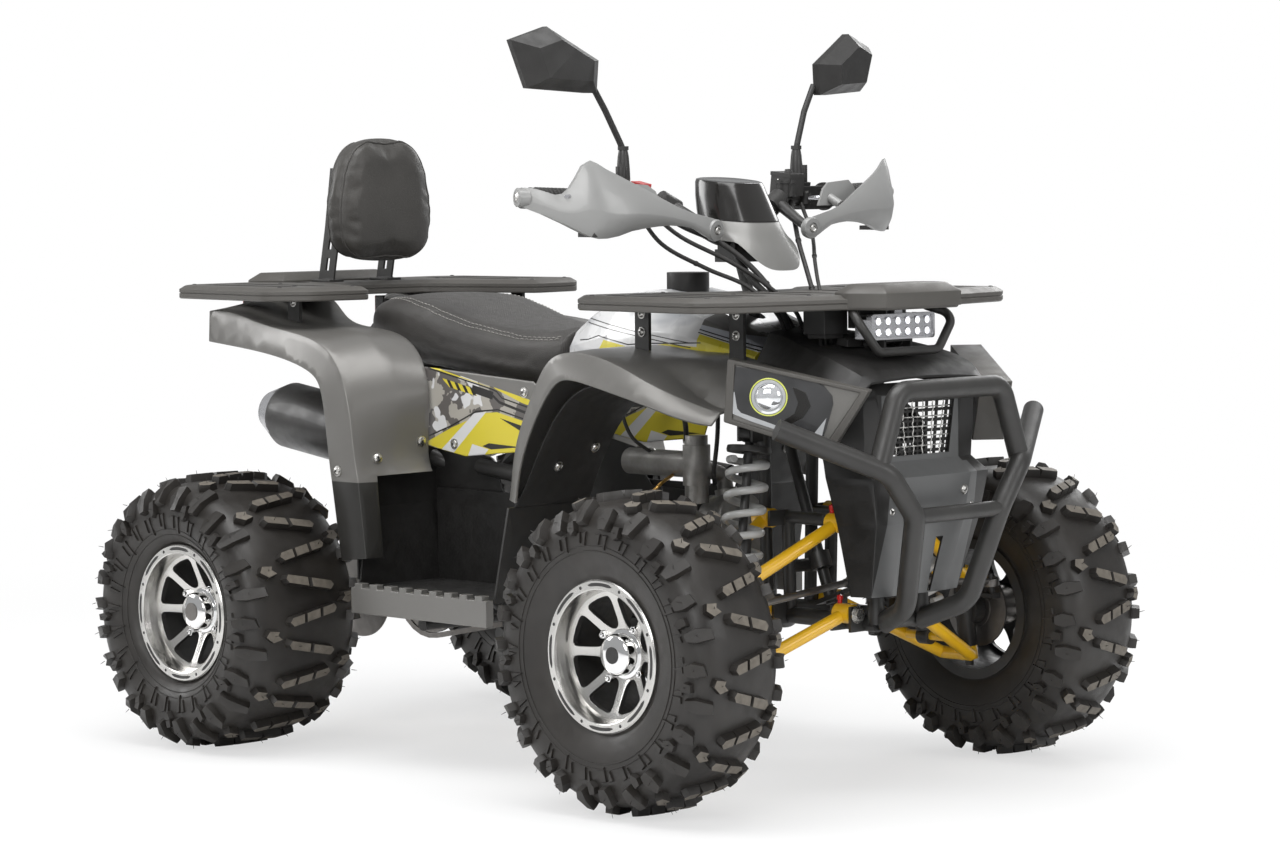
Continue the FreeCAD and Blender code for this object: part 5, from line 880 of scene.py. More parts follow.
def alloyWheel(name, body, centre, outward, halfWidth, alloy, replaced=None):
    w = wheelSet
    axis = Vector((0, outward, 0))
    centre = Vector(centre)

    def spot(along, radius, turn):
        return centre + axis * along + Vector((math.cos(turn) * radius, 0, math.sin(turn) * radius))

    barrel = Shape()
    lip = halfWidth - w["flangeThickness"]
    face = halfWidth + w["faceRise"]
    inlay = face + w["inlayRise"]
    front, back = halfWidth - w["discOuterDepth"], halfWidth - w["discInnerDepth"]
    levels = {"face": face, "lip": lip, "backLip": -lip, "back": -halfWidth, "middle": 0.0, "disc": front,
              "front": halfWidth}
    profile = [(levels[level] + rise, w[radius] + swell) for level, rise, radius, swell in w["profile"]]
    barrel.lathe(profile, centre, axis, 96)
    for index in range(len(barrel.faces)):
        if index % len(profile) in w["darkRings"]:
            barrel.kinds[index] = 1
    steps = w["slotSteps"]
    first, last = w["slotEnds"]
    mid = (w["slotInner"] + w["slotOuter"]) / 2
    for window in range(w["windows"]):
        middle = fullTurn * window / w["windows"]
        halfTurn = math.radians(w["slotHalfTurn"])
        strip = []
        for step in range(steps + 1):
            turn = middle - halfTurn + 2 * halfTurn * step / steps
            pinch = min(1.0, math.sin(math.pi * min(max(step / steps, first), last)) * w["slotPinch"])
            wide = (w["slotOuter"] - w["slotInner"]) / 2 * pinch
            strip += [spot(inlay, mid - wide, turn), spot(inlay, mid + wide, turn)]
        barrel.add(strip, [[2 * k, 2 * k + 1, 2 * k + 3, 2 * k + 2] for k in range(steps)], 1)
        hole = middle + math.pi / w["windows"]
        at = spot(inlay, mid, hole)
        disc = [at + Vector((math.cos(t) * w["holeRadius"], 0, math.sin(t) * w["holeRadius"]))
                for t in [fullTurn * k / 12 for k in range(12)]]
        barrel.add(disc, [list(range(12))], 1)
    barrelPiece = barrel.piece(name + "_barrel", [alloy, "engineBlack"], body, 0.0, 24)
    if replaced:
        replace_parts(barrelPiece, replaced)

    thick, bend = w["discThickness"], w["bendRound"]
    disc = Shape()
    disc.knob([(back, w["hubRadius"]), (front - bend, w["discBend"]), (front, w["discRim"]),
               (front - thick, w["discRim"]), (front - thick - bend, w["discBend"]),
               (back - thick, w["hubRadius"])], centre, axis, 96)
    discPiece = disc.piece(name + "_disc", [alloy, "engineBlack"], body, 0.0, 30)
    cutter = Shape()
    for window in range(w["windows"]):
        middle = fullTurn * (window + 0.5) / w["windows"]
        rows = smoothLine([Vector((radius, 0, wide)) for radius, wide in w["windowLine"]], 3)
        outline = [(p.x, p.z) for p in rows] + [(p.x, -p.z) for p in rows[-2:0:-1]]
        ring = []
        for radius, wide in outline:
            reach = Vector((radius * math.cos(middle) - wide * math.sin(middle), 0,
                            radius * math.sin(middle) + wide * math.cos(middle)))
            ring.append(centre + reach + axis * (back - w["cutFrom"]))
        cutter.prism(ring, axis * w["cutDepth"])
    cutBy(discPiece, cutter.piece(name + "_cutter", ["engineBlack"], body))
    mesh = discPiece.data
    for polygon in mesh.polygons:
        slanted = abs(polygon.normal.y) > w["faceSlant"]
        seen = (polygon.center - centre).dot(axis) > back - thick * w["faceShare"]
        polygon.material_index = 0 if slanted and seen and polygon.normal.y * outward > 0 else 1
    mesh.shade_smooth()
    mesh.set_sharp_from_angle(angle=math.radians(30))
    bevelled(discPiece, w["discBevel"], 40)

    hub = Shape()
    cap = halfWidth - w["capDepth"]
    hubEdge, capEdge = w["hubRadius"] + w["hubFlange"], w["capRadius"]
    foot, flange, neck = [back + rise for rise in w["hubFoot"]]
    hub.lathe([(foot, 0.0001), (foot, hubEdge), (flange, hubEdge), (neck, capEdge)]
              + [(cap + rise, capEdge * share + step) for rise, share, step in w["cap"]]
              + [(cap + w["capTop"], 0.0001)], centre, axis, 64)
    for nut in range(4):
        turn = math.pi / 4 + nut * math.pi / 2 + w["nutTurn"]
        foot = spot(back + w["nutFoot"], w["nutCircle"], turn)
        outline = [foot + Vector((math.cos(t) * w["nutRadius"], 0, math.sin(t) * w["nutRadius"]))
                   for t in [math.pi / 3 * k for k in range(6)]]
        hub.prism(outline, axis * w["nutHeight"])
        hub.lathe(w["nutTip"], foot, axis, 16)
    hub.piece(name + "_hub", ["chromePlate"], body, 0.0006, 40)
    rear = Shape()
    reach = w["hubReach"][0 if "front" in name else 1]
    inner = w["axleRadius"]
    low, high = w["sleeve"]
    rear.lathe([(-reach, inner), (-reach, low), (back - thick, high), (back - thick, inner)], centre, axis, 48)
    if "front" in name:
        rear.lathe([(w["drum"][0][0], inner)] + w["drum"], centre, axis, 64)
    rear.piece(name + "_back", ["darkSteel"], body, 0.0005, 40)


for side, name, place, rearPlace in wheelPlaces:
    alloyWheel("front_wheel_" + name, "front_wheel_" + name, place, side, 0.076, "frontAlloy", "front_rim_" + name)
    alloyWheel("rear_wheel_" + name, "rear_axle", rearPlace, side, 0.098, "rearAlloy",
               "rear_rims" if side < 0 else None)
print("wheels made")


# Coil springs, smooth wire with ground ends
coilSet = {
    "wire": 0.0060, "radius": 0.0284, "turns": 8.2, "footRise": 0.036, "headDrop": 0.028, "turnSteps": 20,
    "flatShare": 0.06, "woundShare": 0.88, "lowest": 0.03, "climb": 0.94,
}


def coil(shape, foot, head):
    foot, head = Vector(foot), Vector(head)
    along = (head - foot).normalized()
    low = foot + along * (coilSet["footRise"] + coilSet["wire"])
    high = head - along * (coilSet["headDrop"] + coilSet["wire"])
    turn, radius = turnedTo(along), coilSet["radius"]
    length = (high - low).length
    path = []
    steps = int(coilSet["turns"] * coilSet["turnSteps"])
    for step in range(steps + 1):
        share = step / steps
        wound = min(max((share - coilSet["flatShare"]) / coilSet["woundShare"], 0.0), 1.0)
        rise = length * (coilSet["lowest"] + coilSet["climb"] * wound)
        angle = fullTurn * coilSet["turns"] * share
        path.append(low + turn @ Vector((math.cos(angle) * radius, math.sin(angle) * radius, rise)))
    shape.tube(path, coilSet["wire"], 10)


springEnds = [((0.4960, -0.222, 0.2171), (0.4804, -0.165, 0.552)),
              ((0.4960, 0.222, 0.2171), (0.4804, 0.165, 0.552)),
              ((-0.3672, 0.0, 0.2385), (-0.3113, 0.0, 0.522))]
coils = Shape()
for foot, head in springEnds:
    coil(coils, foot, head)
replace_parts(coils.piece("coil_springs", ["springPaint"], "chassis", 0.0, 60), "springs")
sleeveSet = {
    "sleeve": [(0.034, 0.0152), (0.034, 0.0215), (0.110, 0.0215), (0.113, 0.0185), (0.150, 0.0185),
               (0.150, 0.0152)],
    "ribs": (0.046, 0.054, 0.062, 0.070), "ribWidth": 0.004, "ribRadii": (0.0210, 0.0228),
    "collar": [(-0.030, 0.0120), (-0.030, 0.0335), (-0.026, 0.0345), (-0.020, 0.0335), (-0.019, 0.0120)],
}
damperDress = Shape()
for foot, head in springEnds:
    foot, head = Vector(foot), Vector(head)
    along = (head - foot).normalized()
    damperDress.lathe(sleeveSet["sleeve"], foot, along, 32)
    low, high = sleeveSet["ribRadii"]
    for rise in sleeveSet["ribs"]:
        end = rise + sleeveSet["ribWidth"]
        damperDress.lathe([(rise, low), (rise, high), (end, high), (end, low)], foot, along, 32)
    damperDress.lathe(sleeveSet["collar"], head, along, 32)
damperDress.piece("damper_sleeves", ["engineBlack"], "chassis", 0.0005, 40)
print("springs made")


# Button-head screws with a washer and a hexagon socket; the socket is a flat hexagon in its own finish, dark on
# the body screws: painted shade for the recess
screwSet = {
    "profile": [                # rise in metres and in radii, reach in radii
        (-0.001, 0, 0), (-0.001, 0, 1.28), (0.0008, 0, 1.28), (0.0010, 0, 1.0), (0, 0.42, 0.90),
        (0, 0.62, 0.60), (0, 0.68, 0.34), (0, 0.52, 0.30), (0, 0.50, 0)],
    "least": 0.0001, "socket": 0.33, "socketRise": 0.56, "socketTurn": 0.3,
}


def screw(shape, place, axis, radius, kind=0, socketKind=1):
    place, axis = Vector(place), Vector(axis).normalized()
    shape.lathe([(rise + radius * share, max(radius * wide, screwSet["least"]))
                 for rise, share, wide in screwSet["profile"]], place, axis, 24, kind)
    turn, wide = turnedTo(axis, screwSet["socketTurn"]), screwSet["socket"]
    ring = [Vector((math.cos(math.pi * k / 3) * radius * wide, math.sin(math.pi * k / 3) * radius * wide,
                    radius * screwSet["socketRise"])) for k in range(6)]
    # The socket is no recess but a flat hexagon face in the socket finish: its dark colour is painted shade
    shape.add([place + turn @ corner for corner in ring], [list(range(6))], socketKind)


def bothScrews(shape, spots, **settings):
    for place, axis in spots:
        screw(shape, place, axis, **settings)
        screw(shape, (place[0], -place[1], place[2]), (axis[0], -axis[1], axis[2]), **settings)


# Screws of the right side, copied to the left: radius, then place and axis
screwRows = [
    ("body_screws", "chassis", [
        (0.0068, [((-0.2671, -0.3552, 0.469), (0.03, -1.0, 0.06)),
                  ((-0.2178, -0.3121, 0.490), (0.96, -0.21, 0.21)),
                  ((-0.2062, -0.2267, 0.5134), (0.98, -0.16, -0.12)),
                  ((0.1560, -0.2605, 0.4916), (0.91, 0.03, -0.42)),
                  ((0.1688, -0.1923, 0.5182), (0.88, 0.0, -0.48)), ((-0.148, -0.2063, 0.510), (0, -1, 0)),
                  ((0.020, -0.2063, 0.600), (0, -1, 0))]),
        (0.0060, [((0.3008, -0.2182, 0.732), (0, -1, 0)), ((0.3008, -0.2182, 0.704), (0, -1, 0)),
                  ((0.4551, -0.1682, 0.732), (0, -1, 0)), ((0.4551, -0.1682, 0.700), (0, -1, 0)),
                  ((-0.4909, -0.2582, 0.736), (0, -1, 0)), ((0.7090, -0.066, 0.4644), (1.0, 0.0, -0.09)),
                  ((0.7006, -0.090, 0.440), (0.92, -0.38, -0.1))])]),
    ("guard_screws", "steering", [(0.0040, [((0.3365, -0.2050, 0.8930), (0.8, -0.1, -0.6))])]),
]
for name, body, groups in screwRows:
    screws = Shape()
    for radius, spots in groups:
        bothScrews(screws, spots, radius=radius)
    screws.piece(name, ["brightSteel", "engineBlack"], body, 0.0, 35)
print("screws made")


# Headlamps: dark lens with a projector in a halo ring, pale bezel strips, a facet and a thin black crescent of
# painted shade beside the projector
lampSet = {
    "centre": (0.6230, -0.2325, 0.6022), "across": (0.7870, 0.5763, -0.2200), "facing": (0.5908, -0.8068, 0.0),
    "upward": (0.1775, 0.1300, 0.9755),
    "back": [(-90, 43), (-76, -38), (65, -48), (101, 43)],
    "lens": [(-90, 41), (-40, 45), (20, 47), (46, 42), (62, 30), (66, 18), (64, -20), (60, -44), (30, -43),
             (-8, -38), (-50, -34), (-76, -30), (-80, -18), (-86, 10)],
    "strip": [(-89, 3), (-82, 3), (-73, -20), (-66, -25), (-8, -32), (24, -38), (20, -43), (-10, -38), (-50, -34),
              (-78, -29)],
    "facet": [(42, -41), (60, -4), (59, -42)],
    # The last outline is a black crescent laid on the lens: painted shade, not a part of the lamp
    "paintedShade": [(0, 30), (22, 26), (34, 8), (26, -12), (2, -32), (-10, -30), (12, -8), (14, 8)],
    "halo": (-30.8, 7.0), "haloRadius": 27.5,
}


def lampSpot(u, v, rise):
    spot = Vector(lampSet["centre"]) + Vector(lampSet["across"]) * (u / 1000)
    return spot + Vector(lampSet["upward"]) * (v / 1000) + Vector(lampSet["facing"]) * (rise / 1000)


facing = Vector(lampSet["facing"])
lamp = Shape()
lamp.prism([lampSpot(u, v, -41) for u, v in lampSet["back"]], facing * 0.0405, 2)
lamp.prism([lampSpot(u, v, -3) for u, v in lampSet["lens"]], facing * 0.0050, 0, 0.985)
# The crescent sheet in the smoked finish (kind 5) is painted shade on the lens
for part, thick, kind in (("strip", 0.0010, 1), ("facet", 0.0010, 1), ("paintedShade", 0.0007, 5)):
    lamp.prism([lampSpot(u, v, 1.6) for u, v in lampSet[part]], facing * thick, kind)
u, v = lampSet["halo"]
ringLine = [lampSpot(u + math.cos(t) * lampSet["haloRadius"], v + math.sin(t) * lampSet["haloRadius"], 2.6)
            for t in [fullTurn * k / 48 for k in range(49)]]
lamp.tube(ringLine, 0.0011, 8, 3)
middle = lampSpot(u, v, 0)
lamp.lathe([(0.0020, 0.0262), (0.0040, 0.0255), (0.0030, 0.0215), (0.0015, 0.0205)], middle, facing, 48, 1)
lamp.lathe([(0.0018, 0.0001), (0.0018, 0.0208), (0.0050, 0.0190), (0.0085, 0.0140), (0.0102, 0.0070),
            (0.0106, 0.0001)], middle, facing, 40, 4)
lamp.mirroredCopy()
lampPiece = lamp.piece("headlamp_lenses", ["lampLens", "paleLens", "gunmetalPlastic", "haloGlow", "projectorGlass",
                                           "smokedShell"], "chassis", 0.0004, 30)
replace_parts(lampPiece, "headlamps")
print("headlamps made")


# Work lamp: finned black body, silver frame and two rows of six lights
workSet = {"face": 0.6452, "level": 0.7135, "halfWidth": 0.0705, "halfHeight": 0.0188, "cellPitch": 0.0222,
           "rowGap": 0.0082}


def roundedLine(halfWide, halfTall, corner, steps=5):
    line = []
    for cy, cz, start in ((1, 1, 0), (-1, 1, 90), (-1, -1, 180), (1, -1, 270)):
        for step in range(steps + 1):
            turn = math.radians(start + 90 * step / steps)
            line.append((cy * (halfWide - corner) + corner * math.cos(turn),
                         cz * (halfTall - corner) + corner * math.sin(turn)))
    return line


workLamp = Shape()
outer = roundedLine(workSet["halfWidth"] + 0.0012, workSet["halfHeight"] + 0.0008, 0.005)
inner = roundedLine(workSet["halfWidth"] - 0.0035, workSet["halfHeight"] - 0.0028, 0.004)
rings = []
for line, x in ((outer, -0.010), (outer, 0.0010), (inner, 0.0012), (inner, -0.0018)):
    rings.append([Vector((workSet["face"] + x, y, workSet["level"] + z)) for y, z in line])
workLamp.rings(rings, 0, False)
for row in (-1, 1):
    for column in range(6):
        at = Vector((workSet["face"] - 0.0016, (column - 2.5) * workSet["cellPitch"],
                     workSet["level"] + row * workSet["rowGap"]))
        workLamp.lathe([(0.0, 0.0068), (0.0022, 0.0071), (0.0022, 0.0064), (0.0006, 0.0056)], at, forward, 20, 0)
        workLamp.lathe([(0.0006, 0.0001), (0.0006, 0.0058), (0.0016, 0.0044), (0.0020, 0.0001)], at, forward,
                       16, 1)
lampBoxes = [((-0.024, (index - 4) * 0.0150, 0.0168), (0.0100, 0.0018, 0.0020)) for index in range(9)]
lampBoxes += [((-0.018, 0.0, -0.0205), (0.010, 0.030, 0.0030)),
              ((-0.018, -0.030, -0.028), (0.008, 0.0024, 0.0100)),
              ((-0.018, 0.030, -0.028), (0.008, 0.0024, 0.0100))]
for (x, y, z), half in lampBoxes:
    workLamp.box((workSet["face"] + x, y, workSet["level"] + z), half, None, 2)
workLamp.piece("work_lamp_face", ["lampSilver", "ledGlow", "engineBlack"], "chassis", 0.0005, 35)
print("work lamp made")


# Grille: pale woven wires in front of the dark lattice
wires = Shape()
grilleSet = {"x": 0.6735, "foot": (0.068, 0.518), "top": (0.083, 0.606), "columns": 7, "rows": 6, "wave": 0.0011}


# A wire's spot at a share of the width and a share of the height, woven a little forward or back
def wireSpot(share, t, wave):
    (footHalf, footLevel), (topHalf, topLevel) = grilleSet["foot"], grilleSet["top"]
    half = footHalf + (topHalf - footHalf) * t
    level = footLevel + (topLevel - footLevel) * t
    return Vector((grilleSet["x"] + wave * grilleSet["wave"], half * share, level))


columns, rows = grilleSet["columns"], grilleSet["rows"]
for index in range(columns + 1):
    share = index / columns * 2 - 1
    wires.tube([wireSpot(share, step / 24, math.sin(math.pi * (step / 24 * rows * 2 + index)))
                for step in range(25)], 0.0011, 6)
for index in range(rows + 1):
    wires.tube([wireSpot(step / 32 * 2 - 1, index / rows, -math.sin(math.pi * (step / 32 * columns * 2 + index)))
                for step in range(33)], 0.0011, 6)
wires.piece("grille_wires", ["brightSteel"], "chassis", 0.0, 60)
print("grille made")


# Handlebar ends: ribbed grips, levers, a brake reservoir and switches
gripSet = {
    "inner": (0.2385, 0.262, 0.9070), "outer": (0.2245, 0.380, 0.9114), "ribs": 14,
    "hand": (0.2475, 0.196, 0.9045),
    "lever": [(0.012, 0, 0.0), (0.040, 0.012, 0.002), (0.050, 0.045, 0.003), (0.043, 0.100, 0.006),
              (0.040, 0.150, 0.008), (0.046, 0.172, 0.010)],
}
grips = Shape()
for side in (-1, 1):
    a, b, hand = [Vector((x, side * y, z)) for x, y, z in (gripSet["inner"], gripSet["outer"], gripSet["hand"])]
    along = (b - a).normalized()
    length = (b - a).length
    profile = [(0.0, 0.0115), (0.0, 0.0230), (0.004, 0.0230), (0.005, 0.0172)]
    for rib in range(gripSet["ribs"]):
        start = 0.008 + rib * (length - 0.016) / gripSet["ribs"]
        profile += [(start, 0.0163), (start + 0.0015, 0.0176), (start + 0.0045, 0.0176), (start + 0.006, 0.0163)]
    profile += [(length, 0.0170), (length, 0.0115)]
    grips.lathe(profile, a, along, 40, 0)
    lever = smoothLine([hand + Vector((x, side * y, z)) for x, y, z in gripSet["lever"]], 6)
    grips.tube(lever, [0.0060] * (len(lever) - 3) + [0.0056, 0.0062, 0.0045], 10, 1, True, 0.62)
    pivot = hand + Vector((0.014, 0, 0))
    grips.knob([(-0.009, 0.0085), (0.009, 0.0085)], pivot, up, 20, 2)
    grips.knob([(0.009, 0.0045), (0.012, 0.0045)], pivot, up, 6, 3)
grips.lathe([(0.0, 0.0001), (0.0, 0.0150), (0.020, 0.0155), (0.021, 0.0170), (0.026, 0.0170), (0.027, 0.0001)],
            (0.262, 0.150, 0.908), up, 32, 2)
for x, y in ((0.252, 0.142), (0.272, 0.158)):
    grips.knob([(0.027, 0.0022), (0.0285, 0.0018)], (x, y, 0.908), up, 10, 3)
grips.box((0.2475, -0.165, 0.926), (0.010, 0.013, 0.0075), turnedTo((0.2, 0, 1)), 4)
grips.box((0.2475, 0.205, 0.928), (0.008, 0.009, 0.004), turnedTo((0.2, 0, 1)), 2)
for y, kind in ((-0.240, 4), (-0.228, 3)):
    grips.box((0.2420, y, 0.9265), (0.006, 0.0045, 0.0025), turnedTo((0.1, 0, 1)), kind)
grips.piece("grips_and_levers", ["blackRubber", "lampSilver", "engineBlack", "brightSteel", "redPlastic"],
            "steering", 0.0006, 35)
print("grips made")


# Closed outline set inward by a distance: each corner moves to where its two moved edges meet
def insetLoop(points, distance):
    area = sum(a.x * b.y - b.x * a.y for a, b in zip(points, points[1:] + points[:1]))
    turn = 1 if area > 0 else -1
    moved = []
    for index, point in enumerate(points):
        before, after = points[index - 1], points[(index + 1) % len(points)]
        first, second = (point - before).normalized(), (after - point).normalized()
        firstSide, secondSide = Vector((-first.y, first.x)) * turn, Vector((-second.y, second.x)) * turn
        middle = (firstSide + secondSide).normalized()
        moved.append(point + middle * (distance / max(middle.dot(firstSide), 0.35)))
    return moved


# A closed outline from its right half
def bothHalves(half):
    return [Vector(spot) for spot in half] + [Vector((x, -y)) for x, y in half[::-1] if abs(y) > 0.0001]


def roundedCorners(points, reach, steps=3):
    line = []
    for index, point in enumerate(points):
        before, after = points[index - 1], points[(index + 1) % len(points)]
        start = point + (before - point).normalized() * min(reach, (before - point).length * 0.4)
        end = point + (after - point).normalized() * min(reach, (after - point).length * 0.4)
        for step in range(steps + 1):
            t = step / steps
            line.append(start * (1 - t) ** 2 + point * (2 * t * (1 - t)) + end * t * t)
    return line


# Racks: a plate with a chamfered edge and a turned-down lip, long slots in shallow pockets and a raised block
rackSet = {
    "lip": [(0.0065, 0.7485), (0.0055, 0.7405), (0.0018, 0.7405), (0.0, 0.7425), (0.0, 0.7490), (0.0016, 0.7496),
            (0.0016, 0.7506), (0.0, 0.7512), (0.0, 0.7565), (0.0095, 0.7622), (0.0125, 0.7630)],
    "under": 0.7485, "top": 0.7630, "slotHalf": 0.0055, "pocketHalf": 0.0125, "pocketDepth": 0.0035,
    "front": [(0.338, 0.0), (0.333, -0.070), (0.267, -0.150), (0.244, -0.300), (0.2825, -0.335), (0.546, -0.352),
              (0.587, -0.300), (0.628, -0.110), (0.688, -0.084), (0.688, 0.0)],
    "rear": [(-0.590, 0.0), (-0.575, -0.105), (-0.499, -0.140), (-0.372, -0.190), (-0.387, -0.300),
             (-0.448, -0.358), (-0.712, -0.330), (-0.748, -0.280), (-0.748, 0.0)],
    "frontSlots": [(0.310, 0.545, 0.200), (0.310, 0.545, 0.250), (0.404, 0.560, 0.050), (0.404, 0.560, 0.110),
                   (0.310, 0.530, 0.300)],
    "rearSlots": [(-0.692, -0.458, 0.220), (-0.692, -0.458, 0.280), (-0.722, -0.631, 0.040),
                  (-0.722, -0.631, 0.110)],
    "frontScrews": [(0.296, -0.318), (0.300, -0.170), (0.452, -0.170), (0.545, -0.322), (0.590, -0.150),
                    (0.375, -0.322)],
    "rearScrews": [(-0.445, -0.325), (-0.400, -0.205), (-0.491, -0.255), (-0.620, -0.180), (-0.710, -0.295)],
}


def slotLine(low, high, side, half):
    middle = [Vector((high - half, side)), Vector((low + half, side))]
    line = []
    for centre, start in zip(middle, (-90, 90)):
        for step in range(9):
            turn = math.radians(start + 180 * step / 8)
            line.append(centre + Vector((math.cos(turn), math.sin(turn))) * half)
    return line


def levelRings(lines):
    return [[Vector((p.x, p.y, level)) for p in line] for line, level in lines]


def rackPiece(name, node, end, block, blockTop):
    slots, screws = rackSet[end + "Slots"], rackSet[end + "Screws"]
    outline = roundedCorners(bothHalves(rackSet[end]), 0.014, 3)
    plate = Shape()
    plate.rings(levelRings([(insetLoop(outline, inset), level) for inset, level in rackSet["lip"]]))
    made = plate.piece(name, ["rackPlastic", "brightSteel", "engineBlack"], None, 0.0, 24)
    for half, low in ((rackSet["pocketHalf"], rackSet["top"] - rackSet["pocketDepth"]),
                      (rackSet["slotHalf"], rackSet["under"] - 0.006)):
        cutter = Shape()
        for first, last, side in slots:
            for sign in (-1, 1):
                line = slotLine(first, last, sign * side, half)
                cutter.prism([Vector((p.x, p.y, low)) for p in line], up * 0.03)
        cutBy(made, cutter.piece("rackCutter", ["engineBlack"], None))
    extra = Shape()
    foot = roundedCorners(bothHalves(block), 0.008, 2)
    head = roundedCorners(bothHalves(blockTop), 0.008, 2)
    levels = [(foot, 0.7440), (foot, 0.7655), (insetLoop(foot, 0.0008), 0.7668), (head, 0.7782),
              (insetLoop(head, 0.0025), 0.7790)]
    extra.rings(levelRings(levels))
    spots = [((x, y, rackSet["top"] - 0.0016), (0, 0, 1)) for x, y in screws]
    bothScrews(extra, spots, radius=0.0046, kind=2, socketKind=2)
    extra.piece(name + "_block", ["rackPlastic", "brightSteel", "engineBlack"], "chassis", 0.0009, 30)
    made.data.shade_smooth()
    made.data.set_sharp_from_angle(angle=math.radians(24))
    bevelled(made, 0.0007, 40)
    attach(made, "chassis")
    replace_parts(made, node)


rackPiece("front_rack_plate", "front_rack", "front",
          [(0.586, 0.0), (0.590, -0.096), (0.626, -0.1135), (0.6895, -0.0865), (0.6895, 0.0)],
          [(0.600, 0.0), (0.604, -0.080), (0.632, -0.094), (0.672, -0.074), (0.672, 0.0)])
rackPiece("rear_rack_plate", "rear_rack", "rear",
          [(-0.7495, 0.0), (-0.7495, -0.150), (-0.676, -0.128), (-0.672, 0.0)],
          [(-0.738, 0.0), (-0.738, -0.134), (-0.690, -0.112), (-0.686, 0.0)])
print("racks made")


# Bar cowl: a raked barrel with a smoked top shell, a split line and a flaring grey skirt open below
cowlSet = {
    "rings": [(0.2790, 0.9350, 0.036, 0.038, 0), (0.2790, 0.9362, 0.044, 0.046, 0),
              (0.2790, 0.9350, 0.0478, 0.0495, 0),
              (0.2800, 0.9300, 0.0500, 0.0515, 0), (0.2865, 0.9080, 0.0545, 0.0555, 0),
              (0.2950, 0.8850, 0.0585, 0.0590, 0), (0.2985, 0.8765, 0.0598, 0.0602, 0),
              (0.2988, 0.8757, 0.0592, 0.0597, 2), (0.2992, 0.8745, 0.0592, 0.0597, 2),
              (0.2995, 0.8732, 0.0604, 0.0608, 1), (0.3050, 0.8600, 0.0640, 0.0622, 1)],
    "skirt": [(0.3130, 0.0690, 0.0640, 0.35), (0.3220, 0.0735, 0.0655, 0.72), (0.3270, 0.0755, 0.0660, 1.0)],
    "frontLow": 0.802, "sideLow": 0.842, "backLow": 0.836, "skirtTop": 0.860, "steps": 72, "square": 2.5,
    "wall": 0.0028, "rake": 0.10, "dials": 0.020,
}


def cowlRing(centre, level, long, wide, share=None):
    ring = []
    for step in range(cowlSet["steps"]):
        turn = fullTurn * step / cowlSet["steps"]
        c, s = math.cos(turn), math.sin(turn)
        x = math.copysign(abs(c) ** (2 / cowlSet["square"]), c) * long
        y = math.copysign(abs(s) ** (2 / cowlSet["square"]), s) * wide
        z = level
        if share is not None:
            foot = cowlSet["frontLow"] if c > 0 else cowlSet["backLow"]
            foot += (cowlSet["sideLow"] - foot) * min(1.0, abs(s) ** 3 * 1.15)
            z = level + (foot - level) * share
        ring.append(Vector((centre + x, y, z - x * cowlSet["rake"])))
    return ring


cowl = Shape()
rows = [cowlRing(centre, level, long, wide) for centre, level, long, wide, kind in cowlSet["rings"]]
kinds = [ring[4] for ring in cowlSet["rings"]]
for centre, long, wide, share in cowlSet["skirt"]:
    rows.append(cowlRing(centre, cowlSet["skirtTop"], long, wide, share))
    kinds.append(1)
for centre, long, wide, share in cowlSet["skirt"][::-1]:
    rows.append(cowlRing(centre, cowlSet["skirtTop"], long - cowlSet["wall"], wide - cowlSet["wall"],
                         min(share, 0.99)))
    kinds.append(2)
rows.append(cowlRing(0.3040, 0.8600, 0.0530, 0.0510))
kinds.append(2)
cowl.rings(rows)
steps = cowlSet["steps"]
for row in range(len(rows) - 1):
    for index in range(steps):
        cowl.kinds[row * steps + index] = kinds[row + 1] if kinds[row] == 2 else kinds[row]
cowl.kinds[-1] = 2
cowlPiece = cowl.piece("bar_shell", ["smokedShell", "cowlGrey", "engineBlack"], "steering", 0.0, 32)
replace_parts(cowlPiece, "bar_cowl")
dial = Shape()
dial.box((0.296, 0.0, 0.850), (0.024, 0.030, 0.020), turnedTo((0.25, 0, 1)), 0)
for y in (-cowlSet["dials"], cowlSet["dials"]):
    dial.lathe([(0.0, 0.0001), (0.0, 0.0070), (0.004, 0.0070), (0.005, 0.0001)], (0.322, y, 0.838),
               (0.9, 0, 0.3), 20, 1)
dial.piece("bar_clamp_block", ["engineBlack", "brightSteel"], "steering", 0.002, 35)
print("cowl made")


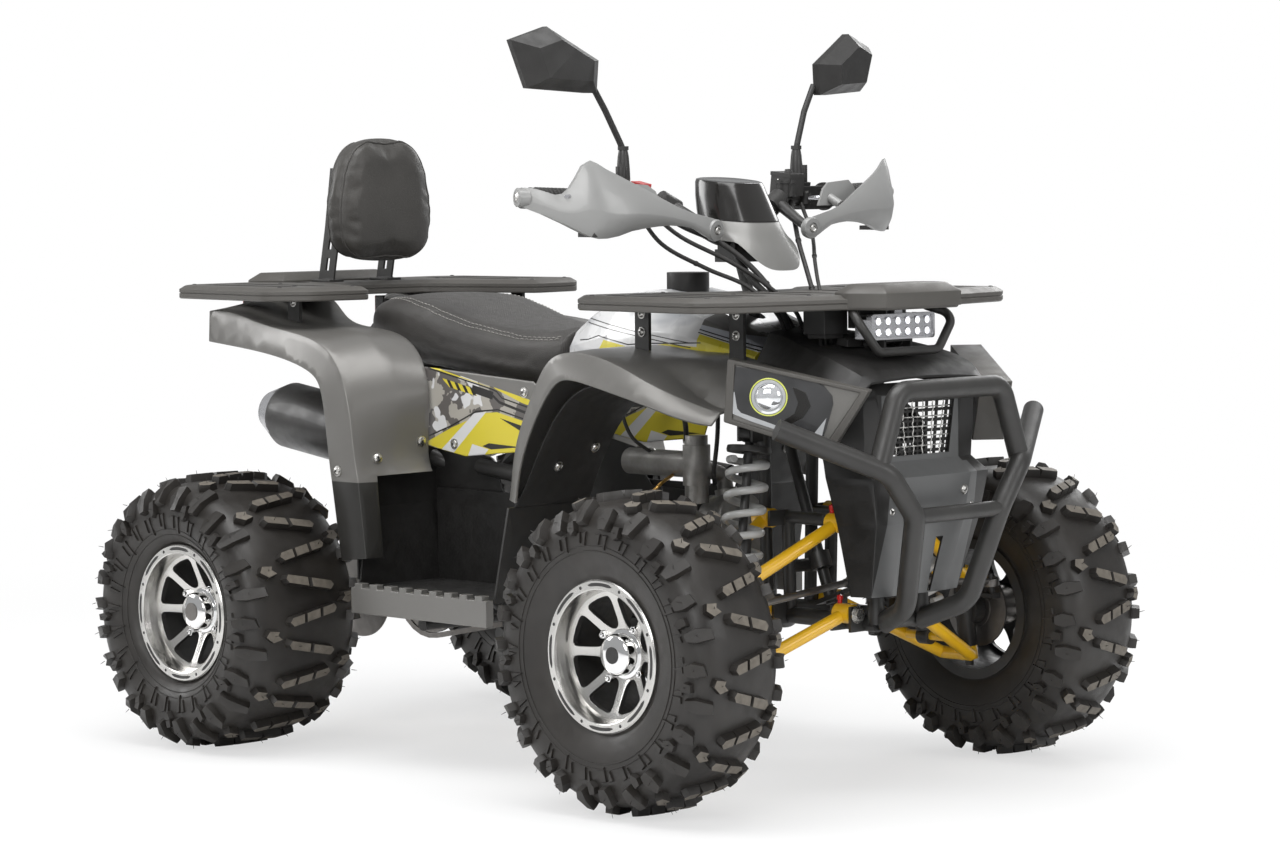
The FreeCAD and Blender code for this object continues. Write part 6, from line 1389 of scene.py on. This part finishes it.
# Hand guards: a bulged shield with a peak, a crease and folded edges, on an arm from the bar's end to a boss
guardSet = {   # distance from the middle, x, lower edge, upper edge, bulge
    "stations": [(0.092, 0.3560, 0.8535, 0.8625, 0.001), (0.100, 0.3560, 0.8465, 0.8705, 0.002),
                 (0.112, 0.3557, 0.8430, 0.8770, 0.003), (0.126, 0.3550, 0.8480, 0.8800, 0.003),
                 (0.140, 0.3540, 0.8550, 0.8830, 0.003), (0.158, 0.3528, 0.8630, 0.8870, 0.003),
                 (0.178, 0.3508, 0.8660, 0.8930, 0.004), (0.200, 0.3478, 0.8675, 0.9025, 0.006),
                 (0.222, 0.3440, 0.8665, 0.9130, 0.009), (0.246, 0.3398, 0.8640, 0.9245, 0.012),
                 (0.270, 0.3345, 0.8600, 0.9355, 0.015), (0.292, 0.3290, 0.8530, 0.9460, 0.017),
                 (0.310, 0.3225, 0.8495, 0.9550, 0.018), (0.324, 0.3170, 0.8492, 0.9640, 0.018),
                 (0.334, 0.3120, 0.8520, 0.9685, 0.017), (0.343, 0.3065, 0.8570, 0.9625, 0.015),
                 (0.351, 0.3010, 0.8620, 0.9450, 0.013), (0.359, 0.2950, 0.8670, 0.9290, 0.011),
                 (0.368, 0.2885, 0.8725, 0.9190, 0.009), (0.378, 0.2800, 0.8780, 0.9170, 0.007),
                 (0.390, 0.2680, 0.8860, 0.9225, 0.005), (0.402, 0.2540, 0.8930, 0.9275, 0.003),
                 (0.411, 0.2420, 0.8985, 0.9280, 0.002)],
    "rows": [(0.0, 0.0), (0.05, 0.30), (0.16, 0.72), (0.34, 1.0), (0.37, 1.0), (0.62, 0.70), (0.86, 0.28),
             (1.0, -0.10)],
    "wall": 0.0032, "fold": 0.014, "foldFull": 0.05, "foldShare": 0.6, "foldRise": 0.002, "foldEnd": 0.0055,
    "foldDrops": (0.0022, 0.0052), "wallStep": 0.0045, "backStep": (-0.004, 0, 0),
    "arm": (0.003, 0.030, 0.008), "armRadii": [0.0080, 0.0085, 0.0100], "clampRadius": 0.0165,
    "stemRadius": 0.0070, "vent": (0.300, 0.318, 0.8555), "ventSize": (0.018, 0.016, 0.0035),
    "back": [(0.3080, 0.176, 0.893), (0.3060, 0.190, 0.920), (0.3030, 0.205, 0.930), (0.2990, 0.258, 0.934),
             (0.2970, 0.272, 0.924), (0.3060, 0.276, 0.900), (0.3120, 0.240, 0.894)],
    "end": (0.2380, 0.4140, 0.9132), "armFrom": (0.2550, 0.372, 0.9110), "boss": (0.3520, 0.1090, 0.8590),
    "facing": (0.985, -0.10, -0.14), "armTo": (0.2790, 0.121, 0.8930),
    "clamp": [(0.2660, 0.106, 0.8900), (0.2600, 0.136, 0.9060)],
    "stem": [(0.306, 0.205, 0.906), (0.330, 0.205, 0.894)],
    "cap": [(-0.014, 0.0085), (-0.014, 0.0140), (0.0035, 0.0145), (0.0050, 0.0130), (0.0050, 0.0085)],
    "capScrew": [(0.0020, 0.0001), (0.0020, 0.0100), (0.0048, 0.0100), (0.0056, 0.0062), (0.0078, 0.0052),
                 (0.0078, 0.0001)],
    "bossRim": [(-0.004, 0.0001), (-0.004, 0.0165), (0.0035, 0.0174), (0.0062, 0.0162), (0.0068, 0.0095),
                (0.0042, 0.0090), (0.0042, 0.0001)],
    "bossScrew": [(0.0040, 0.0001), (0.0040, 0.0066), (0.0084, 0.0062), (0.0092, 0.0046), (0.0078, 0.0034),
                  (0.0078, 0.0001)],
}


def onSide(side, *spots):
    return [Vector((x, side * y, z)) for x, y, z in spots]


def addGuard(guard, side):
    rings = []
    for reach, x, low, high, bulge in guardSet["stations"]:
        outside = [Vector((x + bulge * swell, side * reach, low + (high - low) * rise))
                   for rise, swell in guardSet["rows"]]
        fold = guardSet["fold"] * min(1.0, (high - low) / guardSet["foldFull"])
        ring = [Vector((x - fold, side * reach, low + guardSet["foldRise"]))] + outside + [
            Vector((x - fold * guardSet["foldShare"], side * reach, high - drop))
            for drop in guardSet["foldDrops"]]
        inward = Vector((-guardSet["wall"], 0, 0))
        inside = [point + inward for point in outside[::-1]]
        inside[0].z -= guardSet["wallStep"]
        inside[-1].z += guardSet["wallStep"]
        ring += inside + [Vector((x - fold, side * reach, low + guardSet["foldEnd"]))]
        rings.append(ring)
    guard.rings(rings)
    end, armFrom, boss, facing, armTo = onSide(side, *[guardSet[key] for key in (
        "end", "armFrom", "boss", "facing", "armTo")])
    along, facing = (end - armFrom).normalized(), facing.normalized()
    guard.lathe(guardSet["cap"], end, along, 40, 0)
    guard.lathe(guardSet["capScrew"], end, along, 32, 1)
    guard.lathe(guardSet["bossRim"], boss, facing, 40, 0)
    guard.lathe(guardSet["bossScrew"], boss, facing, 24, 1)
    start, bend, lift = guardSet["arm"]
    guard.tube([boss - facing * start, boss - facing * bend + up * lift, armTo], guardSet["armRadii"], 14, 2)
    guard.tube(onSide(side, *guardSet["clamp"]), guardSet["clampRadius"], 20, 2)
    guard.prism(onSide(side, *guardSet["back"]), Vector(guardSet["backStep"]), 0)
    guard.tube(onSide(side, *guardSet["stem"]), guardSet["stemRadius"], 12, 0)
    guard.box(onSide(side, guardSet["vent"])[0], guardSet["ventSize"], None, 2)


guards = Shape()
addGuard(guards, -1)
addGuard(guards, 1)
guardPiece = guards.piece("guard_shields", ["guardPlastic", "brightSteel", "engineBlack"], "steering", 0.0007, 34)
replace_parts(guardPiece, "hand_guards")
bootSet = {
    "boot": [(-0.022, 0.0100), (0.0, 0.0108), (0.018, 0.0100), (0.034, 0.0088), (0.044, 0.0070)],
    "place": (0.2410, 0.196, 0.940), "nut": [(0.0, 0.0088), (0.006, 0.0088)], "nutPlace": (0.2410, 0.196, 0.984),
    "blocks": [((0.256, 0.158, 0.926), (0.017, 0.021, 0.015)), ((0.258, 0.158, 0.9435), (0.018, 0.022, 0.0030))],
    "lean": (0.12, 0, 1), "knobPlace": (0.259, 0.158, 0.946),
    "knob": [(0.0, 0.0001), (0.0, 0.0070), (0.006, 0.0055), (0.0065, 0.0001)],
}
boots = Shape()
for side in (-1, 1):
    place, nutPlace = onSide(side, bootSet["place"], bootSet["nutPlace"])
    boots.knob(bootSet["boot"], place, up, 28)
    boots.knob(bootSet["nut"], nutPlace, up, 6)
for place, size in bootSet["blocks"]:
    boots.box(place, size, turnedTo(bootSet["lean"]), 0)
boots.lathe(bootSet["knob"], bootSet["knobPlace"], up, 20, 0)
boots.piece("mirror_boots", ["engineBlack"], "steering", 0.0018, 35)
print("hand guards made")


# Nose cover: a dark domed panel from the tank's front to the grille, between the lamps
noseSet = {   # x, half width of the flat top, its level, half width of the skirt, its lower level
    "stations": [(0.440, 0.078, 0.702, 0.122, 0.640), (0.500, 0.098, 0.694, 0.150, 0.630),
                 (0.560, 0.124, 0.682, 0.176, 0.622), (0.620, 0.138, 0.668, 0.184, 0.615),
                 (0.664, 0.138, 0.652, 0.172, 0.612), (0.690, 0.122, 0.634, 0.148, 0.618)],
    "shares": (-0.97, -0.86, -0.6, -0.3, 0, 0.3, 0.6, 0.86, 0.97), "rise": 0.006, "wall": 0.004,
}


def noseRing(x, top, level, skirt, low):
    ring = [Vector((x, -skirt, low))]
    for share in noseSet["shares"]:
        ring.append(Vector((x, top * share / 0.97, level + noseSet["rise"] * (1 - share * share))))
    return ring + [Vector((x, skirt, low))]


noseCover = Shape()
lines = [smoothLine(spots, 4) for spots in zip(*[noseRing(*station) for station in noseSet["stations"]])]
rings = []
for step in range(len(lines[0])):
    upper = [line[step] for line in lines]
    under = [point - up * noseSet["wall"] for point in upper[::-1]]
    rings.append(upper + under)
noseCover.rings(rings)
for side in (-1, 1):
    noseCover.box((0.585, side * 0.052, 0.690), (0.020, 0.012, 0.006), turnedTo((0.15, 0, 1)), 0)
    noseCover.tube([Vector((0.600, side * 0.036, 0.684)), Vector((0.618, side * 0.032, 0.700))], 0.0060, 12, 0)
noseCover.piece("nose_cover", ["blackMouldedPlastic"], "chassis", 0.0012, 30)

# Foot wells: the dark wall behind the fender's lower edge and along the frame under the side panel
wellSet = {
    "rearX": -0.2385, "wallY": 0.1660, "thick": 0.003,
    "rear": [(0.338, 0.292), (0.338, 0.452), (0.330, 0.474), (0.250, 0.494), (0.1500, 0.508), (0.1500, 0.292)],
    "wall": [(-0.2410, 0.300), (-0.2410, 0.508), (-0.180, 0.502), (-0.105, 0.487), (-0.090, 0.470),
             (-0.078, 0.438), (-0.066, 0.424), (0.060, 0.418), (0.082, 0.440), (0.094, 0.436), (0.094, 0.300)],
}
well = Shape()
for side in (-1, 1):
    well.prism([Vector((wellSet["rearX"], side * y, z)) for y, z in wellSet["rear"]],
               Vector((-wellSet["thick"], 0, 0)))
    well.prism([Vector((x, side * wellSet["wallY"], z)) for x, z in wellSet["wall"]],
               Vector((0, side * -wellSet["thick"], 0)))
    well.tube([Vector((-0.018, side * 0.1760, 0.430)), Vector((0.050, side * 0.1760, 0.330))], 0.0055, 12, 0)
    well.tube([Vector((-0.115, side * 0.1800, 0.474)), Vector((0.098, side * 0.1860, 0.452))], 0.0130, 18, 0)
well.piece("foot_well_walls", ["blackMouldedPlastic"], "chassis", 0.0010, 30)
print("nose and foot wells made")


# Cables and hoses: the steering ones run in curves between the bar and the frame
cableRuns = [   # radius in millimetres and the points along each run
    (4.5, [(0.262, -0.160, 0.900), (0.300, -0.128, 0.866), (0.346, -0.088, 0.838), (0.388, -0.062, 0.800),
           (0.425, -0.046, 0.752), (0.446, -0.038, 0.700)]),
    (3.4, [(0.268, -0.176, 0.896), (0.318, -0.150, 0.850), (0.372, -0.100, 0.812), (0.412, -0.060, 0.776),
           (0.446, -0.030, 0.736), (0.462, -0.022, 0.698)]),
    (3.4, [(0.256, -0.185, 0.893), (0.288, -0.160, 0.838), (0.336, -0.112, 0.800), (0.392, -0.078, 0.772),
           (0.436, -0.058, 0.730), (0.452, -0.050, 0.690)]),
    (4.0, [(0.262, 0.160, 0.900), (0.304, 0.126, 0.862), (0.352, 0.084, 0.832), (0.396, 0.054, 0.792),
           (0.430, 0.036, 0.745), (0.448, 0.026, 0.700)]),
    (3.2, [(0.270, 0.176, 0.896), (0.322, 0.146, 0.846), (0.374, 0.096, 0.806), (0.416, 0.060, 0.768),
           (0.450, 0.040, 0.725), (0.462, 0.034, 0.690)]),
    (5.5, [(0.300, -0.020, 0.838), (0.330, -0.030, 0.806), (0.366, -0.034, 0.776), (0.404, -0.024, 0.742),
           (0.430, -0.012, 0.700)]),
]
for index, (radius, points) in enumerate(cableRuns):
    cable = Shape()
    line = smoothLine(points, 8)
    cable.tube(line, radius / 1000, 10)
    for share in (0.35, 0.72):
        at = line[int(share * (len(line) - 1))]
        nextAt = line[int(share * (len(line) - 1)) + 1]
        cable.tube([at, at.lerp(nextAt, 0.5)], (radius + 0.9) / 1000, 10)
    made = cable.piece("bar_cable_%d" % (index + 1), ["blackRubber"], None, 0.0, 60)
    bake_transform(made)
hoses = Shape()
hoseRuns = [   # radius, finish and the points along each run
    (0.0042, 0, [(0.232, -0.052, 0.520), (0.250, -0.075, 0.560), (0.235, -0.080, 0.600), (0.200, -0.070, 0.640)]),
    (0.0030, 0, [(0.165, -0.060, 0.500), (0.150, -0.095, 0.530), (0.130, -0.098, 0.580), (0.120, -0.080, 0.630)]),
    (0.0036, 0, [(0.262, -0.020, 0.455), (0.300, -0.060, 0.480), (0.318, -0.070, 0.540), (0.300, -0.050, 0.610)]),
    (0.0030, 1, [(0.215, -0.066, 0.470), (0.222, -0.105, 0.455), (0.190, -0.118, 0.420), (0.150, -0.105, 0.380)]),
]
for radius, kind, points in hoseRuns:
    hoses.tube(smoothLine(points, 8), radius, 10, kind)
for at, along in (((0.232, -0.052, 0.5215), (0.4, -0.5, 0.9)), ((0.165, -0.060, 0.502), (-0.3, -0.8, 0.6))):
    hoses.lathe([(0.0, 0.0035), (0.0, 0.0062), (0.005, 0.0062), (0.005, 0.0035)], at, along, 20, 2)
hoses.piece("engine_hoses", ["blackRubber", "brassFitting", "brightSteel"], "chassis", 0.0, 60)

boxes = Shape()
for centre, half in (((0.566, -0.088, 0.7215), (0.022, 0.026, 0.0190)),
                     ((0.566, -0.088, 0.7000), (0.018, 0.021, 0.0040)),
                     ((0.600, -0.046, 0.7260), (0.012, 0.016, 0.0150)),
                     ((0.532, 0.088, 0.7240), (0.020, 0.024, 0.0170))):
    boxes.box(centre, half)
for y in (-0.098, -0.086, -0.074):
    lead = [(0.562, y, 0.700), (0.556, y * 0.9, 0.682), (0.530, y * 0.7, 0.672), (0.480, y * 0.5, 0.676)]
    boxes.tube(smoothLine(lead, 6), 0.0026, 8)
boxes.piece("switch_boxes", ["blackMouldedPlastic"], "chassis", 0.0015, 40)

armDress = Shape()
for side in (-1, 1):
    for x, y, z in ((0.6065, 0.080, 0.415), (0.6145, 0.072, 0.277)):
        hexLine = [(x, side * y + math.cos(math.pi * k / 3) * 0.0105, z + math.sin(math.pi * k / 3) * 0.0105)
                   for k in range(6)]
        armDress.prism(hexLine, forward * 0.0065, 0)
        armDress.lathe([(-0.001, 0.0001), (-0.001, 0.0135), (0.0008, 0.0135), (0.0010, 0.0001)],
                       (x, side * y, z), forward, 24, 0)
    for x, y, z in ((0.570, 0.080, 0.4295), (0.578, 0.072, 0.2915)):
        armDress.lathe([(0.0, 0.0001), (0.0, 0.0036), (0.005, 0.0036), (0.006, 0.0050), (0.0125, 0.0046),
                        (0.0140, 0.0001)], (x, side * y, z), up, 20, 1)
armDress.piece("arm_bolts", ["brightSteel", "redPlastic"], "chassis", 0.0004, 40)
print("cables made")


# Nodes with more than one finish
def partFinish(node, finish, chosen):
    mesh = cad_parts[node].data
    mesh.materials.append(finishes[finish])
    slot = len(mesh.materials) - 1
    for polygon in mesh.polygons:
        if chosen(polygon.center, polygon.normal):
            polygon.material_index = slot


partFinish("nose_panel", "blackMouldedPlastic", lambda at, facing: abs(facing.y) > 0.72 or at.z > 0.616)
partFinish("mirrors", "mirrorGlass", lambda at, facing: facing.x < -0.85 and at.z > 1.06)
partFinish("exhaust", "lampSilver", lambda at, facing: at.x < -0.585 and at.z > 0.44)
print("part finishes set")


# Soft goods: the saddle and the backrest pad are blown up a little from the CAD solids, then seamed
softSet = {
    "seat": {"voxel": 0.0055, "pressure": 3.0, "cap": 0.0060, "shrink": 0.003, "finish": "blackVinyl",
             "held": 0.640, "egg": None},
    "backrest_pad": {"voxel": 0.0048, "pressure": 4.0, "cap": 0.0050, "shrink": 0.0035, "finish": "plainVinyl",
                     "held": None,
                     "egg": [(0.0, 0.48), (0.03, 0.66), (0.08, 0.82), (0.16, 0.94), (0.30, 0.995), (0.42, 1.0),
                             (0.55, 0.97), (0.70, 0.905), (0.80, 0.83), (0.88, 0.73), (0.94, 0.60), (0.98, 0.45),
                             (1.0, 0.32)]},
    "levels": 48, "frames": 20,
    "cloth": {"quality": 5, "mass": 0.3, "tension_stiffness": 18, "compression_stiffness": 18,
              "shear_stiffness": 8, "bending_stiffness": 1.5, "use_pressure": True},
}


def smoothed(made, times):
    smooth = made.modifiers.new("smooth", "SMOOTH")
    smooth.iterations = times
    smooth.factor = 0.5


# Modifiers become the mesh
def settled(made):
    made.data = evaluatedMesh(made)
    made.modifiers.clear()


# The outline is rounded to an egg: each level is drawn in to its share of the widest half
def eggShaped(mesh, line):
    low, high = min(v.co.z for v in mesh.vertices), max(v.co.z for v in mesh.vertices)
    widest = max(abs(v.co.y) for v in mesh.vertices)
    levels = softSet["levels"]
    halves = [0.001] * (levels + 1)
    for vertex in mesh.vertices:
        row = round((vertex.co.z - low) / (high - low) * levels)
        halves[row] = max(halves[row], abs(vertex.co.y))
    for vertex in mesh.vertices:
        t = (vertex.co.z - low) / (high - low)
        row = min(int(t * levels), levels - 1)
        part = t * levels - row
        present = halves[row] * (1 - part) + halves[row + 1] * part
        for (a, first), (b, second) in zip(line, line[1:]):
            if a <= t <= b:
                vertex.co.y *= widest * (first + (second - first) * (t - a) / (b - a)) / present
                break


def softPiece(node, name):
    rules = softSet[node]
    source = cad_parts[node]
    made = bpy.data.objects.new(name, source.data.copy())
    scene.collection.objects.link(made)
    made.data.materials.clear()
    remesh = made.modifiers.new("remesh", "REMESH")
    remesh.mode = "VOXEL"
    remesh.voxel_size = rules["voxel"]
    smoothed(made, 6)
    settled(made)
    mesh = made.data
    for vertex in mesh.vertices:
        vertex.co -= vertex.normal * rules["shrink"]
    if rules["egg"]:
        eggShaped(mesh, rules["egg"])
    start = [vertex.co.copy() for vertex in mesh.vertices]
    held = made.vertex_groups.new(name="held")
    for vertex in mesh.vertices:
        if rules["held"] is not None and vertex.co.z < rules["held"] and vertex.normal.z < -0.2:
            held.add([vertex.index], 1.0, "ADD")
    cloth = made.modifiers.new("cloth", "CLOTH")
    for setting, value in softSet["cloth"].items():
        setattr(cloth.settings, setting, value)
    cloth.settings.uniform_pressure_force = rules["pressure"]
    cloth.settings.effector_weights.gravity = 0
    if rules["held"] is not None:
        cloth.settings.vertex_group_mass = "held"
    cloth.point_cache.frame_start = 1
    cloth.point_cache.frame_end = softSet["frames"]
    for number in range(1, softSet["frames"] + 1):
        scene.frame_set(number)
    blown = evaluatedMesh(made)
    made.modifiers.clear()
    for vertex, before in zip(blown.vertices, start):
        step = vertex.co - before
        if step.length > rules["cap"]:
            vertex.co = before + step * (rules["cap"] / step.length)
    made.data = blown
    scene.frame_set(1)
    smoothed(made, 5)
    finer = made.modifiers.new("finer", "SUBSURF")
    finer.levels = finer.render_levels = 1
    settled(made)
    made.data.materials.clear()
    made.data.materials.append(finishes[rules["finish"]])
    made.data.shade_smooth()
    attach(made, "chassis")
    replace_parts(made, node)
    return made


saddle = softPiece("seat", "saddle")
pad = softPiece("backrest_pad", "back_pad")
print("soft pieces made")

saddleTree, padTree = [BVHTree.FromObject(made, bpy.context.evaluated_depsgraph_get()) for made in (saddle, pad)]
saddleWidths = [(-0.440, 0.118), (-0.400, 0.146), (-0.326, 0.160), (-0.205, 0.152), (-0.103, 0.135),
                (-0.040, 0.108), (-0.014, 0.088)]


def saddleHalf(x):
    for (x0, w0), (x1, w1) in zip(saddleWidths, saddleWidths[1:]):
        if x0 <= x <= x1:
            return w0 + (w1 - w0) * (x - x0) / (x1 - x0)
    return saddleWidths[0][1] if x < saddleWidths[0][0] else saddleWidths[-1][1]


def saddlePoint(x, share, rise):
    hit = saddleTree.ray_cast(Vector((x, saddleHalf(x) * share, 1.2)), -up)
    return hit[0] + hit[1] * rise if hit[0] is not None else None


stitches = Shape()
for share in (-0.800, -0.745, 0.745, 0.800):
    x = -0.428
    while x < -0.030:
        a, b, c = [saddlePoint(x + step, share, rise) for step, rise in ((0, 0.0), (0.003, 0.0012), (0.006, 0.0))]
        if a is not None and b is not None and c is not None:
            stitches.tube([a, b, c], 0.0006, 6)
        x += 0.0085
stitches.piece("saddle_stitches", ["threadFinish"], "chassis", 0.0, 60)
seams = Shape()
for share in (-0.772, 0.772):
    line = [saddlePoint(-0.430 + 0.40 * k / 60, share, -0.0006) for k in range(61)]
    seams.tube([p for p in line if p is not None], 0.0013, 6)
padMiddle = 0.903
for x in (-0.553, -0.584):
    line = []
    for k in range(97):
        turn = fullTurn * k / 96
        outward = Vector((0, math.cos(turn), math.sin(turn)))
        hit = padTree.ray_cast(Vector((x, 0, padMiddle)) + outward * 0.3, -outward)
        if hit[0] is not None:
            line.append(hit[0] + outward * 0.0004)
    seams.tube(line, 0.0019, 8, 0, False)
seams.piece("seat_seams", ["plainVinyl"], "chassis", 0.0, 60)
print("seams made")
